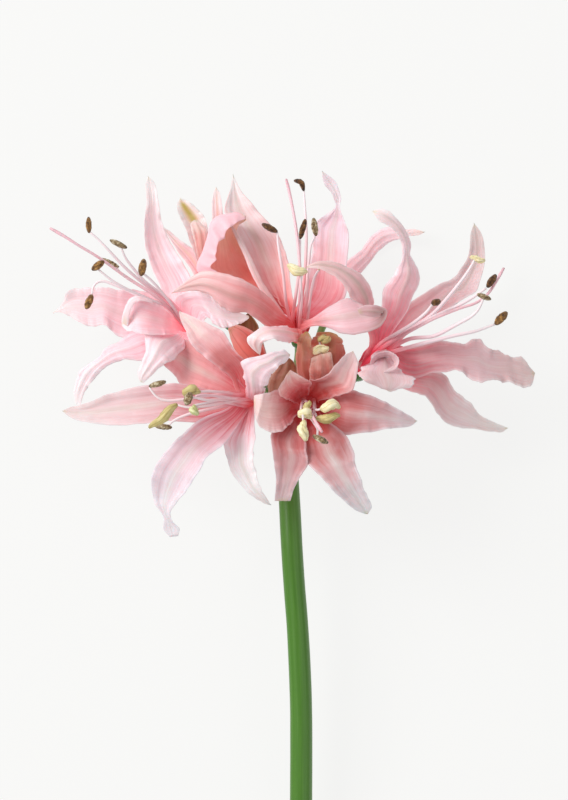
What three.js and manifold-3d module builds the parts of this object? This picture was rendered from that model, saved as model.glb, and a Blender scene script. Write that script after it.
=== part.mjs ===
// Cut nerine umbel (Guernsey lily): a leafless scape with eight recurved florets and one bud, lying down.
// Millimetres, +Z up. Inside the flower frame X runs across, Y along the scape towards the umbel and
// Z out of the front of the umbel; the whole flower is then tipped so that the cut end of the scape
// and the rearmost tepals touch the surface that it lies on.
import * as THREE from 'three';
import { mergeVertices } from 'three/addons/utils/BufferGeometryUtils.js';
import Module from 'manifold-3d';

const wasm = await Module();
wasm.setup();
const { Manifold, Mesh: ManifoldMesh } = wasm;

// ---- driving dimensions ----
const TEPAL_THICKNESS = 0.7;      // solid tepal blade
const TEPAL_COLUMNS = 4;          // points across a blade
const GAP = 0.3;                  // clearance kept between neighbouring pieces
const FILAMENT_RADIUS = 0.42;
const FILAMENT_SIDES = 4;
const HUB_RING_RADIUS = 1.3;      // staminal ring on top of the ovary
const HUB_RING_HALF = 0.38;
const PISTIL_RADIUS = 0.62;
const PEDICEL_RADIUS_BASE = 0.85;
const PEDICEL_RADIUS_TOP = 1.15;
const OVARY_RADIUS = 2.75;
const OVARY_HALF_LENGTH = 3.2;
const SCAPE_RADIUS_TOP = 3.6;
const SCAPE_RADIUS_END = 4.1;
const SCAPE_SIDES = 12;
const LIE_TILT = 0.1046;      // radians between the scape's line and the surface

const V = (p) => new THREE.Vector3(p[0], p[1], p[2]);

// ---- solids ----
// Closed solid from indexed vertices.
function closed(vertices, triangles) {
  const g = new THREE.BufferGeometry();
  g.setAttribute('position', new THREE.BufferAttribute(new Float32Array(vertices.flatMap((v) => [v.x, v.y, v.z])), 3));
  g.setIndex(triangles);
  return g;
}

function toManifold(geometry, tolerance = 1e-4) {
  const g = geometry.clone();
  g.deleteAttribute('normal');
  g.deleteAttribute('uv');
  const m = mergeVertices(g, tolerance);
  let solid = new Manifold(new ManifoldMesh({
    numProp: 3,
    vertProperties: new Float32Array(m.attributes.position.array),
    triVerts: new Uint32Array(m.index.array),
  }));
  if (solid.volume() < 0) {
    const t = m.index.array;
    for (let i = 0; i < t.length; i += 3) { const a = t[i]; t[i] = t[i + 1]; t[i + 1] = a; }
    solid = new Manifold(new ManifoldMesh({
      numProp: 3,
      vertProperties: new Float32Array(m.attributes.position.array),
      triVerts: new Uint32Array(t),
    }));
  }
  return solid;
}

function toGeometry(solid) {
  const mesh = solid.getMesh();
  const n = mesh.numProp;
  const count = mesh.vertProperties.length / n;
  const pos = new Float32Array(count * 3);
  for (let i = 0; i < count; i++) for (let k = 0; k < 3; k++) pos[3 * i + k] = mesh.vertProperties[i * n + k];
  const g = new THREE.BufferGeometry();
  g.setAttribute('position', new THREE.BufferAttribute(pos, 3));
  g.setIndex(new THREE.BufferAttribute(new Uint32Array(mesh.triVerts), 1));
  g.computeVertexNormals();
  return g;
}

// Point at parameter s (0..1) on a polyline of rail points across the blade.
function across(points, s) {
  const x = s * (points.length - 1);
  const i = Math.min(points.length - 2, Math.floor(x));
  return points[i].clone().lerp(points[i + 1], x - i);
}

// A tepal: a blade lofted between its margins (rails), channelled by cup along the midrib.
function tepalSolid(t, grow) {
  const rails = t.rails.map((r) => r.map(V));
  const ns = rails[0].length;
  const nc = TEPAL_COLUMNS;
  const half = TEPAL_THICKNESS / 2 + grow;
  const grid = [];
  for (let i = 0; i < ns; i++) {
    const st = rails.map((r) => r[i]);
    const row = [];
    for (let j = 0; j < nc; j++) row.push(across(st, j / (nc - 1)));
    // the margin never closes to a knife point
    const w = row[0].distanceTo(row[nc - 1]);
    const wide = Math.max(w, 0.9) + 2 * grow;
    const mid = row[0].clone().add(row[nc - 1]).multiplyScalar(0.5);
    let dir = row[nc - 1].clone().sub(row[0]);
    if (w < 0.3) {
      const prev = grid[i - 1];
      dir = prev[nc - 1].clone().sub(prev[0]);
    }
    dir.normalize();
    if (w < 0.9) for (let j = 0; j < nc; j++) row[j] = mid.clone().addScaledVector(dir, wide * (j / (nc - 1) - 0.5));
    else if (grow > 0) { row[0].addScaledVector(dir, -grow); row[nc - 1].addScaledVector(dir, grow); }
    grid.push(row);
  }
  if (grow > 0) {
    for (const [a, b] of [[0, 1], [ns - 1, ns - 2]]) {
      const d = grid[a][1].clone().sub(grid[b][1]).normalize();
      for (const p of grid[a]) p.addScaledVector(d, grow);
    }
  }
  const normal = (i, j) => {
    const a = grid[Math.max(0, i - 1)][j];
    const b = grid[Math.min(ns - 1, i + 1)][j];
    const c = grid[i][Math.max(0, j - 1)];
    const d = grid[i][Math.min(nc - 1, j + 1)];
    return b.clone().sub(a).cross(d.clone().sub(c)).normalize();
  };
  let N = grid.map((row, i) => row.map((_, j) => normal(i, j)));
  let sum = 0;
  for (const row of N) for (const n of row) sum += n.z;
  const sign = sum < 0 ? -1 : 1;
  for (let i = 0; i < ns; i++) {
    const w = grid[i][0].distanceTo(grid[i][nc - 1]);
    const amp = sign * t.cup * Math.min(1, w / 9) * Math.sqrt(Math.sin(Math.PI * i / (ns - 1)));
    for (let j = 1; j < nc - 1; j++) {
      const s = j / (nc - 1);
      grid[i][j].addScaledVector(N[i][j], amp * 4 * s * (1 - s));
    }
  }
  N = grid.map((row, i) => row.map((_, j) => normal(i, j)));
  const verts = [];
  for (const side of [1, -1]) {
    for (let i = 0; i < ns; i++) for (let j = 0; j < nc; j++) verts.push(grid[i][j].clone().addScaledVector(N[i][j], side * half));
  }
  const id = (side, i, j) => side * ns * nc + i * nc + j;
  const tri = [];
  const quad = (a, b, c, d) => tri.push(a, b, c, a, c, d);
  for (let i = 0; i < ns - 1; i++) for (let j = 0; j < nc - 1; j++) {
    quad(id(0, i, j), id(0, i + 1, j), id(0, i + 1, j + 1), id(0, i, j + 1));
    quad(id(1, i, j), id(1, i, j + 1), id(1, i + 1, j + 1), id(1, i + 1, j));
  }
  for (let i = 0; i < ns - 1; i++) {
    quad(id(0, i + 1, 0), id(0, i, 0), id(1, i, 0), id(1, i + 1, 0));
    quad(id(0, i, nc - 1), id(0, i + 1, nc - 1), id(1, i + 1, nc - 1), id(1, i, nc - 1));
  }
  for (let j = 0; j < nc - 1; j++) {
    quad(id(0, 0, j), id(0, 0, j + 1), id(1, 0, j + 1), id(1, 0, j));
    quad(id(0, ns - 1, j + 1), id(0, ns - 1, j), id(1, ns - 1, j), id(1, ns - 1, j + 1));
  }
  return toManifold(closed(verts, tri));
}

// A round stalk along points with its own radius at each point.
function stalkSolid(points, radii, sides) {
  const n = points.length;
  const verts = [];
  const tri = [];
  let ref = null;
  for (let i = 0; i < n; i++) {
    const t = points[Math.min(n - 1, i + 1)].clone().sub(points[Math.max(0, i - 1)]).normalize();
    if (!ref) {
      ref = Math.abs(t.x) < 0.8 ? new THREE.Vector3(1, 0, 0) : new THREE.Vector3(0, 0, 1);
    }
    ref = ref.clone().addScaledVector(t, -ref.dot(t)).normalize();
    const bi = t.clone().cross(ref);
    for (let k = 0; k < sides; k++) {
      const a = (2 * Math.PI * k) / sides;
      verts.push(points[i].clone().addScaledVector(ref, Math.cos(a) * radii[i]).addScaledVector(bi, Math.sin(a) * radii[i]));
    }
  }
  for (let i = 0; i < n - 1; i++) for (let k = 0; k < sides; k++) {
    const a = i * sides + k;
    const b = i * sides + ((k + 1) % sides);
    tri.push(a, b, b + sides, a, b + sides, a + sides);
  }
  for (let k = 1; k < sides - 1; k++) {
    tri.push(0, k + 1, k);
    const e = (n - 1) * sides;
    tri.push(e, e + k, e + k + 1);
  }
  return toManifold(closed(verts, tri));
}

// Points of a polyline at equal spacing, n of them.
function spaced(points, n) {
  const curve = new THREE.CatmullRomCurve3(points, false, 'centripetal');
  return curve.getSpacedPoints(n - 1);
}

// Six stamens joined at a low ring: filaments with a two-lobed anther at the tip of each.
function stamenSolid(s, grow) {
  const axis = V(s.axis).normalize();
  const hub = V(s.hub);
  const profile = [];
  const r0 = HUB_RING_HALF + grow;
  for (let k = 0; k <= 4; k++) {
    const a = (2 * Math.PI * k) / 4 + Math.PI / 4;
    profile.push(new THREE.Vector2(HUB_RING_RADIUS + r0 * Math.cos(a), 0.25 + r0 * Math.sin(a)));
  }
  const ring = new THREE.LatheGeometry(profile, 10);
  ring.applyQuaternion(new THREE.Quaternion().setFromUnitVectors(new THREE.Vector3(0, 1, 0), axis));
  ring.translate(hub.x, hub.y, hub.z);
  let solid = toManifold(ring);
  for (const f of s.filaments) {
    const p = f.path.map(V);
    const anther = f.anther.map(V);
    const line = spaced(anther, 4);
    // the filament ends inside its anther
    let join = line[0];
    for (const q of line) if (q.distanceTo(p[p.length - 1]) < join.distanceTo(p[p.length - 1])) join = q;
    p[p.length - 1] = join.clone();
    const radii = p.map(() => FILAMENT_RADIUS + grow);
    solid = solid.add(stalkSolid(p, radii, FILAMENT_SIDES));
    const body = [0.55, 1.05, 1.05, 0.55].map((k) => k * f.r + grow);
    const first = line[0].clone().sub(line[1]).normalize();
    const last = line[3].clone().sub(line[2]).normalize();
    const ends = [line[0].clone().addScaledVector(first, grow), line[1], line[2], line[3].clone().addScaledVector(last, grow)];
    solid = solid.add(stalkSolid(ends, body, 5));
  }
  return solid;
}

function pistilSolid(p, grow) {
  const pts = p.path.map(V);
  const radii = pts.map((_, i) => PISTIL_RADIUS + grow + (i === pts.length - 1 ? 0.12 : 0));
  return stalkSolid(pts, radii, 5);
}

// Pedicel and ovary grow as one piece; the unopened bud keeps its closed perianth on the same piece.
function pedicelSolid(p, grow) {
  const pts = p.path.map(V);
  const n = pts.length;
  const radii = pts.map((_, i) => PEDICEL_RADIUS_BASE + (PEDICEL_RADIUS_TOP - PEDICEL_RADIUS_BASE) * (i / (n - 1)) + grow);
  if (grow > 0) pts[0].y -= 0.05;
  let solid = stalkSolid(pts, radii, 6);
  const axis = V(p.axis).normalize();
  const o = V(p.ovary);
  const line = [];
  const rad = [];
  for (let k = 0; k <= 4; k++) {
    const a = -1 + (2 * k) / 4;
    line.push(o.clone().addScaledVector(axis, a * (OVARY_HALF_LENGTH + grow)));
    rad.push(Math.max(0.9, OVARY_RADIUS * Math.sqrt(Math.max(0.1, 1 - a * a * 0.9))) + grow);
  }
  solid = solid.add(stalkSolid(line, rad, 8));
  // in the half-open floret the stamens still stand on the ovary as one piece with it
  if (p.name === 'F_pedicel_ovary') solid = solid.add(stamenSolid(STAMENS.find((s) => s.name === 'F_stamens'), grow));
  if (p.name === 'floret_I_bud') {
    const bud = BUD.path.map(V);
    solid = solid.add(stalkSolid([o, ...bud], [1.4, ...BUD.radii].map((r) => r + grow), 8));
  }
  return solid;
}

function scapeSolid(grow) {
  const pts = SCAPE.map(V);
  const n = pts.length;
  const radii = pts.map((_, i) => SCAPE_RADIUS_TOP + (SCAPE_RADIUS_END - SCAPE_RADIUS_TOP) * (i / (n - 1)) + grow);
  if (grow > 0) pts[0].y += grow;
  return stalkSolid(pts, radii, SCAPE_SIDES);
}

// ---- the flower's measured form: margins of each blade from base to tip, centre lines of each stalk ----
const TEPALS = [
  { name: 'A_tepal_up', cup: -1.8, color: 0xf4c6cd, rails: [
    [[-33.2, 24.9, -10.7], [-40.3, 30.4, -5.6], [-43.7, 38.9, -8.2], [-48.7, 46.6, -11.7], [-52, 55.7, -13], [-53.1, 65.3, -11.5], [-52.1, 74.6, -8.8], [-51.4, 84.7, -8]],
    [[-31.4, 25.1, -9.6], [-35.8, 31.9, -5.7], [-35.6, 41, -9.5], [-37.2, 49.8, -13.7], [-41.9, 58.1, -15], [-46, 66.7, -12.9], [-47.7, 75.8, -9.5], [-51.4, 84.7, -8]] ] },
  { name: 'A_tepal_left', cup: -1.5, color: 0xf4c6cd, rails: [
    [[-34, 24.4, -10.9], [-40.2, 29.5, -5.7], [-47, 36.8, -4.9], [-55.5, 39.6, -4], [-64.2, 41.8, -5], [-73.5, 42.3, -7], [-81.9, 40.4, -9.9], [-87.8, 33.1, -14]],
    [[-35.1, 22.7, -10.8], [-39.8, 25.9, -5.5], [-48.6, 24.3, -2.9], [-56.6, 25.7, -2], [-64.8, 26.3, -3], [-71.6, 27.8, -5], [-79.3, 30.4, -7.9], [-87.7, 33, -12]] ] },
  { name: 'A_tepal_front', cup: -1.2, color: 0xf4c6cd, rails: [
    [[-34.1, 20, -8.5], [-37.9, 27.1, -4.3], [-40.1, 30.2, 2.1], [-41, 31, 9.8], [-44.7, 34.2, 11.2], [-51.2, 37.2, 16.1], [-57.8, 35, 13.9], [-60.3, 29.1, 7]],
    [[-32.3, 20.2, -7.4], [-36.9, 24.3, -4], [-39.3, 25.3, 3], [-40.2, 24.9, 11.3], [-43.9, 24.5, 13.3], [-49.4, 24.3, 18.1], [-55.5, 25.4, 15.9], [-60.2, 27.5, 9]] ] },
  { name: 'A_tepal_low', cup: 1.5, color: 0xf4c6cd, rails: [
    [[-35.3, 21.9, -10.4], [-42.1, 24, -4.4], [-51.1, 23.9, -2], [-60.4, 22.3, -0.6], [-68.5, 17.6, -2.2], [-75.3, 12.4, -6.2], [-79.3, 5.3, -10.6], [-78.4, -3.4, -14.5]],
    [[-34.7, 20.3, -9.1], [-40.8, 20.9, -3.4], [-47.9, 17.8, 1.1], [-56, 16, 2.4], [-64, 13.8, 0.8], [-70.1, 9.6, -3.2], [-74.7, 3.7, -7.6], [-78.1, -3.4, -11.5]] ] },
  { name: 'A_tepal_right', cup: -1.0, color: 0xf4c6cd, rails: [
    [[-30.8, 24.8, -9], [-35.4, 27.8, -4.2], [-38.8, 32.6, -0.3], [-40.1, 38.4, 3.7], [-33.6, 40.7, 7.5], [-26.4, 38.1, 8], [-20, 33.7, 6.1], [-13.1, 31.4, 3]],
    [[-30.2, 23.2, -7.7], [-32.5, 25.7, -3.9], [-31.1, 28.4, 1.3], [-28.4, 30.9, 5.8], [-25.5, 28.1, 9.5], [-21.2, 26.9, 10], [-16.7, 28.2, 8.1], [-13.1, 30.6, 5]] ] },
  { name: 'A_tepal_under', cup: 1.6, color: 0xf4c6cd, rails: [
    [[-30.4, 22.4, -7.3], [-37.4, 24.7, -2.9], [-40.1, 25.3, 4.1], [-42.3, 24.9, 6.4], [-46.5, 24.3, 10.3], [-50.3, 22.2, 16], [-52.5, 13.9, 15.8], [-53.4, 7, 11.5]],
    [[-31.5, 20.6, -7.1], [-36, 22.6, -2.9], [-37.3, 22.7, 4.2], [-37.2, 20.8, 7.2], [-38.5, 17.7, 11.3], [-42, 14.4, 17], [-47.6, 10.3, 16.8], [-52.2, 6.3, 12.5]] ] },
  { name: 'B_tepal_up', cup: -2.2, color: 0xe9a9ad, rails: [
    [[4.1, 26.9, -7.6], [1.2, 31, 1.1], [-5.5, 38.3, -1], [-11.3, 46.3, -4.2], [-15.4, 55.5, -5.9], [-19.9, 64.9, -7.5], [-21.8, 75, -9.3], [-19.4, 85.8, -12]],
    [[6.2, 26.9, -7.6], [4.8, 31.8, 1], [2.8, 41.4, -3], [1.8, 51.1, -7.4], [-1.2, 60.5, -9.9], [-7.1, 68.7, -10.3], [-14, 76.6, -10.7], [-19.4, 85.8, -12]] ] },
  { name: 'B_tepal_hood', cup: 0, color: 0xe9a9ad, rails: [
    [[2.3, 24.8, -6.7], [0.6, 29.7, 1.1], [-5.9, 35.5, 0.6], [-13.3, 40.9, 0.1], [-21.9, 45.9, 0.7], [-25.7, 53.4, 2.2], [-22.2, 61.6, 3.3], [-14.2, 67.7, 2]],
    [[2.6, 25.3, -7], [0.2, 29.4, 1.1], [-8.5, 35, -0.7], [-18, 40.7, -2.8], [-28.6, 46.5, -3], [-29.9, 56.2, -2.2], [-25.9, 67.7, -0.2], [-14.2, 68.9, 2]],
    [[2.9, 25.9, -7.2], [1.8, 29.8, 0.8], [-2.4, 35.7, -5.9], [-7.2, 41.6, -12], [-12.6, 47.9, -14.8], [-17.6, 55.1, -13.4], [-20.1, 62.7, -7.5], [-14.2, 67.9, 0]],
    [[3.3, 26.4, -7.5], [2.5, 30.2, 0.9], [-0.9, 35.8, -3.7], [-4.8, 41.5, -9.2], [-8.6, 47.9, -10.9], [-12.1, 55, -8.8], [-15.6, 61.7, -3.7], [-14.2, 67.4, 2]] ] },
  { name: 'B_tepal_left', cup: 1.6, color: 0xe9a9ad, rails: [
    [[2.3, 23.9, -6.3], [2.2, 28.8, 2.8], [-1.8, 33.9, 11.5], [-7.2, 39, 19.3], [-14.7, 43.8, 24.7], [-24.5, 46.8, 25], [-34.2, 44.9, 21.1], [-41.4, 39.5, 15]],
    [[3.4, 22.3, -5.5], [3.3, 26.3, 2.9], [-2.2, 28, 9.5], [-8.9, 29.7, 15.5], [-16.6, 32.1, 19.7], [-24.7, 36.1, 21.1], [-33, 40, 19.1], [-41.4, 39.5, 15]] ] },
  { name: 'B_tepal_right', cup: -2.0, color: 0xe9a9ad, rails: [
    [[7, 26.5, -7.4], [5.9, 31.5, 0.7], [7.9, 40, -7.2], [9.4, 49.6, -13], [10.6, 59.9, -14.8], [14.5, 69.4, -13.6], [18.3, 77.1, -7.5], [14.3, 86.1, -3]],
    [[8.1, 24.9, -6.6], [8.8, 30.7, 0.9], [16.6, 35.8, -5.4], [23.2, 43.6, -9.7], [24.2, 54.8, -11.2], [23.6, 66.8, -10.7], [21.1, 77.7, -6.2], [14.3, 86.1, -3]] ] },
  { name: 'B_tepal_low', cup: 1.2, color: 0xe9a9ad, rails: [
    [[8.1, 24.1, -6.2], [6.9, 28.4, 2.5], [9.5, 29.5, 10.6], [13, 31.5, 18], [18.4, 34.8, 23.9], [26.3, 36, 25.9], [34.5, 31.1, 31.3], [27.5, 30.7, 36]],
    [[7.1, 22.4, -5.4], [6.5, 26.2, 2.6], [9.6, 27.5, 11.6], [14.5, 26.9, 20.8], [21.6, 24.3, 28.3], [31.6, 25, 30.7], [35.7, 33.3, 33.8], [26.4, 32.9, 36]] ] },
  { name: 'B_tepal_curl', cup: 1.4, color: 0xe9a9ad, rails: [
    [[4.2, 21.9, -5.3], [6.1, 24.9, 1.8], [3.9, 26.2, 7], [2.4, 26.2, 14], [-0.5, 26.6, 20.5], [-5.9, 26.6, 25.9], [-13, 22.5, 28], [-8.8, 16.4, 25]],
    [[6.3, 22, -5.2], [6, 22.9, 1.8], [4.3, 22.5, 8.6], [3.3, 22.1, 16.2], [1.5, 21.6, 23.7], [-1.9, 21.5, 29.9], [-7.2, 21, 31], [-8.8, 16.4, 25]] ] },
  { name: 'C_tepal_up', cup: 1.8, color: 0xd9a5aa, rails: [
    [[28.7, 14.3, -10], [34.3, 20.5, -4.6], [36.2, 28.8, 1.1], [36.8, 37.7, 6], [40.7, 46.1, 9.2], [43.7, 55.5, 11.6], [40, 63.1, 15.9], [32.4, 69.6, 18]],
    [[30.3, 14.4, -11.4], [36.9, 20.2, -4.8], [42.3, 28.3, -0.1], [47.4, 37.2, 3.8], [50.3, 47.6, 6.2], [46.9, 57.7, 10.6], [42.3, 66.1, 15.9], [32.4, 69.6, 18]] ] },
  { name: 'C_tepal_upright', cup: -2.0, color: 0xd9a5aa, rails: [
    [[31.1, 14, -11.7], [37, 20.4, -5], [43.3, 27.8, -8], [49.1, 35.7, -12.5], [56.7, 42.6, -15.3], [65.6, 47.9, -15.2], [70.4, 56.8, -12.9], [71.9, 67, -9]],
    [[32.6, 12.6, -11.6], [38.8, 18.8, -5], [47.3, 25.3, -6.9], [56.7, 31.1, -10.3], [66.2, 37.2, -12.3], [74.4, 44.9, -12.8], [76.1, 56.3, -11.4], [71.9, 67, -9]] ] },
  { name: 'C_tepal_right', cup: -1.6, color: 0xd9a5aa, rails: [
    [[32.9, 11.8, -11.3], [39.1, 18.2, -4.3], [47.5, 19.6, 1.2], [56.6, 21.7, 4.8], [66.6, 21.4, 5.9], [75.6, 19.6, 5.7], [84.9, 17.2, 3.7], [94.1, 10.1, 0]],
    [[32.9, 10.3, -9.8], [38.6, 14.3, -4.1], [46, 10.8, 2.9], [55.2, 10.4, 7.8], [65.3, 10.4, 9.9], [75.8, 7.2, 8.7], [85.8, 5.9, 5.3], [94.1, 10.1, 0]] ] },
  { name: 'C_tepal_low', cup: -1.5, color: 0xd9a5aa, rails: [
    [[32.4, 9.9, -9.1], [40.3, 12.4, -4.9], [48.6, 9.9, -3.7], [57.1, 8.5, -1.5], [64.5, 3.6, -1.6], [70.9, -1.9, -3.6], [77.1, -7.4, -6.9], [84.8, -10.6, -10]],
    [[30.9, 9.8, -7.7], [38.6, 10.4, -4.6], [46, 5.3, -1.5], [53.7, 0.9, 1.5], [59, -7.1, 1.3], [67.4, -10.5, -1.4], [76.3, -11.8, -5.7], [84.8, -10.6, -10]] ] },
  { name: 'C_tepal_front', cup: 1.5, color: 0xd9a5aa, rails: [
    [[28.6, 11.7, -7.4], [32.9, 13.7, -4.2], [36.9, 15.8, -0.6], [35, 17.4, 5.3], [33, 15.6, 10.9], [32, 12.5, 16.3], [27.9, 9, 21.1], [37.5, 3.7, 21]],
    [[30.1, 10.2, -7.4], [35.2, 12.8, -4.1], [40.1, 15.5, -0.6], [41.6, 16.8, 5.3], [41.6, 14.1, 10.9], [42.8, 10.9, 16.3], [47.3, 7.1, 21.1], [39.3, 2.9, 21]] ] },
  { name: 'C_tepal_arch', cup: 1.6, color: 0xd9a5aa, rails: [
    [[28.2, 12.4, -7.8], [33, 19.3, -4.8], [31.7, 25.1, 1.2], [28.6, 30, 8.5], [26.1, 35.3, 15.7], [22, 41.6, 20.1], [16, 46.9, 21.8], [7.7, 48.5, 21]],
    [[28.3, 13.9, -9.2], [34.8, 19.9, -5.1], [35.4, 27.1, 0.3], [33.5, 33.7, 6.5], [32.3, 40.7, 12.5], [26.8, 47.5, 16.4], [17.4, 50.8, 19.4], [7.7, 48.5, 21]] ] },
  { name: 'D_tepal_up', cup: -1.8, color: 0xf0c3c8, rails: [
    [[-9.6, 1.1, 8.9], [-13.7, 2.1, 15.8], [-18.2, 7, 18.2], [-23.1, 11.1, 22.1], [-28.9, 15.6, 24.4], [-34, 21.1, 23.9], [-37, 27.1, 20.1], [-38.8, 32.9, 15]],
    [[-7.8, 0.6, 9.8], [-11.5, 2.9, 16], [-13.7, 9.6, 20], [-16.7, 15.6, 25], [-20.5, 22.3, 27.4], [-26.4, 27.3, 25.4], [-32.8, 30.4, 20.7], [-38.8, 32.9, 15]] ] },
  { name: 'D_tepal_upleft', cup: -1.0, color: 0xf0c3c8, rails: [
    [[-10.5, 0.9, 8.6], [-13.6, 1.6, 15.3], [-18.5, 6.8, 17.7], [-24.4, 12.3, 16.7], [-30.2, 17.2, 14.1], [-34.9, 20.3, 8.7], [-39.4, 22.3, 3.8], [-46.1, 19.4, 7.4]],
    [[-12, -0.6, 8.4], [-14.5, 0.2, 15.3], [-20.4, 2, 16.4], [-27.2, 3.7, 14.6], [-33.5, 5.4, 12.2], [-37.8, 7.7, 7.5], [-41.4, 10, 3], [-46.1, 14.5, 7.4]] ] },
  { name: 'D_tepal_left', cup: -1.8, color: 0xf0c3c8, rails: [
    [[-12.3, -1.4, 8.4], [-17.9, 1.6, 17.8], [-29.4, 4.2, 19.6], [-41.1, 5.9, 19.4], [-52.4, 5.3, 16.3], [-62.7, 2.9, 11.8], [-72.6, -0.7, 6.9], [-83.1, -4.1, 2]],
    [[-12, -3.4, 9.1], [-17.7, -2.3, 18.2], [-29, -5.8, 21.3], [-40.6, -7.7, 21.9], [-51.8, -8.8, 19.3], [-62.4, -9.2, 14], [-73.1, -8.4, 8.1], [-83.1, -4.1, 2]] ] },
  { name: 'D_tepal_downleft', cup: -1.8, color: 0xf0c3c8, rails: [
    [[-11.4, -4.1, 9.4], [-16.7, -1.8, 18.7], [-25.4, -4.9, 25], [-34, -10.1, 29.9], [-42.4, -18, 30.9], [-48.1, -27.7, 28.9], [-46.3, -39.2, 26.4], [-41.6, -50, 26]],
    [[-9.6, -4.6, 10.3], [-14, -3.9, 19], [-17.9, -10.6, 27], [-23.5, -17, 33.1], [-29.8, -24.1, 34.7], [-35, -32.3, 32.5], [-41.1, -40.5, 28.6], [-38.7, -49.7, 26]] ] },
  { name: 'D_tepal_down', cup: -1.2, color: 0xf0c3c8, rails: [
    [[-8.7, -4.4, 10.6], [-13.1, -2.7, 16.8], [-15.8, -7.9, 21.6], [-19.6, -14.6, 24.6], [-20.7, -22.6, 25.5], [-16.9, -29.7, 24.8], [-11.2, -35.4, 23.2], [-4.8, -38.6, 20]],
    [[-7.2, -3, 10.8], [-10.8, -1.9, 16.9], [-11.2, -6.7, 22.7], [-10.4, -13.1, 26.7], [-11.3, -19.9, 28.4], [-10.1, -26.7, 27.2], [-7.9, -33.1, 24.5], [-4.8, -38.6, 20]] ] },
  { name: 'D_tepal_front', cup: 1.4, color: 0xf0c3c8, rails: [
    [[-7.2, -0.1, 10.1], [-11.5, 0.5, 16.5], [-13.4, 2.4, 23.1], [-13.8, 6.3, 29.4], [-14.7, 9.9, 35.8], [-13.3, 14.8, 40.4], [-5, 17.1, 39.1], [2.2, 16.6, 35]],
    [[-6.9, -2.1, 10.7], [-9.3, 0.2, 16.6], [-9.4, 1.7, 23.2], [-7.5, 3.1, 30], [-6.5, 5.2, 36.7], [-4.6, 8.9, 41.4], [-1.1, 12.7, 39.9], [2.2, 15.9, 35]] ] },
  { name: 'E_tepal_upleft', cup: -1.8, color: 0xcf8f90, rails: [
    [[6, -0.4, 5.7], [6.4, -0.8, 10.5], [6.1, -1, 15.3], [4.1, -0.7, 20.1], [2.1, -0.3, 24.8], [-0.1, 0.8, 29.3], [-1.7, 3.4, 33.1], [0.7, 9.1, 33]],
    [[7.8, 0.6, 5.4], [8, 0.7, 10.4], [8.4, 1.1, 15.3], [9.2, 2.7, 20.1], [9.6, 4.4, 24.8], [9.5, 6.3, 29.3], [7, 8, 33.1], [2.2, 10.9, 33]] ] },
  { name: 'E_tepal_upright', cup: -2.0, color: 0xcf8f90, rails: [
    [[8.7, 0.6, 5.3], [8.8, 1, 12], [9.5, 2.7, 18.6], [10.2, 5.3, 25], [12.5, 7.3, 31], [16.6, 10.2, 34.8], [20.4, 14.6, 33.2], [25.1, 17.9, 28]],
    [[10.5, -0.5, 5.3], [11, -0.4, 12], [13.1, -0.1, 18.4], [16.4, 0.3, 24.5], [20.2, 1.5, 30], [25.1, 4.6, 33.2], [26.8, 11.5, 31.7], [25.1, 17.9, 28]] ] },
  { name: 'E_tepal_right', cup: -2.0, color: 0xcf8f90, rails: [
    [[10.9, -1.3, 5.5], [11.3, -0.4, 13.6], [15.7, 0.8, 20.3], [21.6, 2.1, 25.6], [29.3, 2, 27.4], [36.7, -0.5, 26], [43, -4, 22.4], [49, -7.7, 18]],
    [[10.9, -3.4, 5.8], [11.6, -2.9, 13.7], [14.4, -6.5, 21.3], [19.4, -10.2, 27.6], [26.9, -11.9, 30.4], [35, -11, 28.3], [42.4, -10.2, 23.7], [49, -7.7, 18]] ] },
  { name: 'E_tepal_downright', cup: -1.8, color: 0xcf8f90, rails: [
    [[8.6, -5.1, 6.4], [8.8, -3.9, 14.9], [8.1, -9.3, 22.1], [8.2, -15.9, 28.5], [9.8, -23.4, 33], [15.8, -30.3, 34.8], [21.8, -36.7, 32.8], [29.5, -41.5, 29]],
    [[10.4, -4.2, 6], [11.2, -3, 15], [15, -6.6, 23.1], [20, -10.6, 30.4], [24.5, -16.8, 35.9], [26.5, -25.4, 37.3], [29.7, -33.4, 34.3], [30.6, -41.5, 29]] ] },
  { name: 'E_tepal_downleft', cup: -1.8, color: 0xcf8f90, rails: [
    [[5.9, -4, 6.4], [6.1, -2.6, 13.8], [3.2, -5.5, 20], [-0.7, -9.5, 25.4], [-3.7, -15.3, 29.4], [-3.7, -22.9, 28.4], [-3, -30.2, 25.5], [-3.3, -37, 22]],
    [[7.7, -5.1, 6.5], [8.1, -3.7, 13.9], [8.3, -7.4, 21], [8.2, -12.4, 27.3], [8, -18.4, 32.2], [7, -25.1, 30.9], [4.3, -31.2, 26.8], [2.2, -37, 22]] ] },
  { name: 'E_tepal_left', cup: -1.8, color: 0xcf8f90, rails: [
    [[5.5, -1.1, 5.9], [6, -0.3, 11.5], [5.1, 0.3, 16.8], [2.9, 0.9, 21.7], [0.3, 1.4, 26.2], [-3.1, 1.9, 29.7], [-7.3, 2.4, 32], [-10.9, 1.5, 28.8]],
    [[5.4, -3.2, 6.3], [6, -2.5, 11.7], [5.4, -3.8, 17], [3.7, -6.8, 22.3], [1, -9.9, 27.3], [-3.4, -11.6, 31.4], [-9.1, -9, 33.3], [-10.9, -3.6, 28.8]] ] },
  { name: 'F_tepal_left', cup: 1.4, color: 0xb8736a, rails: [
    [[7.1, 3, 1], [6.1, 6.3, 3.6], [5.1, 9.4, 6.4], [4.7, 13.6, 8], [4.6, 18, 9.1], [4.8, 21.2, 13.1], [5.9, 23.5, 9.8], [7.8, 25.3, 6.3]],
    [[10.1, 3.8, 1], [11, 6.8, 5.3], [10.7, 9.8, 9.5], [10.2, 13.6, 12], [10, 17.8, 12.5], [10, 20.8, 15.6], [10.2, 23.2, 11.2], [8.9, 25.3, 6.3]] ] },
  { name: 'F_tepal_front', cup: 1.6, color: 0xb8736a, rails: [
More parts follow.
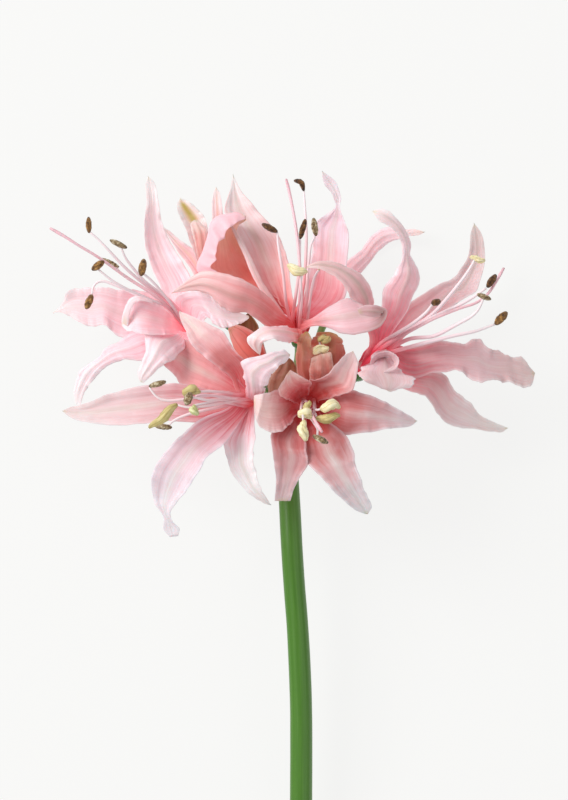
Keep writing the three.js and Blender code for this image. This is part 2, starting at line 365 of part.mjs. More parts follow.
    [[9.7, 3, 2], [10, 4.2, 4.9], [10.2, 5.4, 7.7], [10.4, 6.7, 10.5], [10.2, 8.3, 13.2], [10, 10.6, 14.9], [10, 13.3, 14.2], [10.7, 15.9, 13]],
    [[12.7, 3, 2], [13.7, 4.2, 4.9], [14.8, 5.5, 7.7], [15.9, 6.8, 10.5], [17.1, 8.4, 13.2], [18, 11.2, 14.9], [18.1, 14.7, 14.2], [16.7, 17.8, 13]] ] },
  { name: 'F_tepal_right', cup: 1.0, color: 0xb8736a, rails: [
    [[12.7, 3, 1], [12.7, 6.3, 0.8], [12.5, 9.5, 0.8], [11.2, 12.8, 0.9], [10.1, 16.2, 0.7], [9.4, 19.6, 0.1], [10.3, 22.8, -0.5], [12.8, 25.5, -1]],
    [[14.2, 3, 1], [15.6, 5.8, 3.7], [17, 8.6, 6.6], [17.5, 11.8, 9.1], [17.4, 15.3, 9.9], [17.2, 18.6, 9.1], [17.1, 21.8, 7.3], [16.8, 25.4, 4]],
    [[15.7, 3, 1], [17.4, 5.9, 2.5], [19.1, 8.7, 4], [20.7, 11.8, 5.1], [22.2, 15.2, 5.4], [22.7, 18.6, 4.9], [21.8, 21.9, 4], [19.4, 24.7, 3]] ] },
  { name: 'G_tepal_hood', cup: -2.0, color: 0xeeb9bd, rails: [
    [[-23.9, 32.7, -26], [-26.8, 38.9, -25.5], [-29.8, 45, -25], [-32.6, 51.1, -24.4], [-34.8, 57.4, -23], [-37, 63.8, -21.5], [-39.8, 69.9, -19.9], [-39.7, 77.1, -18]],
    [[-21.6, 33.9, -26], [-23, 40.6, -25.1], [-24.9, 47.3, -24.3], [-27, 53.8, -23.3], [-28.5, 60.4, -22], [-29.6, 67.2, -20.6], [-32.9, 72.9, -19.4], [-39.7, 77.1, -18]] ] },
  { name: 'G_tepal_lip', cup: 1.2, color: 0xeeb9bd, rails: [
    [[-22.3, 33, -24], [-24.6, 37.4, -21.4], [-27.1, 42.1, -19.6], [-29.6, 47.1, -18.4], [-32, 52, -17], [-33.6, 57.4, -15.8], [-34.8, 63, -15.3], [-34.3, 68.6, -16]],
    [[-20.4, 33.8, -24], [-21.8, 38.3, -21], [-23.5, 43.2, -18.9], [-25.7, 48.1, -17.4], [-27.8, 53, -15.9], [-28.8, 58.3, -15], [-29, 63.8, -14.8], [-32.8, 68.6, -16]] ] },
  { name: 'G_tepal_left', cup: -1.2, color: 0xeeb9bd, rails: [
    [[-25.4, 31.6, -27], [-28.2, 36.5, -29.8], [-31.1, 41.5, -32.2], [-34, 46.8, -34.1], [-37.2, 52.1, -34.9], [-40.9, 57.1, -34.6], [-44.4, 62.3, -33.4], [-47.5, 67.3, -31]],
    [[-23.5, 32.4, -27], [-25.4, 38, -29.8], [-27.3, 43.8, -32.2], [-29.6, 49.6, -34.1], [-32.6, 55.3, -34.9], [-37.2, 60, -34.6], [-42.4, 63.9, -33.4], [-47.5, 67.3, -31]] ] },
  { name: 'G_tepal_tip', cup: -0.8, color: 0xeeb9bd, rails: [
    [[-21.2, 33.1, -26], [-22.9, 39.8, -27.7], [-24.7, 46.6, -28], [-26.1, 53.6, -27.9], [-27.1, 60.6, -27.1], [-27.6, 67.7, -27], [-27.7, 74.8, -26.9], [-26.2, 82, -26]],
    [[-19.2, 33.9, -26], [-20.5, 40.5, -27.7], [-21.7, 47.4, -28], [-22.4, 54.3, -27.9], [-22.9, 61.2, -27.1], [-23.3, 68.2, -27], [-23.9, 75.2, -26.9], [-26.2, 82, -26]] ] },
  { name: 'H_tepal_arch', cup: 1.0, color: 0xf0b6bf, rails: [
    [[16.1, 36.5, -24], [18.2, 43.1, -29], [21.2, 49.9, -33.1], [26.7, 55.7, -35.9], [32.4, 61.7, -36.6], [38.9, 66.9, -35.2], [46.8, 66.1, -32], [54.4, 64.8, -28]],
    [[18.8, 35.3, -24], [22.5, 40.1, -28.6], [26.7, 45.2, -32.2], [31.1, 50.7, -34.8], [35.7, 56.5, -35.6], [41.2, 61.2, -34.3], [47.9, 63.3, -31.6], [54.4, 64.8, -28]] ] },
  { name: 'bract_front', cup: 1.2, color: 0xa0735a, rails: [
    [[-0.8, -15, 1], [-2, -11.4, -2.2], [-3.5, -7.2, -4.6], [-5, -2.5, -5.9], [-6, 2.4, -6], [-5.5, 7.2, -5.8], [-3.1, 11.6, -4.9], [1.5, 16.2, -4]],
    [[1.9, -15, 1], [2.6, -11.4, -2.2], [3.4, -7.3, -4.6], [4.3, -2.8, -5.9], [5, 1.9, -6], [5.2, 6.6, -5.8], [5, 11.4, -4.9], [1.5, 16.2, -4]] ] },
  { name: 'bract_back', cup: -1.5, color: 0xa0735a, rails: [
    [[-1.1, -15.1, -5], [-4.3, -9.6, -10.1], [-7.6, -3.6, -14.3], [-10.7, 3.1, -17.6], [-13.7, 10.4, -19.6], [-16.4, 18, -19.8], [-19, 25.5, -18.8], [-13.7, 33.2, -17]],
    [[1.1, -14.3, -5], [-0.1, -8.6, -10.1], [-1.4, -2.4, -14.3], [-3, 4.2, -17.6], [-4.9, 11.3, -19.6], [-6.9, 18.5, -19.8], [-9.1, 25.8, -18.8], [-13.7, 33.2, -17]] ] },
];
const STAMENS = [
  { name: 'A_stamens', hub: [-32.8, 22.5, -9], axis: [-0.510, 0.423, 0.749], filaments: [
    { path: [[-32.5, 21.7, -8.1], [-36, 26.6, -2.1], [-38.7, 30.8, 4.6], [-41.9, 35.6, 10.6], [-46.1, 41, 15.6], [-51.1, 46.7, 19]], anther: [[-51.5, 51.8, 19.6], [-52, 48.7, 20.4], [-52.6, 45.6, 19.9]], r: 1.5 },
    { path: [[-31.8, 22.8, -8.2], [-36.9, 28.7, -0.2], [-41.8, 33.6, 8.6], [-49.9, 37.3, 15.3], [-59, 41.3, 20.4], [-67.8, 47.6, 23]], anther: [[-70.3, 47.6, 23.6], [-68, 49.2, 24.4], [-65.9, 50.9, 23.9]], r: 1.42 },
    { path: [[-32.1, 23.7, -8.9], [-36.1, 29.9, -2], [-41, 35.5, 4.9], [-47.8, 41, 9.9], [-54.9, 47.6, 12.3], [-61.1, 55.5, 13]], anther: [[-64.4, 59.2, 13.6], [-61.2, 57.7, 14.4], [-58.1, 56.2, 13.9]], r: 1.35 },
    { path: [[-33.2, 23.6, -9.6], [-39.1, 30.9, -1], [-45.2, 38, 7.5], [-53.7, 44.5, 14.4], [-62.5, 52.9, 18.3], [-70.9, 62.1, 20]], anther: [[-71.8, 67.2, 20.6], [-71.7, 64.2, 21.4], [-71.6, 61.3, 20.9]], r: 1.12 },
    { path: [[-34, 22.6, -9.5], [-38.4, 27.5, -3.2], [-42.9, 33.1, 2.5], [-48.4, 38.8, 7.1], [-55.7, 43.7, 9.6], [-63, 49, 11]], anther: [[-67.8, 52.5, 11.6], [-64.4, 50.8, 12.4], [-61.1, 49.3, 11.9]], r: 1.2 },
    { path: [[-33.6, 21.6, -8.8], [-39.6, 26.7, -0.8], [-45.9, 33.2, 5.5], [-55.2, 39.2, 5.4], [-65.2, 43.8, 4], [-71.6, 39.2, 5]], anther: [[-71.6, 39.3, 5.6], [-72.7, 36.6, 6.4], [-73.8, 33.9, 5.9]], r: 1.42 } ] },
  { name: 'B_stamens', hub: [5.2, 24.4, -6.4], axis: [-0.033, 0.430, 0.902], filaments: [
    { path: [[5.3, 23.4, -5.7], [5.6, 26.7, 0.8], [5.9, 30, 7.3], [6.2, 33.9, 13.4], [6.4, 39.3, 18.2], [5.9, 45.5, 22]], anther: [[1.1, 49.1, 22.6], [4.8, 47.8, 23.4], [8.4, 46.5, 22.9]], r: 1.8 },
    { path: [[6.3, 24.1, -5.9], [7.8, 26.4, 0.5], [8.8, 30.5, 4.7], [9.5, 36.6, 6.1], [10.5, 42.7, 4.9], [12, 48.6, 3]], anther: [[12.7, 51.6, 3.6], [13.1, 50, 4.4], [13.4, 48.6, 3.9]], r: 0.98 },
    { path: [[6.2, 25.2, -6.5], [7.5, 29.8, 1], [8.1, 35.1, 8], [8.6, 43.4, 9.9], [9.3, 52, 8.2], [10.1, 60.7, 7]], anther: [[11, 67.7, 7.6], [11.4, 64.3, 8.4], [11.9, 61, 7.9]], r: 1.27 },
    { path: [[5, 25.7, -6.8], [5.4, 32.3, 3.4], [7.4, 43.1, 7.3], [8.2, 54.8, 4.2], [8.2, 66.3, 0.6], [7.3, 77.9, -3]], anther: [[3.8, 82.5, -2.4], [6.4, 81.7, -1.6], [7.5, 78.5, -2.1]], r: 1.35 },
    { path: [[4, 25, -6.5], [3.3, 29.7, 1.3], [3.8, 34.9, 8.7], [4.8, 42.1, 13.8], [5.7, 50.7, 16.8], [5.9, 59.7, 17]], anther: [[7.9, 66.7, 17.6], [6.9, 63, 18.4], [5.9, 59.3, 17.9]], r: 1.12 },
    { path: [[4.1, 23.8, -5.9], [2.7, 28.4, 2.4], [1.1, 34.3, 9.8], [0.1, 42.6, 14.3], [-1.3, 51.9, 16], [-2.8, 61.3, 15]], anther: [[-8.1, 65, 15.6], [-5.3, 63.4, 16.4], [-2.4, 62, 15.9]], r: 1.5 } ] },
  { name: 'C_stamens', hub: [30.6, 12.1, -9.5], axis: [0.532, 0.570, 0.626], filaments: [
    { path: [[29.7, 13.1, -9.4], [34.6, 19.6, -4], [38.4, 22.7, 3.5], [42.7, 25.2, 11.2], [49, 29.3, 16.6], [55.1, 35.3, 20]], anther: [[54, 35.6, 20.6], [55.6, 36, 21.4], [57.3, 36.4, 20.9]], r: 1.35 },
    { path: [[29.9, 12, -8.4], [36.1, 19, -0.7], [42.7, 23.5, 8.3], [52, 29, 13.5], [62.7, 34.1, 15.7], [73.1, 40.2, 16]], anther: [[78.2, 46.3, 16.6], [76.5, 43.9, 17.4], [74.8, 41.5, 16.9]], r: 1.35 },
    { path: [[31.1, 11.2, -8.8], [39, 17.5, -1.2], [44.6, 19.1, 9.4], [54.6, 21.8, 15.8], [66.5, 24.5, 17], [77.9, 28.4, 15]], anther: [[82.3, 32.5, 15.6], [80, 30.1, 16.4], [77.9, 27.9, 15.9]], r: 1.58 },
    { path: [[31.8, 11.9, -10], [39, 18.7, -2.9], [44.7, 22, 6.8], [54.2, 23.1, 13.5], [64.6, 28.4, 15], [73, 35.9, 14]], anther: [[71.3, 39.2, 14.6], [73.8, 38.1, 15.4], [76.5, 37.1, 14.9]], r: 1.27 },
    { path: [[30.9, 13.1, -10.3], [37.3, 21.2, -2.9], [45, 25.6, 5.7], [55.5, 32, 7.7], [63.7, 41.3, 6], [71.2, 51.4, 6]], anther: [[69.3, 53.1, 6.6], [72, 52.5, 7.4], [74.8, 52, 6.9]], r: 1.27 } ] },
  { name: 'D_stamens', hub: [-9.6, -1.8, 9.6], axis: [-0.358, 0.215, 0.909], filaments: [
    { path: [[-9.4, -0.4, 9.6], [-14.5, 2, 18.6], [-19.7, 2, 27.6], [-28.7, 1.4, 32.9], [-38.9, -0.1, 34], [-48.2, 2.9, 34]], anther: [[-48.9, 4.9, 34.6], [-45.8, 5.8, 35.4], [-42.7, 6.7, 34.9]], r: 1.35 },
    { path: [[-10.6, -0.9, 9.3], [-15.1, 1.2, 15.9], [-18, 2, 23.5], [-20.9, 2.7, 31.1], [-25.1, 3, 38], [-31.6, 2.9, 43]], anther: [[-36.2, 2.9, 43.6], [-33.1, 3, 44.4], [-30.1, 3.2, 43.9]], r: 2.1 },
    { path: [[-10.9, -2.2, 9.5], [-15, -1.4, 17.1], [-20.2, -1.9, 24.1], [-26.6, -3.2, 29.8], [-34.6, -5.1, 32], [-42.5, -8.7, 32]], anther: [[-46.8, -9.4, 32.6], [-43.7, -9.7, 33.4], [-40.6, -10, 32.9]], r: 1.35 },
    { path: [[-10, -3, 10], [-13.6, -2.4, 16.6], [-16.8, -1.8, 23.4], [-20.2, -1, 30], [-24.5, -0.6, 36.2], [-30.2, -1.4, 41]], anther: [[-32.7, -1.8, 41.6], [-32.1, -3.6, 42.4], [-31.6, -5.4, 41.9]], r: 1.5 },
    { path: [[-8.8, -2.5, 10.3], [-12.9, -1.3, 17.9], [-16.4, -0.7, 25.8], [-20.2, -0.1, 33.5], [-24.8, 0.1, 40.8], [-30.7, 0, 47]], anther: [[-33.4, 2.7, 47.6], [-34.2, 0.5, 48.4], [-35, -1.8, 47.9]], r: 1.58 },
    { path: [[-8.6, -1.2, 10.2], [-12.6, 0.2, 18.4], [-16.1, 0, 26.9], [-21, -0.8, 34.7], [-28.3, -2.2, 40], [-37.4, -2.9, 41]], anther: [[-38.3, -1.6, 41.6], [-43.4, -5.8, 42.4], [-48.5, -10.1, 41.9]], r: 1.8 } ] },
  { name: 'E_stamens', hub: [8.2, -2.3, 5.9], axis: [0.083, 0.184, 0.979], filaments: [
    { path: [[7.8, -1, 5.9], [7.5, 0.5, 12.2], [7.1, 0, 18.4], [6.6, -1.2, 24.5], [6.4, -2.4, 30.7], [6.1, -3.2, 37]], anther: [[5.4, -4.7, 37.6], [7.8, -5.2, 38.4], [10.1, -5.8, 37.9]], r: 2.03 },
    { path: [[7, -1.9, 6.2], [7, 0, 11.6], [7.2, 0.3, 17.2], [7.8, -0.3, 22.8], [8.6, -1.1, 28.4], [8.7, -1.8, 34]], anther: [[9.1, -0.4, 34.6], [8.5, -2.2, 35.4], [8, -4, 34.9]], r: 1.42 },
    { path: [[7.3, -3.1, 6.4], [6.9, -3.1, 13.9], [6.9, -3.5, 21.5], [7, -4.1, 29.1], [6.9, -5, 36.6], [6.8, -6.5, 44]], anther: [[6.8, -7.2, 44.6], [7.1, -10.9, 45.4], [7.3, -14.7, 44.9]], r: 1.8 },
    { path: [[8.6, -3.5, 6.3], [9.6, -4.3, 13.8], [9.8, -5.5, 21.4], [10.1, -6.9, 28.9], [11.1, -8.6, 36.2], [12.9, -11.5, 43]], anther: [[10.4, -12.7, 43.6], [13.1, -14.1, 44.4], [15.8, -15.4, 43.9]], r: 1.5 },
    { path: [[9.5, -2.5, 6.1], [11.3, -2.3, 12], [11.5, -2.6, 18], [11.1, -3.5, 24.1], [11.1, -4.6, 30.1], [11.9, -5.8, 36]], anther: [[11.6, -6.9, 36.6], [15.9, -6.3, 37.4], [20.2, -5.8, 36.9]], r: 1.72 },
    { path: [[9.1, -1.3, 5.9], [10.9, 0.1, 12.2], [11.1, -0.5, 18.7], [11, -2, 25.1], [11.3, -3.2, 31.5], [12.3, -4, 38]], anther: [[13, -3.2, 38.6], [16.6, -1.8, 39.4], [20.2, -2.9, 38.9]], r: 1.95 } ] },
  { name: 'F_stamens', hub: [11.3, 3.5, -1.3], axis: [0.020, 0.968, 0.249], filaments: [
    { path: [[10.1, 3.7, -0.9], [9.5, 4.9, 2.1], [9.9, 7, 4.2], [10.9, 9.6, 5.7], [11.7, 12.5, 6.5], [11.9, 15.6, 7]], anther: [[10.8, 17.1, 7.6], [13.6, 18.2, 8.4], [16.4, 19.4, 7.9]], r: 1.72 },
    { path: [[12.6, 3.8, -1.5], [14.3, 5.2, 2.1], [14.1, 8.3, 2.7], [13.6, 11.9, 2.9], [13.8, 15.4, 2.4], [14.2, 18.7, 1]], anther: [[13.1, 21.7, 1.6], [15.2, 22.6, 2.4], [17.2, 23.6, 1.9]], r: 1.72 } ] },
];
const PISTILS = [
  { name: 'A_pistil', path: [[-32.6, 22.4, -9.3], [-35.4, 25.2, -4.7], [-42.5, 33.8, 9.9], [-55.6, 43.7, 17.3], [-70, 53.5, 23.1], [-85.6, 62.9, 25]] },
  { name: 'B_pistil', path: [[5.2, 24.3, -6.8], [5.2, 27.3, -1.9], [5.7, 34.7, 13.4], [5.8, 49.3, 20], [4.1, 65.8, 16.4], [0.7, 81.9, 12]] },
  { name: 'C_pistil', path: [[30.4, 11.9, -9.8], [33.9, 15.9, -6.6], [42, 22.6, 6.7], [54.3, 29.5, 16.6], [70.3, 35.6, 19], [81.1, 48.7, 17]] },
  { name: 'D_pistil', path: [[-9.5, -1.8, 9.3], [-11.6, -0.8, 12.4], [-15.8, 0.4, 22.6], [-18.9, 0.7, 33.5], [-23.6, 1.3, 43.8], [-31.3, 1.4, 52]] },
  { name: 'E_pistil', path: [[8.2, -2.3, 5.5], [8.6, -1.7, 9], [9.4, -2, 19.5], [9.8, -4.2, 29.9], [10.8, -6.8, 40.1], [13.6, -11.4, 49]] },
];
const PEDICELS = [
  { name: 'A_pedicel_ovary', path: [[-1.9, -16.9, -1.2], [-5.6, -5.1, -4.8], [-13, 5, -12.2], [-21.6, 13.3, -17.4], [-29.2, 19.6, -14.2]], ovary: [-30.7, 20.9, -12], axis: [-0.510, 0.423, 0.749] },
  { name: 'B_pedicel_ovary', path: [[0.8, -16.9, -2], [1.5, -5.8, -5.5], [3.2, 5.3, -12.1], [4.9, 14.9, -16.4], [5.4, 21.4, -12.7]], ovary: [5.3, 22.7, -10], axis: [-0.033, 0.430, 0.902] },
  { name: 'C_pedicel_ovary', path: [[3.4, -16.9, -2.8], [6.8, -8.6, -5.9], [13.2, -2.3, -11.5], [20.6, 3, -15.6], [26.9, 8.2, -13.9]], ovary: [28.5, 9.9, -12], axis: [0.532, 0.570, 0.626] },
  { name: 'D_pedicel_ovary', path: [[-0.5, -16.9, 0.4], [-1.6, -12.6, 0.8], [-3.4, -8.4, 0.6], [-5.4, -5.1, 1], [-7.1, -3.3, 3.3]], ovary: [-8.2, -2.6, 6], axis: [-0.358, 0.215, 0.909] },
  { name: 'E_pedicel_ovary', path: [[1.6, -16.9, 0.6], [2.7, -12.7, 0.3], [4.6, -8.6, -1.5], [6.6, -5.3, -2.6], [7.6, -3.5, -0.9]], ovary: [7.9, -3, 2], axis: [0.083, 0.184, 0.979] },
  { name: 'F_pedicel_ovary', path: [[3.2, -16.9, -0.7], [5, -12.8, -0.9], [7.7, -9.4, -2], [10.1, -6, -3], [11.2, -2.1, -2.8]], ovary: [11.3, 0.8, -2], axis: [0.020, 0.968, 0.249] },
  { name: 'G_pedicel_ovary', path: [[-1.7, -16.9, -3.3], [-4, -4.5, -6.7], [-8.2, 6.1, -13.6], [-13.7, 16.2, -20.7], [-19.8, 27.3, -24.7]], ovary: [-21.1, 30, -25], axis: [-0.453, 0.886, -0.101] },
  { name: 'H_pedicel_ovary', path: [[2, -16.9, -4.4], [3.5, -4.5, -7.2], [6.5, 6.5, -12.1], [10.5, 17.3, -17.4], [15, 28.7, -21.4]], ovary: [16.1, 31.4, -22], axis: [0.355, 0.913, -0.203] },
  { name: 'floret_I_bud', path: [[-0.1, -16.9, -4.6], [0, -11.4, -6], [0.2, -6.1, -7.7], [-0.1, -1.2, -9.1], [-2.1, 3.6, -9.8]], ovary: [-3.8, 6.1, -10], axis: [-0.552, 0.833, -0.050] },
];
const BUD = { path: [[-4.9, 8, -10], [-7.2, 11.4, -10], [-9.8, 15.5, -10], [-12.9, 19.7, -10], [-15.9, 23.5, -10.5], [-18.6, 26.2, -11], [-20.9, 28.1, -11]], radii: [1.6, 3.0, 4.4, 5.2, 4.9, 3.4, 0.9] };
const SCAPE = [[0.8, -17.3, -2], [2.1, -39.4, -1], [2.9, -54.4, 0], [3.8, -69.4, 0], [5, -84.4, 0], [5.8, -99.4, 0], [6.5, -129.4, 0], [6.4, -150, 0], [6, -190, 0], [4.3, -250, 0]];

// ---- pieces in the order in which each gives way to those before it ----
const pieces = [
  { name: 'scape', color: 0x55803a, make: scapeSolid },
  ...PEDICELS.map((p) => ({ name: p.name, color: p.name === 'floret_I_bud' ? 0xc9665a : 0x5f8a45, make: (g) => pedicelSolid(p, g) })),
  ...STAMENS.filter((s) => s.name !== 'F_stamens').map((s) => ({ name: s.name, color: 0xe9d6d2, make: (g) => stamenSolid(s, g) })),
  ...PISTILS.map((p) => ({ name: p.name, color: 0xd49aa8, make: (g) => pistilSolid(p, g) })),
  ...TEPALS.map((t) => ({ name: t.name, color: t.color, make: (g) => tepalSolid(t, g) })),
];

const near = (a, b) => [0, 1, 2].every((k) => a.min[k] < b.max[k] && b.min[k] < a.max[k]);

function largest(solid) {
  const parts = solid.decompose();
  parts.sort((a, b) => b.volume() - a.volume());
  return parts[0];
}

const flower = new THREE.Group();
const placed = [];
for (const piece of pieces) {
  let solid = piece.make(0);
  for (const other of placed) {
    if (!near(solid.boundingBox(), other.clear.boundingBox())) continue;
    const bite = solid.intersect(other.clear);
    if (bite.isEmpty() || bite.volume() < 1e-4) continue;
    solid = solid.subtract(other.clear);
  }
  solid = largest(largest(solid).simplify(0.05));
  solid = largest(toManifold(toGeometry(solid), 2e-3));
  placed.push({ name: piece.name, clear: piece.make(GAP) });
  const mesh = new THREE.Mesh(toGeometry(solid), new THREE.MeshStandardMaterial({ color: piece.color, roughness: 0.55, metalness: 0 }));
  mesh.name = piece.name;
  flower.add(mesh);
}

// Lay the flower down and put the middle of its footprint at the origin.
flower.rotation.x = LIE_TILT;
flower.position.set(-3.11, 81.17, 30.28);
const group = new THREE.Group();
group.add(flower);
export default group;
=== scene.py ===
import json
import math

import bpy
import numpy as np
from mathutils import Matrix, Vector


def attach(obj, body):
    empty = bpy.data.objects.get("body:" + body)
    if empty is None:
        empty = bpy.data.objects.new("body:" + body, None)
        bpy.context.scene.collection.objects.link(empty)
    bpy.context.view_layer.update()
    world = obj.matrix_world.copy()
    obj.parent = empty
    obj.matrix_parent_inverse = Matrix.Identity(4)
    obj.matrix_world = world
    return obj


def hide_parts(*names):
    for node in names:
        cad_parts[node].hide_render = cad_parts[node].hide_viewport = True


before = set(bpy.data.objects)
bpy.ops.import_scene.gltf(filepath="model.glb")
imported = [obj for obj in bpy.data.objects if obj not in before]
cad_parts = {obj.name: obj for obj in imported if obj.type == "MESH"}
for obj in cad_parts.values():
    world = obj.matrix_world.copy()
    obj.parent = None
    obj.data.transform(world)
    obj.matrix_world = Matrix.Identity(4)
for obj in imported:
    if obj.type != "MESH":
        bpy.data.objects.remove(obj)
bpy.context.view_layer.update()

# ------------------------------------------------------------------ frame of the flower (mm) -> row frame (m)
TILT = 0.1046
SHIFT = (-3.11, 81.17, 30.28)
ROT = Matrix.Rotation(TILT, 4, "X")
PLACE = Matrix.Translation(Vector(SHIFT) / 1000.0) @ ROT
RNP = np.array(ROT.to_3x3())
SNP = np.array(SHIFT, float)


def to_row(p):
    return (np.asarray(p, float) @ RNP.T + SNP) / 1000.0


# ------------------------------------------------------------------ small maths
def unit(v):
    v = np.asarray(v, float)
    return v / (np.linalg.norm(v, axis=-1, keepdims=True) + 1e-12)


def catmull(P, n):
    """smooth curve through the rows of P, n even steps of its own parameter"""
    P = np.asarray(P, float)
    m = len(P)
    Q = np.vstack([2 * P[0] - P[1], P, 2 * P[-1] - P[-2]])
    x = np.linspace(0, m - 1, n)
    i = np.minimum(x.astype(int), m - 2)
    f = (x - i)[:, None]
    a, b, c, d = Q[i], Q[i + 1], Q[i + 2], Q[i + 3]
    return 0.5 * ((2 * b) + (c - a) * f + (2 * a - 5 * b + 4 * c - d) * f**2 + (3 * b - a - 3 * c + d) * f**3)


def even(P, n):
    """n points evenly spaced along the smooth curve through P"""
    F = catmull(P, 24 * len(P))
    d = np.r_[0, np.cumsum(np.linalg.norm(np.diff(F, axis=0), axis=1))]
    t = np.linspace(0, d[-1], n)
    return np.stack([np.interp(t, d, F[:, k]) for k in range(3)], -1)


def sstep(a, b, x):
    x = np.clip((np.asarray(x, float) - a) / (b - a), 0, 1)
    return x * x * (3 - 2 * x)


def wobble(seed, x):
    """smooth repeatable noise of one number, about -1..1"""
    r = np.random.RandomState(seed)
    y = np.zeros_like(np.asarray(x, float))
    for k in range(4):
        y += np.sin(x * (1.7 ** k) * 2 * math.pi + r.uniform(0, 6.28)) * (0.75 ** k) * r.uniform(0.5, 1)
    return y / 2.0


# ------------------------------------------------------------------ node helpers
def lin(h):
    h = h.lstrip("#")
    out = []
    for k in (0, 2, 4):
        c = int(h[k : k + 2], 16) / 255
        out.append(c / 12.92 if c <= 0.04045 else ((c + 0.055) / 1.055) ** 2.4)
    return (*out, 1.0)


class Graph:
    def __init__(self, name):
        self.m = bpy.data.materials.new(name)
        self.m.use_nodes = True
        self.t = self.m.node_tree
        self.t.nodes.clear()
        self.out = self.t.nodes.new("ShaderNodeOutputMaterial")
        self.p = self.t.nodes.new("ShaderNodeBsdfPrincipled")
        self.t.links.new(self.p.outputs[0], self.out.inputs[0])

    def link(self, a, b):
        self.t.links.new(a, b)

    def put(self, sock, v):
        if hasattr(v, "is_output"):
            self.link(v, sock)
        else:
            sock.default_value = v

    def math(self, op, a, b=0.0, c=0.0, clamp=False):
        n = self.t.nodes.new("ShaderNodeMath")
        n.operation = op
        n.use_clamp = clamp
        self.put(n.inputs[0], a)
        self.put(n.inputs[1], b)
        self.put(n.inputs[2], c)
        return n.outputs[0]

    def step(self, a, b, x):
        n = self.t.nodes.new("ShaderNodeMapRange")
        n.interpolation_type = "SMOOTHSTEP"
        self.put(n.inputs["Value"], x)
        n.inputs["From Min"].default_value = a
        n.inputs["From Max"].default_value = b
        return n.outputs["Result"]

    def mix(self, f, a, b, kind="MIX"):
        n = self.t.nodes.new("ShaderNodeMix")
        n.data_type = "RGBA"
        n.blend_type = kind
        self.put(n.inputs[0], f)
        self.put(n.inputs[6], a)
        self.put(n.inputs[7], b)
        return n.outputs[2]

    def ramp(self, x, stops, interp="EASE"):
        n = self.t.nodes.new("ShaderNodeValToRGB")
        n.color_ramp.interpolation = interp
        e = n.color_ramp.elements
        while len(e) > 1:
            e.remove(e[-1])
        e[0].position = stops[0][0]
        e[0].color = lin(stops[0][1])
        for pos, col in stops[1:]:
            q = e.new(pos)
            q.color = lin(col)
        self.put(n.inputs[0], x)
        return n.outputs[0]

    def vec(self, x, y, z=0.0):
        n = self.t.nodes.new("ShaderNodeCombineXYZ")
        self.put(n.inputs[0], x)
        self.put(n.inputs[1], y)
        self.put(n.inputs[2], z)
        return n.outputs[0]

    def noise(self, v, scale=1.0, detail=2.0, rough=0.5, dist=0.0):
        n = self.t.nodes.new("ShaderNodeTexNoise")
        if v is not None:
            self.link(v, n.inputs["Vector"])
        n.inputs["Scale"].default_value = scale
        n.inputs["Detail"].default_value = detail
        n.inputs["Roughness"].default_value = rough
        n.inputs["Distortion"].default_value = dist
        return n.outputs["Fac"]

    def uv(self):
        n = self.t.nodes.new("ShaderNodeUVMap")
        n.uv_map = "UVMap"
        s = self.t.nodes.new("ShaderNodeSeparateXYZ")
        self.link(n.outputs[0], s.inputs[0])
        return s.outputs[0], s.outputs[1]

    def obj(self):
        n = self.t.nodes.new("ShaderNodeTexCoord")
        return n.outputs["Object"]

    def attr(self, name):
        n = self.t.nodes.new("ShaderNodeAttribute")
        n.attribute_name = name
        return n.outputs["Fac"]

    def bump(self, height, strength=0.3, distance=0.0003, prev=None):
        n = self.t.nodes.new("ShaderNodeBump")
        n.inputs["Strength"].default_value = strength
        n.inputs["Distance"].default_value = distance
        self.put(n.inputs["Height"], height)
        if prev is not None:
            self.link(prev, n.inputs["Normal"])
        return n.outputs[0]

    def set(self, **kw):
        names = dict(color="Base Color", rough="Roughness", normal="Normal", sss="Subsurface Weight", sss_radius="Subsurface Radius", sss_scale="Subsurface Scale", spec="Specular IOR Level", sheen="Sheen Weight", sheen_rough="Sheen Roughness", coat="Coat Weight", coat_rough="Coat Roughness")
        for k, v in kw.items():
            self.put(self.p.inputs[names[k]], v)
        return self.m


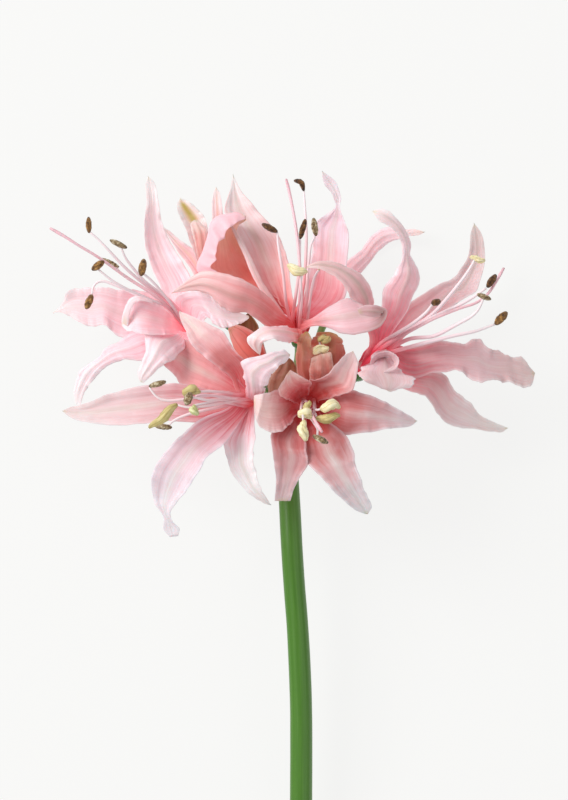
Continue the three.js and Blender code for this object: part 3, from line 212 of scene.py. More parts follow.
# ------------------------------------------------------------------ petal colour
def petal_material(name, seed, stops, margin="#F8E6E9", rib="#C9BBA9", rib_k=0.5, hot=0.0, hot_col="#FF6F88", back="#EBC9CC", back_k=0.45, tip="#C8C690", margin_k=0.34, streak=1.0, edge_pull=0.07, sss=0.3, rough=0.46, rib_w=0.34, rib_from=0.3, rib_to=0.62, glow=0.25, tip_k=0.4, tone=(1.0, 1.0, 1.0), keel_k=0.3, keel_col="#C8BCA0", glow_to=0.52):
    g = Graph(name)
    s, t = g.uv()
    e = g.math("ABSOLUTE", g.math("MULTIPLY_ADD", s, 2.0, -1.0))
    e2 = g.math("MULTIPLY", e, e)
    # broad and fine streaks that run along the blade
    v1 = g.vec(g.math("MULTIPLY", s, 7.0), g.math("MULTIPLY", t, 1.4), seed * 1.37)
    v2 = g.vec(g.math("MULTIPLY", s, 24.0), g.math("MULTIPLY", t, 2.0), seed * 2.11)
    n1 = g.noise(v1, 1.0, 2.0)
    n2 = g.noise(v2, 1.0, 3.0, 0.6)
    tt = g.math("MULTIPLY_ADD", g.math("SUBTRACT", n1, 0.5), 0.22 * streak, t)
    tt = g.math("MULTIPLY_ADD", g.math("SUBTRACT", n2, 0.5), 0.12 * streak, tt)
    tt = g.math("MULTIPLY_ADD", e2, edge_pull, tt)
    col = g.ramp(tt, stops)
    # hot pink flush streaks near the throat
    if hot > 0:
        n3 = g.noise(g.vec(g.math("MULTIPLY", s, 13.0), g.math("MULTIPLY", t, 0.8), seed * 3.3), 1.0, 1.0)
        f = g.math("MULTIPLY", g.step(0.5, 0.62, n3), g.math("SUBTRACT", 1.0, g.step(0.22, 0.6, t)))
        col = g.mix(g.math("MULTIPLY", f, hot), col, lin(hot_col))
    # midrib band, greyish green towards the tip
    band = g.math("SUBTRACT", 1.0, g.step(0.02, rib_w, e))
    along = g.math("MULTIPLY", g.step(rib_from, rib_to, t), g.math("SUBTRACT", 1.0, g.step(0.93, 1.0, t)))
    ribf = g.math("MULTIPLY", g.math("MULTIPLY", band, along), rib_k)
    col = g.mix(ribf, col, lin(rib))
    # pale crisped margin: partly the thin rim's own paler tint and partly a painted highlight along the edge
    rim_tint_and_highlight = g.math("MULTIPLY", g.step(0.8, 1.0, e), margin_k)
    rim_tint_and_highlight = g.math("MULTIPLY", rim_tint_and_highlight, g.step(0.1, 0.42, t))
    col = g.mix(rim_tint_and_highlight, col, lin(margin))
    # fine veins
    n4 = g.noise(g.vec(g.math("MULTIPLY", s, 62.0), g.math("MULTIPLY", t, 3.0), seed * 0.7), 1.0, 2.0, 0.55)
    vein = g.step(0.36, 0.64, n4)
    dark = g.mix(1.0, col, lin("#E9B9B6"), "MULTIPLY")
    col = g.mix(g.math("MULTIPLY", g.math("SUBTRACT", 1.0, vein), 0.26), col, dark)
    # soft blotches
    n5 = g.noise(g.obj(), 160.0, 3.0)
    col = g.mix(g.math("MULTIPLY", g.step(0.45, 0.75, n5), 0.12), col, lin("#FFF6F6"))
    # the outer face is duller and greener along its keel
    side = g.attr("side")
    bcol = g.mix(back_k, col, lin(back))
    kf = g.math("MULTIPLY", g.math("SUBTRACT", 1.0, g.step(0.02, 0.22, e)), keel_k)
    bcol = g.mix(kf, bcol, lin(keel_col))
    col = g.mix(side, col, bcol)
    # little hard tip
    col = g.mix(g.math("MULTIPLY", g.math("MULTIPLY", g.step(0.965, 0.995, t), g.math("SUBTRACT", 1.0, g.step(0.3, 0.9, e))), tip_k), col, lin(tip))
    # the blade's multiplier: partly its own tint, partly painted light and shade
    if tone != (1.0, 1.0, 1.0):
        v = g.t.nodes.new("ShaderNodeVectorMath")
        v.operation = "MULTIPLY"
        g.put(v.inputs[0], col)
        v.inputs[1].default_value = tone
        w = g.t.nodes.new("ShaderNodeVectorMath")
        w.operation = "MINIMUM"
        g.link(v.outputs[0], w.inputs[0])
        w.inputs[1].default_value = (0.99, 0.97, 0.97)
        col = w.outputs[0]
    # relief: veins, midrib and the glistening cells
    cells = g.noise(g.obj(), 2600.0, 2.0, 0.6)
    h = g.math("MULTIPLY_ADD", vein, 0.35, g.math("MULTIPLY", n2, 0.6))
    b1 = g.bump(h, 0.32, 0.00022)
    b2 = g.bump(cells, 0.16, 0.00006, b1)
    r = g.math("MULTIPLY_ADD", g.math("SUBTRACT", n2, 0.5), 0.16, rough)
    # painted glow: an emission in the blade's own colour, fading out along the blade (over nearly all of it when
    # glow_to is 1), stands in for light passing through the thin bases, so the throat glows softly
    lit = g.math("MULTIPLY", g.math("SUBTRACT", 1.0, g.step(0.1 if glow_to < 1 else 0.9, glow_to, t)), glow)
    g.put(g.p.inputs["Emission Color"], g.mix(lit, (0.0, 0.0, 0.0, 1.0), col))
    g.p.inputs["Emission Strength"].default_value = 1.0
    return g.set(color=col, rough=r, normal=b2, sss=sss, sss_radius=(1.0, 0.55, 0.5), sss_scale=0.0012, spec=0.32, sheen=0.12, sheen_rough=0.45)


PALE = [(0.0, "#F48690"), (0.12, "#FAA2AA"), (0.25, "#FDBEC5"), (0.4, "#FBCAD1"), (0.55, "#F9D0D7"), (0.75, "#F8DADF"), (1.0, "#F5E2E3")]
PALE_D = [(0.0, "#A82224"), (0.12, "#CC5A5E"), (0.24, "#DC888A"), (0.38, "#E7ABAF"), (0.55, "#E9BEC1"), (0.72, "#ECCCCE"), (0.88, "#EBD3D3"), (1.0, "#E9D5D4")]
ROSE = [(0.0, "#A00C10"), (0.12, "#BC2224"), (0.22, "#DA6062"), (0.36, "#E89294"), (0.52, "#EFB0B3"), (0.7, "#F5CED3"), (0.86, "#F9DDE0"), (1.0, "#FAE8EA")]
# the near-black deep red at the throat end is partly the throat's own deep red and partly painted shade of the deep
# throat
E_ROSE_SHADED_THROAT = [(0.0, "#8E0A0A"), (0.14, "#A01012"), (0.26, "#B4302E"), (0.38, "#C4544E"), (0.54, "#D07A78"), (0.7, "#DCA4A3"), (0.86, "#E6C6C6"), (1.0, "#EAD4D3")]
DUSTY_C = [(0.0, "#9C1830"), (0.12, "#C4485A"), (0.25, "#D2808A"), (0.4, "#DA9EA4"), (0.55, "#DEB0B5"), (0.72, "#E0C0C4"), (0.88, "#DCC0C1"), (1.0, "#E4D0CF")]
BACKG = [(0.0, "#F08484"), (0.3, "#F8A6A8"), (0.55, "#FDC2C6"), (0.75, "#FED2D6"), (0.9, "#FEE0E3"), (1.0, "#FDEAEA")]
BACKH = [(0.0, "#F0A2A6"), (0.3, "#F8C6CA"), (0.55, "#F9D0D4"), (0.8, "#F9DADE"), (1.0, "#E4CEC8")]
BUDF = [(0.0, "#7C2018"), (0.25, "#A84A42"), (0.5, "#B05C50"), (0.7, "#B26E5C"), (0.88, "#BC8468"), (1.0, "#B89A60")]

LOOK = {
    "A": dict(stops=PALE, glow=0.55, hot=0.45, hot_col="#FF7C90", back="#F6D9DE", rib="#E6D6D2", rib_k=0.3),
    "B": dict(stops=ROSE, glow=0.17, hot=0.42, hot_col="#D83A4C", back="#E3B4B6", rib="#CDBDB4", rib_k=0.45),
    "C": dict(stops=DUSTY_C, glow=0.16, hot=0.4, hot_col="#F0506C", back="#D0A8AA", rib="#C4B4AE", rib_k=0.5),
    "D": dict(stops=PALE_D, glow=0.15, hot=0.55, hot_col="#D63E54", back="#EACCD0", rib="#DCD2C8", rib_k=0.5),
    "E": dict(stops=E_ROSE_SHADED_THROAT, glow=0.25, hot=0.1, hot_col="#C0303C", back="#CFA09E", rib="#E6D4CE", rib_k=0.5),
    "F": dict(stops=BUDF, back="#B06A5E", rib="#A07A58", rib_k=0.6, margin="#C78F84", margin_k=0.5, tip="#9A9050", back_k=0.3),
    "G": dict(stops=BACKG, back="#F3C6CC", rib="#C9B56A", rib_k=0.25),
    "H": dict(stops=BACKH, back="#F1BFC7", rib="#D9C0BC", rib_k=0.3),
    "b": dict(stops=[(0.0, "#6E8C4C"), (0.22, "#A9B48C"), (0.42, "#B9A896"), (0.6, "#A87E6C"), (0.8, "#96604C"), (1.0, "#7C4F2C")], back="#9A7260", back_k=0.35, rib="#8C6A50", rib_k=0.4, margin="#C0A692", margin_k=0.5, tip="#5A3418", sss=0.15, rough=0.62),
}
SPECIAL = {

    "A_tepal_left": dict(ruffle=1.0, freq=5.0, frill=1.0, fold=0.5),
    "A_tepal_low": dict(ruffle=0.8, frill=0.3),
    "A_tepal_front": dict(glow_to=0.7, ruffle=0.35, frill=0.15, fold=0.5, stops=[(0.0, "#F0707A"), (0.15, "#FA98A0"), (0.4, "#FBB2BA"), (0.6, "#FAC2CA"), (0.8, "#FAD8DE"), (1.0, "#FDEEF0")]),
    "A_tepal_under": dict(frill=0.45),
    "A_tepal_right": dict(frill=0.6, ruffle=1.0, freq=7.0),
    "A_tepal_up": dict(blunt=0.3, ruffle=0.9),
    "C_tepal_right": dict(ruffle=1.3, freq=6.0, ruffle_from=0.3, frill=1.3, rib="#DCC6C4", rib_k=0.45, rib_w=0.27, rib_from=0.42, rib_to=0.7),
    "C_tepal_front": dict(ruffle=1.1, freq=8.0, frill=2.1, ruffle_from=0.45, back="#D9B9BA"),
    "C_tepal_low": dict(rib_w=0.6, ruffle=0.9, freq=5.0, frill=0.7, rib="#E4D0CE", rib_k=0.35),
    "C_tepal_up": dict(blunt=0.35, frill=0.5, ruffle=1.0),
    "C_tepal_arch": dict(rib="#B9AFA4", rib_k=0.6, rib_w=0.4),
    "B_tepal_hood": dict(ruffle=0.8, freq=8.0, frill=2.2, ruffle_from=0.1, glow=0.1, glow_to=1.0, blunt=0.0, stops=[(0.0, "#C0403C"), (0.2, "#D8665E"), (0.45, "#E88884"), (0.65, "#EE9E98"), (0.85, "#EAB0A2"), (1.0, "#F0C4BA")], rib_k=0.0, margin="#F4C8CC", margin_k=0.2, keel_k=0.0, back="#EFB2C0", back_k=0.96, hot=0.0),
    "B_tepal_up": dict(margin="#F9C4C8", margin_k=0.8),
    "B_tepal_left": dict(ruffle=0.7, freq=5.0, frill=0.5, rib="#C8B8B2", rib_k=0.5),
    "B_tepal_right": dict(blunt=1.7, ruffle=1.1, frill=0.4, stops=[(0.0, "#A00C10"), (0.12, "#BC2226"), (0.24, "#DC7078"), (0.38, "#EB989E"), (0.52, "#F2BCC0"), (0.7, "#F9D2DA"), (0.85, "#FEE8EC"), (1.0, "#F8DCE2")]),
    "B_tepal_low": dict(frill=0.3, ruffle=0.5, keel_k=0.1, back="#F0D2D6", back_k=0.8, stops=[(0.0, "#B82A28"), (0.12, "#D86060"), (0.25, "#F29C9E"), (0.4, "#F6BABE"), (0.56, "#F6D2D8"), (0.72, "#E8C2C8"), (0.86, "#D0AAA8"), (1.0, "#E2BEC2")]),
    "B_tepal_curl": dict(stops=[(0.0, "#B84844"), (0.2, "#DC8078"), (0.45, "#E8A2A2"), (0.65, "#F0BCC0"), (0.85, "#F8D6D8"), (1.0, "#FAE8E4")]),
    "D_tepal_up": dict(stops=[(0.0, "#A82224"), (0.15, "#CC5658"), (0.3, "#DE8684"), (0.5, "#E29A96"), (0.66, "#EFC4C3"), (0.82, "#F0D8D4"), (1.0, "#ECDED8")], rib="#DDE0D0", rib_k=0.55, rib_w=0.5, rib_from=0.55, rib_to=0.85),
    "D_tepal_upleft": dict(stops=[(0.0, "#A82224"), (0.15, "#CA5254"), (0.3, "#DE7A7C"), (0.5, "#E69A9C"), (0.75, "#E8AAAA"), (1.0, "#EEBCC0")]),
    "D_tepal_downleft": dict(tip_k=0.0, frill=0.5, ruffle=1.0),
    "D_tepal_down": dict(tip_k=0.1, frill=0.6, stops=[(0.0, "#B02A2E"), (0.18, "#D27478"), (0.3, "#E4A2A8"), (0.42, "#F2CCD2"), (0.6, "#F8E2E4"), (0.8, "#F5E8E8"), (1.0, "#ECDEDC")]),
    "D_tepal_front": dict(ruffle=0.8, freq=7.0, frill=0.8, stops=[(0.0, "#C8444C"), (0.12, "#DE8A90"), (0.3, "#EEB8BE"), (0.6, "#F6D4D9"), (0.85, "#F3D8DC"), (1.0, "#F2E0E2")]),
    # the deepest reds at the throat end of these two blades are partly painted shade of the deep throat
    "E_tepal_upleft": dict(margin_k=0.35, ruffle=0.5, fold=0.3, glow=0.35, stops=[(0.0, "#8E0C10"), (0.25, "#A81A1C"), (0.45, "#C84244"), (0.65, "#DA7478"), (0.82, "#E6A8A8"), (1.0, "#F2DAD6")], rib_k=0.1, frill=0.7),
    "E_tepal_left": dict(margin_k=0.45, ruffle=0.5, fold=0.3, glow=0.35, stops=[(0.0, "#8E0C10"), (0.22, "#B02426"), (0.42, "#C84C4E"), (0.58, "#DA8284"), (0.72, "#E6B2B2"), (0.86, "#ECCCCA"), (1.0, "#F0DCD8")], rib="#E8E0D4", rib_k=0.3, rib_w=0.7, frill=0.7),
    "E_tepal_upright": dict(margin_k=0.3, frill=0.5, ruffle=0.5),
    "E_tepal_downright": dict(rib="#E4D8D0", ruffle=0.7, freq=5.0, frill=0.45, rib_w=0.4),
    "G_tepal_lip": dict(stops=[(0.0, "#E88E84"), (0.5, "#EC9C96"), (0.8, "#EFB4AE"), (0.92, "#FADAD4"), (1.0, "#FEEAE6")], rib_k=0.1),
    "G_tepal_hood": dict(rib="#C0AE62", rib_k=1.0, rib_w=0.7, rib_from=0.74, rib_to=0.8),
    "F_tepal_left": dict(margin="#CE9488", rib_k=0.2),
    "F_tepal_front": dict(margin="#D8B0A8", margin_k=0.6, rib_k=0.1, stops=[(0.0, "#7C2018"), (0.4, "#B0544A"), (0.65, "#BA665E"), (0.85, "#C88C82"), (1.0, "#DCB8AE")]),
    "H_tepal_arch": dict(glow=0.1, blunt=1.6),
    "C_tepal_upright": dict(blunt=0.25),

}
# how much paler, deeper or cooler each blade is than the common colours of its floret: partly the blade's own tint and
# partly painted light and shade that evens out how brightly each blade is lit
BLADE_TINT_AND_SHADE = {
    "A_tepal_up": (1.06, 1.16, 1.16),
    "A_tepal_left": (0.90, 0.90, 0.92),
    "A_tepal_front": (1.00, 0.92, 0.95),
    "A_tepal_low": (0.96, 1.04, 1.06),
    "A_tepal_right": (1.08, 1.22, 1.24),
    "A_tepal_under": (1.00, 1.06, 1.08),
    "B_tepal_up": (0.94, 1.06, 1.04),
    "B_tepal_hood": (1.03, 1.15, 1.09),
    "B_tepal_left": (0.94, 0.80, 0.78),
    "B_tepal_right": (0.96, 1.10, 1.14),
    "B_tepal_low": (0.88, 0.84, 0.86),
    "B_tepal_curl": (1.22, 1.14, 1.16),
    "C_tepal_up": (1.22, 1.32, 1.36),
    "C_tepal_upright": (0.94, 1.04, 1.04),
    "C_tepal_right": (0.90, 0.94, 0.95),
    "C_tepal_low": (1.04, 1.26, 1.24),
    "C_tepal_front": (1.06, 1.06, 1.10),
    "C_tepal_arch": (1.08, 1.02, 1.02),
    "D_tepal_up": (0.90, 0.81, 0.86),
    "D_tepal_upleft": (0.84, 0.82, 0.84),
    "D_tepal_left": (0.82, 0.86, 0.88),
    "D_tepal_downleft": (0.90, 1.06, 1.14),
    "D_tepal_down": (1.04, 1.12, 1.14),
    "D_tepal_front": (1.02, 1.04, 1.08),
    "E_tepal_upleft": (1.08, 0.90, 0.90),
    "E_tepal_upright": (0.99, 0.92, 0.94),
    "E_tepal_right": (0.90, 1.00, 1.06),
    "E_tepal_downright": (0.84, 1.04, 1.10),
    "E_tepal_downleft": (0.76, 0.76, 0.80),
    "E_tepal_left": (1.06, 1.00, 1.02),
    "F_tepal_left": (1.20, 1.34, 1.30),
    "F_tepal_front": (1.05, 1.05, 1.00),
    "F_tepal_right": (1.12, 0.84, 0.86),
    "G_tepal_hood": (1.10, 1.26, 1.20),
    "G_tepal_lip": (0.80, 0.80, 0.80),
    "G_tepal_left": (1.00, 1.10, 1.10),
    "G_tepal_tip": (1.10, 1.10, 1.10),
    "H_tepal_arch": (1.02, 1.04, 1.08),
    "bract_front": (1.40, 1.40, 1.40),
    "bract_back": (0.90, 1.06, 0.92),

}

# ------------------------------------------------------------------ mesh makers
def new_piece(name, verts, faces, uvs, sides, mats, slots, node, mat_index=None):
    me = bpy.data.meshes.new(name)
    me.from_pydata([tuple(v) for v in verts], [], faces)
    uvl = me.uv_layers.new(name="UVMap")
    li = np.zeros(len(me.loops), int)
    me.loops.foreach_get("vertex_index", li)
    flat = np.asarray(uvs, float)[li]
    uvl.data.foreach_set("uv", flat.astype(np.float32).ravel())
    if sides is not None:
        a = me.attributes.new("side", "FLOAT", "POINT")
        a.data.foreach_set("value", np.asarray(sides, np.float32))
    for m in mats:
        me.materials.append(m)
    if mat_index is not None:
        me.polygons.foreach_set("material_index", np.asarray(mat_index, np.int32))
    me.polygons.foreach_set("use_smooth", np.ones(len(me.polygons), bool))
    me.validate()
    me.update()
    o = bpy.data.objects.new(name, me)
    bpy.context.collection.objects.link(o)
    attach(o, "root")
    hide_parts(node)
    return o


GRID = {}


def blade(rails, cup, seed, ruffle=0.75, freq=5.0, frill=0.25, ns=112, nc=23, thick=0.22, keel=0.25, ruffle_from=0.25, fold=0.75, blunt=0.05):
    R = np.array([catmull(r, ns) for r in rails])
    # most tips are blunt: the last part keeps more of its width
    mid = (R[0] + R[-1]) / 2
    R = mid[None] + (R - mid[None]) * (1 + blunt * sstep(0.86, 0.975, np.linspace(0, 1, ns)))[None, :, None]
    nr = len(R)
    t = np.linspace(0, 1, ns)
    q = np.linspace(-1, 1, nc)
    s = 0.5 + 0.5 * np.sign(q) * np.abs(q) ** 0.85
    if nr == 2:
        S = R[0][:, None] * (1 - s)[None, :, None] + R[1][:, None] * s[None, :, None]
    else:
        S = np.stack([np.stack([np.interp(s, np.linspace(0, 1, 41), catmull(R[:, i], 41)[:, c]) for c in range(3)], -1) for i in range(ns)])

    def normals(S):
        dt = np.gradient(S, axis=0)
        ds = np.gradient(S, axis=1)
        # the tip collapses to a point: keep the last good direction across
        w = np.linalg.norm(S[:, -1] - S[:, 0], axis=1)
        good = w > 0.35
        for i in range(1, ns):
            if not good[i]:
                ds[i] = ds[i - 1]
        n = unit(np.cross(dt, ds))
        return n

    N = normals(S)
    if N[..., 2].mean() < 0:
        sign = -1.0
    else:
        sign = 1.0
    w = np.linalg.norm(R[0] - R[-1], axis=1)
    amp = np.minimum(1, w / 9.0) * np.sin(np.pi * np.clip(t * 1.01, 0, 1)) ** 0.5
    S = S + sign * N * (cup * amp)[:, None, None] * (4 * s * (1 - s))[None, :, None]
    # crisped margins and a gentle wave of the whole blade
    win = sstep(ruffle_from, ruffle_from + 0.25, t) * (1 - sstep(0.93, 1.0, t)) * np.minimum(1, w / 7.0)
    e = np.abs(2 * s - 1)
    left = wobble(seed, t * freq * 0.6) * win
    right = wobble(seed + 77, t * freq * 0.65) * win
    body = wobble(seed + 33, t * 1.6) * sstep(0.2, 0.6, t) * 0.35
    fine_l = wobble(seed + 5, t * freq * 1.6) * win
    fine_r = wobble(seed + 6, t * freq * 1.5) * win
    D = np.zeros((ns, nc))
    for j in range(nc):
        k = e[j] ** 2.6
        D[:, j] = ruffle * k * (left + 0.35 * fine_l if s[j] < 0.5 else right + 0.35 * fine_r) + body * ruffle * 0.8
    # midrib groove and two fainter side folds
    D -= sign * 0 + keel * np.exp(-((s - 0.5) / 0.05) ** 2)[None, :] * (win * 0.6 + 0.4 * sstep(0.05, 0.3, t))[:, None] * (1 if cup <= 0 else -1)
    wide = np.minimum(1, w / 8.0) * fold
    ph = 1.3 * wobble(seed + 21, t * 0.8)
    D += 0.24 * np.cos((s[None, :] - 0.5) * 2 * math.pi * 2.6 + ph[:, None]) * (wide * sstep(0.08, 0.3, t) * (1 - sstep(0.85, 1, t)))[:, None]
    D += 0.10 * np.cos((s[None, :] - 0.5) * 2 * math.pi * 6 + 2 * ph[:, None]) * (wide * sstep(0.05, 0.2, t) * (1 - sstep(0.7, 1, t)))[:, None]
    S = S + sign * N * D[:, :, None]
    # the margin itself is cut in small uneven waves, so the outline is crisped too
    O = unit(S[:, -1] - S[:, 0])
    pa = 0.35 + 0.65 * sstep(-0.25, 0.5, wobble(seed + 60, t * 1.9))
    pb = 0.35 + 0.65 * sstep(-0.25, 0.5, wobble(seed + 61, t * 1.7))
    a = frill * win * pa * (0.9 * wobble(seed + 40, t * freq * 0.55) + 0.35 * wobble(seed + 41, t * freq * 1.35))
    b = frill * win * pb * (0.9 * wobble(seed + 50, t * freq * 0.6) + 0.35 * wobble(seed + 51, t * freq * 1.5))
    for j in range(nc):
        k = float(sstep(0.55, 1.0, e[j]))
        S[:, j] += O * ((-a if s[j] < 0.5 else b) * k)[:, None]
    N = normals(S) * sign
    h = thick * (1 - 0.72 * e**3)[None, :] * (0.55 + 0.45 * np.sin(np.pi * np.clip(t * 0.92 + 0.06, 0, 1)))[:, None]
    # tip: the end keeps part of its thickness and is closed flat
    F = S + N * h[:, :, None]
    B = S - N * h[:, :, None]
    V = np.concatenate([F.reshape(-1, 3), B.reshape(-1, 3)])
    uv = np.tile(np.stack([np.tile(s, ns), np.repeat(t, nc)], -1), (2, 1))
    side = np.r_[np.zeros(ns * nc), np.ones(ns * nc)]
    if sign < 0:
        pass
    key = (ns, nc, sign > 0)
    if key not in GRID:
        faces = []
        idx = lambda k, i, j: k * ns * nc + i * nc + j
        for i in range(ns - 1):
            for j in range(nc - 1):
                faces.append((idx(0, i, j), idx(0, i + 1, j), idx(0, i + 1, j + 1), idx(0, i, j + 1)))
                faces.append((idx(1, i, j), idx(1, i, j + 1), idx(1, i + 1, j + 1), idx(1, i + 1, j)))
            faces.append((idx(0, i + 1, 0), idx(0, i, 0), idx(1, i, 0), idx(1, i + 1, 0)))
            faces.append((idx(0, i, nc - 1), idx(0, i + 1, nc - 1), idx(1, i + 1, nc - 1), idx(1, i, nc - 1)))
        for j in range(nc - 1):
            faces.append((idx(0, 0, j), idx(0, 0, j + 1), idx(1, 0, j + 1), idx(1, 0, j)))
            faces.append((idx(0, ns - 1, j + 1), idx(0, ns - 1, j), idx(1, ns - 1, j), idx(1, ns - 1, j + 1)))
        GRID[key] = [f[::-1] for f in faces] if sign < 0 else faces
    faces = GRID[key]
    return V, faces, uv, side


def frames(P):
    T = unit(np.gradient(P, axis=0))
    ref = np.array([1.0, 0, 0]) if abs(T[0][0]) < 0.8 else np.array([0, 0, 1.0])
    U = []
    for i in range(len(P)):
        ref = unit(ref - T[i] * (ref @ T[i]))
        U.append(ref)
    U = np.array(U)
    return T, U, np.cross(T, U)


def tube(P, rad, sides, shape=None, caps=True):
    """P n x 3, rad n; shape(phi, i) multiplies the radius. Returns verts, faces, uv"""
    n = len(P)
    T, U, W = frames(P)
    phi = np.linspace(0, 2 * math.pi, sides, endpoint=False)
    V, uv = [], []
    d = np.r_[0, np.cumsum(np.linalg.norm(np.diff(P, axis=0), axis=1))]
    d /= d[-1]
    for i in range(n):
        r = rad[i] * (shape(phi, i / (n - 1)) if shape else np.ones(sides))
        V.append(P[i] + U[i] * (np.cos(phi) * r)[:, None] + W[i] * (np.sin(phi) * r)[:, None])
        uv += [(p / (2 * math.pi), d[i]) for p in phi]
    V = np.concatenate(V)
    faces = []
    for i in range(n - 1):
        for k in range(sides):
            a, b = i * sides + k, i * sides + (k + 1) % sides
            faces.append((a, b, b + sides, a + sides))
    if caps:
        V = np.vstack([V, P[0], P[-1]])
        uv += [(0.5, 0.0), (0.5, 1.0)]
        c0, c1 = len(V) - 2, len(V) - 1
        e = (n - 1) * sides
        for k in range(sides):
            faces.append((c0, (k + 1) % sides, k))
            faces.append((c1, e + k, e + (k + 1) % sides))
    return V, faces, np.array(uv)


def join(parts):
    """parts: (V, faces, uv, material index)"""
    V, F, UV, M = [], [], [], []
    o = 0
    for v, f, uv, m in parts:
        V.append(v)
        UV.append(uv)
        F += [tuple(q + o for q in x) for x in f]
        M += [m] * len(f)
        o += len(v)
    return np.concatenate(V), F, np.concatenate(UV), M


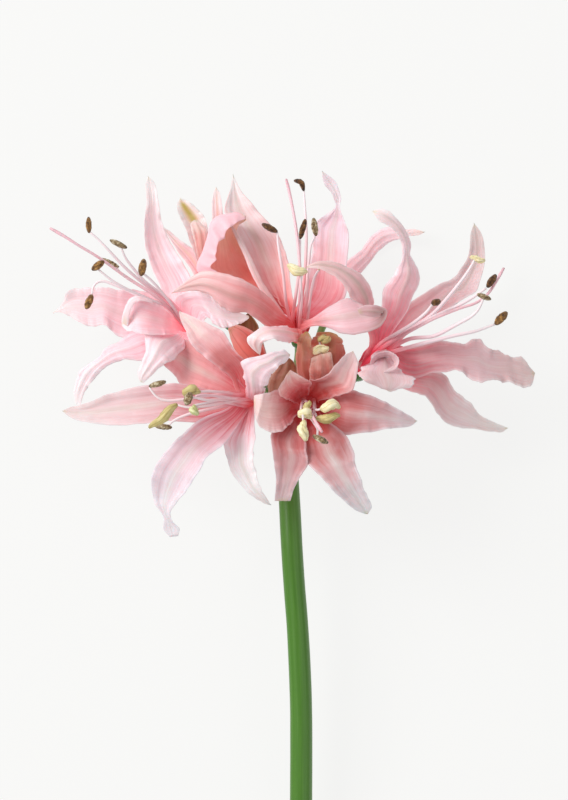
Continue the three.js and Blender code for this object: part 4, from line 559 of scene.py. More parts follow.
# ------------------------------------------------------------------ data (mm, flower frame)
DATA = json.loads(r'''{"extra":{"A_tepal_front":[{"cup":0.7,"t":[0.86,1.0],"rails":[[[-48.68,36.7,16.5],[-51.21,37.76,17.5],[-54.13,38.37,18.0],[-56.71,37.38,18.0],[-58.43,34.65,17.0],[-59.57,31.78,14.5],[-60.27,28.93,11.0]],
[[-48.29,35.57,17.0],[-50.8,36.26,18.3],[-53.34,36.42,19.0],[-55.21,35.33,18.5],[-56.56,32.79,17.5],[-57.25,29.92,15.0],[-57.83,27.06,11.5]]]}],"B_tepal_up":[{"cup":1.0,"t":[0.5,0.74],"rails":[[[-1.87,32.58,1.5],[-5.99,37.46,1.0],[-10.12,43.12,0.0],[-12.77,48.45,-1.5],[-15.04,54.13,-2.5],[-17.3,59.05,-3.0],[-19.58,64.0,-4.0],[-21.48,68.21,-5.0]],
[[0.0,32.59,1.0],[-3.37,37.48,0.5],[-7.5,43.52,-0.5],[-10.15,48.85,-2.0],[-12.79,54.54,-3.0],[-15.43,59.46,-3.5],[-18.08,64.04,-4.5],[-20.73,67.84,-5.0]]]}],"C_tepal_front":[{"cup":0.3,"t":[0.62,0.86],"rails":[[[31.83,12.21,13.0],[31.92,14.39,16.0],[33.14,16.39,18.0],[35.28,17.64,20.0],[38.18,17.81,21.0],[40.53,17.05,22.0],[41.92,15.4,22.0],[42.03,13.39,22.0],[41.08,11.74,22.0],[39.24,10.45,22.0],[37.08,9.55,21.0]],
[[33.95,11.44,16.0],[34.24,13.32,13.0],[35.01,14.63,12.0],[36.31,15.56,12.0],[38.12,15.8,13.0],[39.71,15.26,15.0],[40.48,14.19,17.0],[40.1,12.88,19.0],[38.92,11.93,21.0],[37.59,11.0,22.0],[36.35,9.91,21.0]]]}],"E_tepal_upleft":[{"cup":0,"t":[0.0,0.1],"rails":[[[6.3,-1.85,11.0],[6.3,0.37,11.0],[7.05,2.23,11.0]],
[[10.76,-1.85,11.0],[10.76,0.37,11.0],[10.01,2.23,11.0]]]}]},
"tepals":{"A_tepal_up":{"cup":-1.8,"rails":[[[-33.95,24.85,-11.15],[-36.67,26.14,-9.45],[-39.54,27.37,-7.71],[-41.57,28.82,-5.86],[-42.93,30.91,-5.37],[-43.55,33.57,-6.15],[-44.21,36.2,-7.0],[-45.64,38.53,-7.95],[-46.38,40.92,-9.16],[-47.02,43.32,-10.46],[-48.25,45.66,-11.49],[-49.45,48.18,-12.13],[-50.42,50.85,-12.54],[-51.29,53.58,-12.85],[-52.2,56.3,-12.99],[-52.7,59.15,-12.79],[-53.02,61.99,-12.25],[-53.11,64.79,-11.61],[-53.07,67.57,-10.89],[-52.77,70.28,-10.0],[-52.2,72.97,-9.13],[-51.96,75.79,-8.61],[-51.92,78.65,-8.32],[-51.97,81.56,-8.1],[-51.41,84.67,-8.0]],
[[-30.87,25.18,-9.25],[-31.99,27.18,-8.03],[-33.14,29.15,-6.82],[-34.35,31.12,-5.6],[-34.86,33.42,-5.75],[-34.7,36.0,-7.13],[-34.42,38.65,-8.49],[-33.98,41.45,-9.84],[-34.28,44.09,-11.18],[-35.33,46.52,-12.44],[-36.49,48.93,-13.47],[-38.04,51.28,-14.13],[-39.47,53.71,-14.55],[-40.87,56.17,-14.86],[-42.24,58.67,-14.99],[-43.66,61.15,-14.7],[-44.98,63.61,-13.94],[-45.92,66.19,-13.04],[-46.55,68.84,-12.11],[-47.04,71.47,-11.04],[-47.45,74.14,-9.98],[-47.88,76.87,-9.23],[-48.42,79.62,-8.7],[-49.46,82.27,-8.27],[-51.41,84.67,-8.0]]]},
"A_tepal_left":{"cup":-1.5,"rails":[[[-33.47,25.17,-11.02],[-35.33,27.41,-9.44],[-37.5,29.42,-7.81],[-39.66,30.73,-6.17],[-41.44,32.53,-5.11],[-42.94,34.88,-5.22],[-44.69,37.4,-5.27],[-47.07,38.81,-5.24],[-49.52,39.91,-4.97],[-52.04,40.68,-4.56],[-54.63,41.35,-4.33],[-57.23,41.79,-4.32],[-59.83,41.72,-4.48],[-62.4,41.73,-4.75],[-65.0,41.94,-5.14],[-67.66,42.35,-5.63],[-70.46,42.49,-6.25],[-73.09,42.32,-6.9],[-75.64,42.32,-7.59],[-78.17,42.14,-8.37],[-80.67,41.6,-9.23],[-82.77,39.56,-10.34],[-84.28,36.64,-11.69],[-85.96,34.61,-12.88],[-87.84,33.08,-14.0]],
[[-35.65,21.94,-10.67],[-36.86,22.29,-9.11],[-37.83,22.57,-7.58],[-38.78,23.7,-6.07],[-40.56,24.13,-4.65],[-43.75,23.24,-3.7],[-46.65,22.69,-3.04],[-49.16,22.5,-2.59],[-51.62,22.14,-2.14],[-53.94,22.42,-1.78],[-56.17,23.2,-1.64],[-58.58,23.12,-1.73],[-60.96,23.54,-2.11],[-63.27,24.86,-2.62],[-65.46,26.39,-3.12],[-67.3,28.12,-3.63],[-69.05,28.51,-4.25],[-71.2,27.76,-4.9],[-73.49,27.87,-5.59],[-75.74,28.58,-6.37],[-77.96,29.54,-7.23],[-80.36,31.04,-8.34],[-82.89,32.76,-9.69],[-85.39,33.28,-10.88],[-87.66,33.02,-12.0]]]},
"A_tepal_front":{"cup":-1.2,"rails":[[[-34.63,19.91,-8.83],[-35.92,22.19,-7.62],[-36.76,24.42,-6.32],[-37.51,26.4,-4.82],[-38.37,28.34,-3.0],[-39.24,30.18,-0.78],[-39.89,30.76,1.82],[-40.53,31.14,4.6],[-41.22,31.56,7.22],[-42.01,32.28,9.35],[-42.87,33.07,10.84],[-43.75,33.74,11.76],[-44.69,34.33,12.37],[-45.79,35.03,12.94],[-47.17,35.66,13.59],[-48.73,36.27,14.3],[-50.58,37.01,14.91],[-52.78,37.62,15.23],[-55.07,37.68,15.13],[-56.81,36.5,14.54],[-57.64,35.28,13.51],[-58.38,34.02,12.13],[-59.12,32.58,10.52],[-59.72,30.83,8.79],[-60.32,29.05,7.0]],
[[-31.72,20.22,-7.03],[-32.79,20.97,-6.11],[-34.05,21.65,-5.08],[-35.52,22.63,-3.8],[-36.85,23.63,-2.11],[-38.09,24.62,0.12],[-38.8,24.45,2.87],[-39.55,24.52,5.89],[-40.3,24.46,8.79],[-41.09,24.35,11.17],[-41.94,24.23,12.84],[-42.85,24.11,13.86],[-43.81,24.01,14.51],[-44.89,23.95,15.07],[-46.08,23.94,15.71],[-47.36,23.95,16.4],[-48.88,23.94,16.99],[-50.6,24.03,17.3],[-52.44,24.23,17.19],[-54.07,24.69,16.59],[-55.29,25.15,15.55],[-56.5,25.42,14.16],[-57.86,25.53,12.54],[-59.07,26.42,10.8],[-60.2,27.5,9.0]]]},
"A_tepal_low":{"cup":1.5,"rails":[[[-35.52,22.47,-10.89],[-37.52,23.96,-8.86],[-39.54,25.57,-6.53],[-41.63,25.91,-5.03],[-44.25,25.59,-4.72],[-46.89,25.36,-4.15],[-49.59,25.41,-3.48],[-52.33,25.56,-2.7],[-55.25,25.82,-2.03],[-57.87,24.99,-1.35],[-60.12,23.35,-0.92],[-62.34,21.71,-0.83],[-64.81,20.52,-1.1],[-67.18,19.1,-1.59],[-68.94,17.02,-2.44],[-70.9,15.4,-3.58],[-72.99,14.02,-4.8],[-75.08,12.64,-6.03],[-76.87,11.03,-7.32],[-78.08,8.97,-8.66],[-78.97,6.68,-9.95],[-79.62,4.24,-11.16],[-79.84,1.69,-12.31],[-79.36,-0.86,-13.42],[-78.37,-3.42,-14.5]],
[[-34.45,19.75,-8.62],[-36.1,20.06,-7.14],[-37.77,20.43,-5.8],[-39.49,20.28,-4.06],[-41.32,19.24,-1.98],[-43.27,18.18,-0.32],[-45.41,17.36,0.88],[-47.66,16.7,1.75],[-49.83,15.9,2.51],[-51.92,15.05,3.09],[-54.28,14.7,3.13],[-57.08,14.93,2.63],[-59.88,14.93,1.99],[-62.38,14.45,1.41],[-64.62,13.6,0.56],[-66.6,12.57,-0.58],[-68.34,11.3,-1.8],[-69.89,9.79,-3.03],[-71.3,8.16,-4.32],[-72.6,6.45,-5.66],[-73.93,4.73,-6.95],[-75.31,2.97,-8.16],[-76.45,1.01,-9.31],[-77.14,-1.18,-10.42],[-78.14,-3.41,-11.5]]]},
"A_tepal_right":{"cup":-1.0,"rails":[[[-31.06,25.35,-9.48],[-32.73,26.45,-8.04],[-34.56,27.62,-6.56],[-36.27,28.61,-5.0],[-37.34,29.18,-3.4],[-38.02,30.26,-2.35],[-39.21,31.96,-1.42],[-40.34,33.66,-0.41],[-40.62,35.04,0.8],[-40.77,36.39,2.09],[-40.62,37.97,3.33],[-39.08,39.34,4.51],[-37.18,40.13,5.64],[-35.22,40.75,6.77],[-33.23,40.98,7.67],[-30.99,40.44,7.98],[-28.74,39.69,7.99],[-26.74,38.38,8.0],[-24.85,36.9,7.92],[-23.0,35.4,7.42],[-21.16,34.12,6.6],[-19.12,33.47,5.8],[-17.07,32.79,4.95],[-15.05,32.09,4.01],[-13.09,31.41,3.0]],
[[-30.02,22.71,-7.27],[-30.48,23.39,-6.28],[-31.09,24.21,-5.33],[-31.74,25.01,-4.33],[-32.39,25.77,-3.28],[-32.02,26.57,-1.66],[-31.29,27.4,0.05],[-30.61,28.29,1.61],[-30.01,29.23,3.02],[-29.45,30.24,4.25],[-28.74,30.99,5.42],[-27.77,30.61,6.53],[-26.94,29.64,7.65],[-26.26,28.6,8.79],[-25.24,27.89,9.7],[-24.11,27.18,10.0],[-22.86,26.81,10.0],[-21.45,26.91,10.0],[-20.02,27.04,9.92],[-18.66,27.39,9.42],[-17.4,27.91,8.6],[-16.22,28.42,7.8],[-15.1,29.06,6.95],[-14.07,29.84,6.01],[-13.06,30.6,5.0]]]},
"A_tepal_under":{"cup":1.6,"rails":[[[-29.84,23.17,-7.41],[-31.83,24.47,-6.09],[-34.24,25.38,-4.62],[-36.46,25.51,-2.88],[-38.36,25.66,-0.89],[-40.35,26.21,1.21],[-41.29,26.14,3.14],[-42.1,25.97,4.68],[-42.91,25.77,5.76],[-43.82,25.57,6.54],[-44.8,25.38,7.32],[-45.86,25.18,8.31],[-46.97,25.06,9.58],[-48.2,25.17,11.02],[-49.69,25.52,12.46],[-51.15,25.53,13.73],[-51.35,23.63,14.72],[-51.21,20.94,15.36],[-51.09,18.22,15.63],[-51.73,16.03,15.55],[-52.57,14.13,15.14],[-53.32,12.39,14.47],[-54.09,10.66,13.6],[-54.0,8.84,12.58],[-53.38,7.04,11.5]],
[[-31.85,20.17,-7.09],[-32.86,20.62,-5.81],[-33.86,21.29,-4.38],[-34.95,21.94,-2.66],[-36.03,22.44,-0.65],[-37.05,22.86,1.51],[-36.93,22.18,3.57],[-36.83,21.47,5.26],[-36.83,20.81,6.5],[-36.84,20.06,7.44],[-36.99,19.29,8.33],[-37.44,18.57,9.39],[-38.13,17.89,10.7],[-38.83,17.1,12.16],[-39.54,16.1,13.59],[-40.5,15.21,14.85],[-41.77,14.55,15.81],[-43.3,13.67,16.43],[-44.84,12.61,16.68],[-46.23,11.48,16.58],[-47.51,10.4,16.17],[-48.61,9.34,15.49],[-49.74,8.32,14.61],[-50.98,7.3,13.59],[-52.21,6.3,12.5]]]},
"B_tepal_up":{"cup":-2.2,"rails":[[[3.2,26.84,-7.66],[1.88,27.8,-4.93],[0.75,28.74,-2.18],[0.17,29.78,0.55],[-0.82,31.34,1.73],[-2.65,33.44,1.0],[-4.34,35.66,0.13],[-5.84,38.01,-0.85],[-7.29,40.4,-1.9],[-9.05,42.69,-2.92],[-10.7,45.12,-3.85],[-12.02,47.78,-4.55],[-13.32,50.46,-5.06],[-14.5,53.21,-5.51],[-15.62,56.02,-5.95],[-16.79,58.85,-6.44],[-18.22,61.55,-6.93],[-19.64,64.28,-7.42],[-20.99,67.06,-7.9],[-22.29,69.85,-8.36],[-22.41,73.01,-8.87],[-21.48,76.35,-9.52],[-20.38,79.58,-10.29],[-19.77,82.69,-11.12],[-19.35,85.77,-12.0]],
[[7.16,26.97,-7.58],[7.57,28.4,-4.86],[7.52,29.82,-2.14],[7.02,31.15,0.58],[5.85,33.11,1.21],[4.22,35.67,-0.18],[3.31,38.39,-1.54],[2.84,41.25,-2.92],[2.43,44.09,-4.32],[2.17,46.94,-5.74],[2.01,49.85,-7.0],[1.63,52.72,-8.0],[0.79,55.53,-8.85],[-0.25,58.28,-9.55],[-1.37,61.02,-9.96],[-3.03,63.49,-10.12],[-4.78,65.89,-10.21],[-6.67,68.18,-10.29],[-8.67,70.41,-10.38],[-10.61,72.68,-10.46],[-12.64,75.11,-10.56],[-14.88,77.62,-10.73],[-16.83,80.25,-11.06],[-18.16,83.01,-11.49],[-19.35,85.77,-12.0]]]},
"B_tepal_hood":{"cup":0,"rails":[[[1.92,24.19,-6.45],[1.43,25.31,-3.8],[2.06,26.82,-0.63],[2.54,30.23,0.68],[1.6,31.41,2.12],[-0.56,32.53,1.86],[-2.93,33.97,1.36],[-5.43,35.54,0.83],[-7.86,37.16,0.43],[-10.07,38.73,0.23],[-12.32,40.27,0.08],[-14.67,41.87,0.01],[-17.15,43.43,0.1],[-19.83,44.78,0.41],[-22.49,46.18,0.8],[-24.89,47.96,1.18],[-27.02,50.17,1.63],[-25.7,52.87,2.08],[-25.51,55.72,2.47],[-24.42,58.03,2.87],[-23.05,60.24,3.21],[-21.68,62.59,3.31],[-19.26,64.85,3.09],[-17.05,66.7,2.65],[-14.22,67.74,2.0]],
[[2.6,25.31,-6.95],[2.0,26.46,-4.53],[1.39,27.62,-2.1],[0.79,28.77,0.32],[-0.43,30.05,1.74],[-3.05,31.65,0.89],[-5.71,33.28,0.1],[-8.44,34.93,-0.63],[-11.2,36.61,-1.32],[-13.97,38.29,-2.01],[-16.79,40.0,-2.62],[-19.72,41.77,-2.96],[-22.78,43.54,-3.0],[-26.02,45.17,-3.0],[-29.26,46.83,-3.0],[-32.1,48.81,-2.95],[-31.73,51.97,-2.69],[-30.1,55.54,-2.28],[-28.95,59.05,-1.82],[-28.19,62.69,-1.24],[-27.45,66.28,-0.57],[-24.92,68.67,0.11],[-20.97,69.54,0.79],[-17.42,70.21,1.39],[-14.22,68.86,2.0]],
[[2.94,25.87,-7.21],[2.65,26.97,-4.71],[2.36,28.07,-2.22],[2.07,29.18,0.27],[1.49,30.46,1.21],[0.24,32.16,-1.32],[-1.04,33.89,-3.7],[-2.35,35.66,-5.88],[-3.68,37.45,-7.88],[-5.08,39.19,-9.77],[-6.56,40.9,-11.46],[-8.13,42.66,-12.77],[-9.74,44.47,-13.7],[-11.4,46.33,-14.45],[-12.94,48.28,-14.89],[-14.37,50.32,-14.9],[-15.89,52.48,-14.43],[-17.37,54.65,-13.59],[-18.53,56.81,-12.54],[-19.64,59.0,-10.91],[-20.31,61.21,-8.84],[-19.92,63.64,-6.62],[-18.5,65.73,-4.36],[-16.48,66.93,-2.24],[-14.25,67.88,-0.0]],
[[3.67,27.08,-7.75],[3.95,28.47,-6.53],[4.29,29.72,-5.32],[4.38,30.68,-4.1],[4.01,31.66,-2.89],[2.65,32.83,-1.67],[1.09,34.15,-0.46],[-0.49,35.6,0.76],[-1.91,37.24,-0.56],[-3.11,38.91,-2.5],[-4.28,40.61,-4.44],[-5.51,42.38,-6.28],[-6.78,44.2,-7.67],[-7.8,46.24,-9.06],[-8.81,48.32,-10.44],[-9.82,50.37,-11.17],[-10.89,52.56,-11.44],[-11.93,54.76,-11.72],[-12.91,56.85,-12.0],[-13.93,58.92,-11.72],[-15.01,60.93,-11.44],[-16.14,63.06,-11.17],[-17.09,65.25,-10.05],[-16.16,66.67,-7.67],[-14.27,67.61,-1.5]]]},
"B_tepal_left":{"cup":1.6,"rails":[[[1.93,24.42,-6.56],[1.81,26.14,-3.91],[1.66,27.94,-1.21],[1.69,29.42,1.55],[1.82,30.35,4.31],[0.73,31.27,6.89],[-0.6,32.6,9.37],[-2.0,34.13,11.81],[-3.45,35.73,14.18],[-4.89,37.37,16.49],[-6.6,38.77,18.75],[-8.45,40.24,20.88],[-10.52,41.81,22.63],[-12.85,43.14,24.05],[-15.39,44.39,25.15],[-18.18,45.33,25.51],[-21.06,46.21,25.36],[-24.11,46.77,25.09],[-27.2,47.07,24.59],[-30.19,46.98,23.55],[-32.81,45.82,22.06],[-35.21,44.39,20.48],[-37.48,42.88,18.79],[-39.5,41.23,16.96],[-41.37,39.52,15.0]],
[[3.71,21.79,-5.23],[3.78,22.77,-2.82],[3.85,23.72,-0.44],[3.92,24.65,1.94],[3.72,25.52,4.17],[1.62,25.72,5.75],[-0.48,25.96,7.42],[-2.58,26.15,9.11],[-4.71,26.29,10.79],[-6.71,27.18,12.68],[-8.5,28.66,14.74],[-10.4,29.97,16.64],[-12.44,31.25,18.03],[-14.7,32.14,19.1],[-17.33,32.09,20.01],[-19.98,32.5,20.56],[-22.33,33.9,20.88],[-24.44,35.82,21.11],[-26.61,37.67,21.07],[-28.95,39.07,20.53],[-31.5,39.88,19.63],[-34.08,40.11,18.67],[-36.6,40.07,17.59],[-39.02,39.82,16.35],[-41.37,39.52,15.0]]]},
"B_tepal_right":{"cup":-2.0,"rails":[[[6.58,27.15,-7.69],[5.7,28.58,-4.72],[4.58,29.86,-1.65],[3.72,30.89,1.54],[4.26,33.25,-0.42],[4.97,35.73,-3.01],[6.46,37.82,-5.25],[7.71,40.09,-7.3],[8.35,42.73,-9.32],[8.8,45.53,-11.16],[9.26,48.48,-12.59],[9.71,51.42,-13.67],[10.14,54.42,-14.5],[10.43,57.49,-14.84],[10.66,60.57,-14.83],[11.02,63.64,-14.78],[11.51,66.69,-14.67],[13.97,69.02,-13.87],[16.93,71.17,-12.46],[19.35,73.16,-10.55],[18.91,75.63,-8.56],[17.88,78.12,-6.78],[16.66,80.7,-5.33],[15.46,83.37,-4.06],[14.29,86.13,-3.0]],
[[8.54,24.23,-6.22],[9.19,25.64,-3.4],[9.85,27.51,-0.82],[9.83,29.68,1.63],[11.61,30.71,0.4],[13.82,31.83,-1.55],[16.08,33.26,-3.4],[18.41,34.95,-5.08],[21.22,36.61,-6.53],[23.03,38.98,-7.95],[23.97,41.98,-9.22],[23.8,45.46,-10.19],[23.88,48.83,-10.84],[23.95,52.2,-11.14],[24.23,55.57,-11.22],[24.59,58.95,-11.27],[24.43,62.36,-11.27],[23.85,66.1,-10.86],[22.26,69.82,-10.05],[21.09,73.24,-8.65],[21.58,76.05,-7.02],[20.73,78.83,-5.6],[18.85,81.33,-4.54],[16.56,83.67,-3.66],[14.29,86.13,-3.0]]]},
"B_tepal_low":{"cup":1.2,"rails":[[[8.47,24.72,-6.46],[8.26,26.47,-3.97],[8.0,28.32,-1.4],[7.52,29.7,1.32],[6.94,30.4,4.03],[7.75,29.95,6.25],[8.69,29.88,8.52],[9.69,30.01,10.71],[10.64,30.44,12.91],[11.61,31.03,15.14],[12.65,31.71,17.33],[13.76,32.48,19.42],[15.15,33.43,21.34],[16.97,34.52,22.97],[19.04,35.66,24.16],[21.33,36.62,24.84],[23.72,37.12,25.25],[26.13,36.13,25.81],[28.64,34.77,26.68],[31.29,33.39,27.85],[34.31,31.83,29.8],[34.58,30.47,32.47],[32.54,30.07,34.29],[30.07,30.38,35.37],[27.47,30.73,36.0]],
[[6.73,21.86,-5.15],[6.51,22.73,-2.8],[6.33,23.58,-0.48],[6.19,24.43,1.79],[6.14,25.54,4.03],[7.4,26.07,6.93],[8.64,26.62,9.7],[9.9,27.11,12.38],[11.24,27.33,14.95],[12.63,27.31,17.56],[14.14,26.97,20.25],[15.77,26.58,22.93],[17.63,25.86,25.4],[19.87,24.71,27.37],[22.58,24.11,28.76],[25.51,23.71,29.69],[28.43,24.17,30.29],[31.47,24.96,30.65],[34.32,26.53,30.9],[36.73,29.05,31.45],[37.19,32.56,32.72],[34.54,33.94,34.68],[32.0,34.35,35.76],[29.14,34.13,35.93],[26.39,32.9,36.0]]]},
"B_tepal_curl":{"cup":1.4,"rails":[[[3.58,21.89,-5.28],[4.16,22.97,-3.25],[4.94,24.09,-1.19],[5.79,25.05,0.87],[6.53,25.86,2.86],[6.54,26.31,4.44],[5.86,26.45,4.93],[5.15,26.63,4.35],[4.42,26.73,4.78],[3.62,26.71,7.81],[2.81,26.68,11.89],[1.88,26.77,15.22],[0.9,26.91,17.52],[-0.14,27.04,19.4],[-1.24,27.13,21.21],[-2.55,27.13,22.96],[-4.24,27.05,24.49],[-6.22,26.81,25.79],[-8.4,26.27,26.94],[-10.6,24.99,27.92],[-12.74,23.51,28.3],[-13.29,21.47,27.77],[-12.14,19.45,27.02],[-10.52,17.84,26.12],[-8.77,16.45,25.0]],
[[6.86,21.99,-5.22],[6.79,22.03,-3.17],[6.5,22.02,-1.14],[6.16,22.14,0.88],[5.89,22.37,2.87],[5.64,22.45,4.69],[5.32,22.31,5.73],[4.97,22.2,5.66],[4.61,22.07,6.57],[4.18,21.87,10.0],[3.74,21.65,14.48],[3.22,21.43,18.19],[2.66,21.22,20.84],[2.05,21.08,23.03],[1.36,21.09,25.09],[0.51,21.18,26.98],[-0.63,21.34,28.61],[-1.94,21.48,30.03],[-3.4,21.63,31.02],[-5.0,21.75,31.49],[-6.59,21.36,31.59],[-7.89,20.54,30.25],[-8.35,19.18,28.54],[-8.42,17.78,26.86],[-8.77,16.45,25.0]]]},
"C_tepal_up":{"cup":1.8,"rails":[[[28.12,14.33,-9.45],[29.11,16.17,-7.71],[30.02,18.06,-6.21],[31.73,19.92,-5.0],[33.22,21.87,-3.61],[33.97,24.31,-1.86],[34.1,26.85,-0.1],[34.29,29.38,1.7],[34.85,31.79,3.5],[36.08,34.24,4.88],[36.61,36.96,5.84],[36.66,39.79,6.66],[37.71,42.29,7.53],[39.59,44.36,8.53],[41.22,46.78,9.44],[42.51,49.64,10.01],[43.52,52.53,10.55],[43.73,55.18,11.39],[43.46,57.67,12.62],[42.51,59.95,13.91],[41.03,62.06,15.17],[39.19,63.94,16.37],[36.91,65.51,17.18],[34.58,67.21,17.71],[32.41,69.6,18.0]],
[[30.87,14.42,-11.89],[33.38,16.03,-10.04],[36.06,17.58,-8.05],[38.08,19.15,-5.77],[39.25,21.07,-3.76],[39.88,23.71,-2.51],[41.19,26.2,-1.22],[42.89,28.59,0.07],[44.48,30.97,1.4],[45.99,33.55,2.62],[47.36,36.4,3.54],[48.61,39.33,4.25],[49.87,42.2,4.94],[50.66,45.33,5.64],[50.1,48.59,6.44],[48.18,51.56,7.49],[46.75,54.37,8.79],[46.97,57.31,10.33],[46.41,59.99,12.17],[45.19,62.55,13.88],[43.56,64.97,15.25],[41.38,67.03,16.4],[38.94,68.96,17.18],[35.99,70.09,17.71],[32.41,69.6,18.0]]]},
"C_tepal_upright":{"cup":-2.0,"rails":[[[30.34,14.74,-11.73],[31.43,17.11,-9.73],[32.89,19.09,-7.72],[34.66,20.8,-5.72],[36.35,22.63,-4.24],[38.15,24.69,-5.82],[40.14,26.72,-7.23],[41.88,28.95,-8.63],[43.42,31.36,-10.02],[44.79,33.87,-11.44],[46.4,36.33,-12.79],[48.91,38.12,-13.76],[51.94,39.63,-14.43],[54.77,41.3,-15.03],[57.3,43.08,-15.42],[59.89,44.65,-15.48],[62.74,45.71,-15.4],[65.26,47.53,-15.25],[67.22,49.9,-14.96],[69.0,52.38,-14.31],[70.03,55.14,-13.4],[70.6,58.04,-12.45],[70.8,60.98,-11.45],[71.22,63.95,-10.3],[71.89,66.97,-9.0]],
[[33.25,11.9,-11.61],[35.63,13.23,-9.63],[37.77,14.82,-7.66],[39.51,16.74,-5.69],[41.47,18.62,-4.08],[43.35,21.15,-4.9],[45.2,23.54,-5.96],[47.62,25.52,-6.96],[50.25,27.35,-7.97],[52.87,29.18,-9.05],[55.76,30.64,-10.09],[58.71,32.07,-10.9],[61.44,33.9,-11.52],[64.13,35.84,-12.06],[66.96,37.67,-12.42],[69.91,39.37,-12.61],[72.81,41.11,-12.74],[74.21,44.37,-12.82],[75.25,47.67,-12.74],[75.97,51.02,-12.37],[76.25,54.38,-11.79],[75.96,57.72,-11.2],[75.3,60.97,-10.57],[73.95,64.09,-9.84],[71.89,66.97,-9.0]]]},
"C_tepal_right":{"cup":-1.6,"rails":[[[32.96,12.42,-11.84],[34.76,14.87,-9.75],[36.59,17.56,-7.6],[38.37,19.71,-5.27],[40.5,20.79,-3.37],[43.04,20.69,-1.87],[45.34,19.87,-0.23],[47.75,19.88,1.27],[50.34,20.4,2.51],[53.0,20.99,3.62],[55.74,21.53,4.58],[58.59,22.0,5.23],[61.54,22.28,5.57],[64.42,21.54,5.82],[67.39,21.36,5.97],[70.52,22.81,5.98],[73.37,22.56,5.91],[75.32,19.9,5.77],[77.59,17.98,5.49],[80.46,17.88,4.94],[83.3,17.61,4.2],[86.11,16.88,3.41],[88.85,16.13,2.64],[91.01,13.37,1.54],[94.12,10.12,-0.0]],
[[32.82,9.73,-9.28],[34.44,10.58,-7.67],[36.05,11.53,-6.21],[37.71,12.82,-4.81],[39.41,13.0,-2.95],[41.26,11.44,-0.68],[43.35,9.82,1.47],[45.85,8.74,3.43],[48.53,8.24,5.13],[51.38,8.9,6.51],[54.25,9.7,7.7],[57.16,10.17,8.61],[60.14,10.61,9.19],[63.2,10.93,9.64],[66.13,10.18,9.93],[68.98,8.11,9.89],[71.98,7.17,9.47],[75.35,7.16,8.78],[78.65,7.26,7.95],[81.53,6.56,6.99],[84.41,6.63,5.92],[86.8,5.3,4.78],[89.56,4.59,3.65],[92.56,6.03,2.1],[94.12,10.12,0.0]]]},
"C_tepal_low":{"cup":-1.5,"rails":[[[32.98,9.91,-9.57],[35.71,11.22,-8.3],[38.44,12.84,-6.78],[40.67,14.21,-5.02],[42.89,13.32,-5.24],[45.08,12.27,-5.09],[47.47,11.69,-4.86],[49.84,11.42,-4.4],[52.24,11.37,-3.65],[54.66,11.2,-2.82],[57.26,10.95,-2.44],[59.93,9.95,-2.16],[61.93,7.8,-1.79],[63.44,5.3,-1.56],[64.97,3.03,-1.65],[66.69,1.14,-2.11],[68.76,-0.13,-2.73],[70.72,-1.55,-3.45],[72.29,-3.62,-4.38],[74.01,-5.33,-5.39],[75.84,-6.89,-6.38],[78.0,-7.73,-7.29],[80.2,-8.65,-8.18],[82.39,-9.68,-9.06],[84.84,-10.6,-10.0]],
[[30.36,9.81,-7.26],[32.43,10.08,-6.37],[34.59,10.24,-5.62],[36.87,10.39,-4.97],[38.85,8.31,-3.88],[40.9,6.46,-2.9],[43.19,5.01,-1.9],[45.64,3.98,-0.74],[48.1,3.09,0.43],[50.65,2.39,1.28],[53.17,1.45,1.55],[54.79,-0.87,1.5],[56.25,-3.31,1.5],[57.64,-5.72,1.5],[59.49,-7.62,1.29],[61.93,-8.83,0.63],[64.41,-9.86,-0.23],[67.04,-10.51,-1.2],[69.82,-10.65,-2.39],[72.36,-11.12,-3.68],[74.88,-11.6,-4.96],[77.41,-11.99,-6.18],[79.98,-12.09,-7.41],[82.56,-12.07,-8.65],[84.84,-10.6,-10.0]]]},
"C_tepal_front":{"cup":1.5,"rails":[[[28.15,12.07,-7.42],[29.36,12.64,-6.46],[30.64,13.19,-5.5],[31.87,13.77,-4.54],[33.13,14.32,-3.57],[34.49,14.87,-2.6],[35.87,15.43,-1.64],[36.54,15.98,-0.41],[35.83,16.46,1.35],[35.13,16.98,3.1],[34.48,17.44,4.86],[33.78,17.64,6.68],[33.04,17.06,8.35],[32.41,16.31,9.94],[32.34,15.42,11.46],[32.88,14.37,12.97],[32.82,13.37,14.52],[31.43,12.62,16.18],[29.7,11.83,17.78],[28.11,10.79,19.27],[27.28,9.65,20.66],[28.38,8.33,21.66],[30.36,6.68,22.53],[34.82,4.63,22.57],[37.45,3.67,21.0]],
[[30.49,9.78,-7.35],[32.07,10.61,-6.39],[33.59,11.46,-5.44],[35.16,12.28,-4.48],[36.75,13.1,-3.53],[38.24,13.94,-2.59],[39.61,14.79,-1.63],[40.5,15.55,-0.41],[40.7,16.09,1.35],[41.05,16.64,3.1],[41.46,17.0,4.86],[41.91,16.37,6.68],[42.18,15.59,8.35],[42.12,14.68,9.94],[41.79,13.67,11.46],[41.34,12.62,12.97],[41.61,11.74,14.52],[42.91,10.95,16.18],[44.47,9.98,17.78],[45.96,8.84,19.27],[47.16,7.65,20.66],[47.75,6.42,21.66],[46.19,4.92,22.53],[41.69,3.84,22.57],[39.28,2.94,21.0]]]},
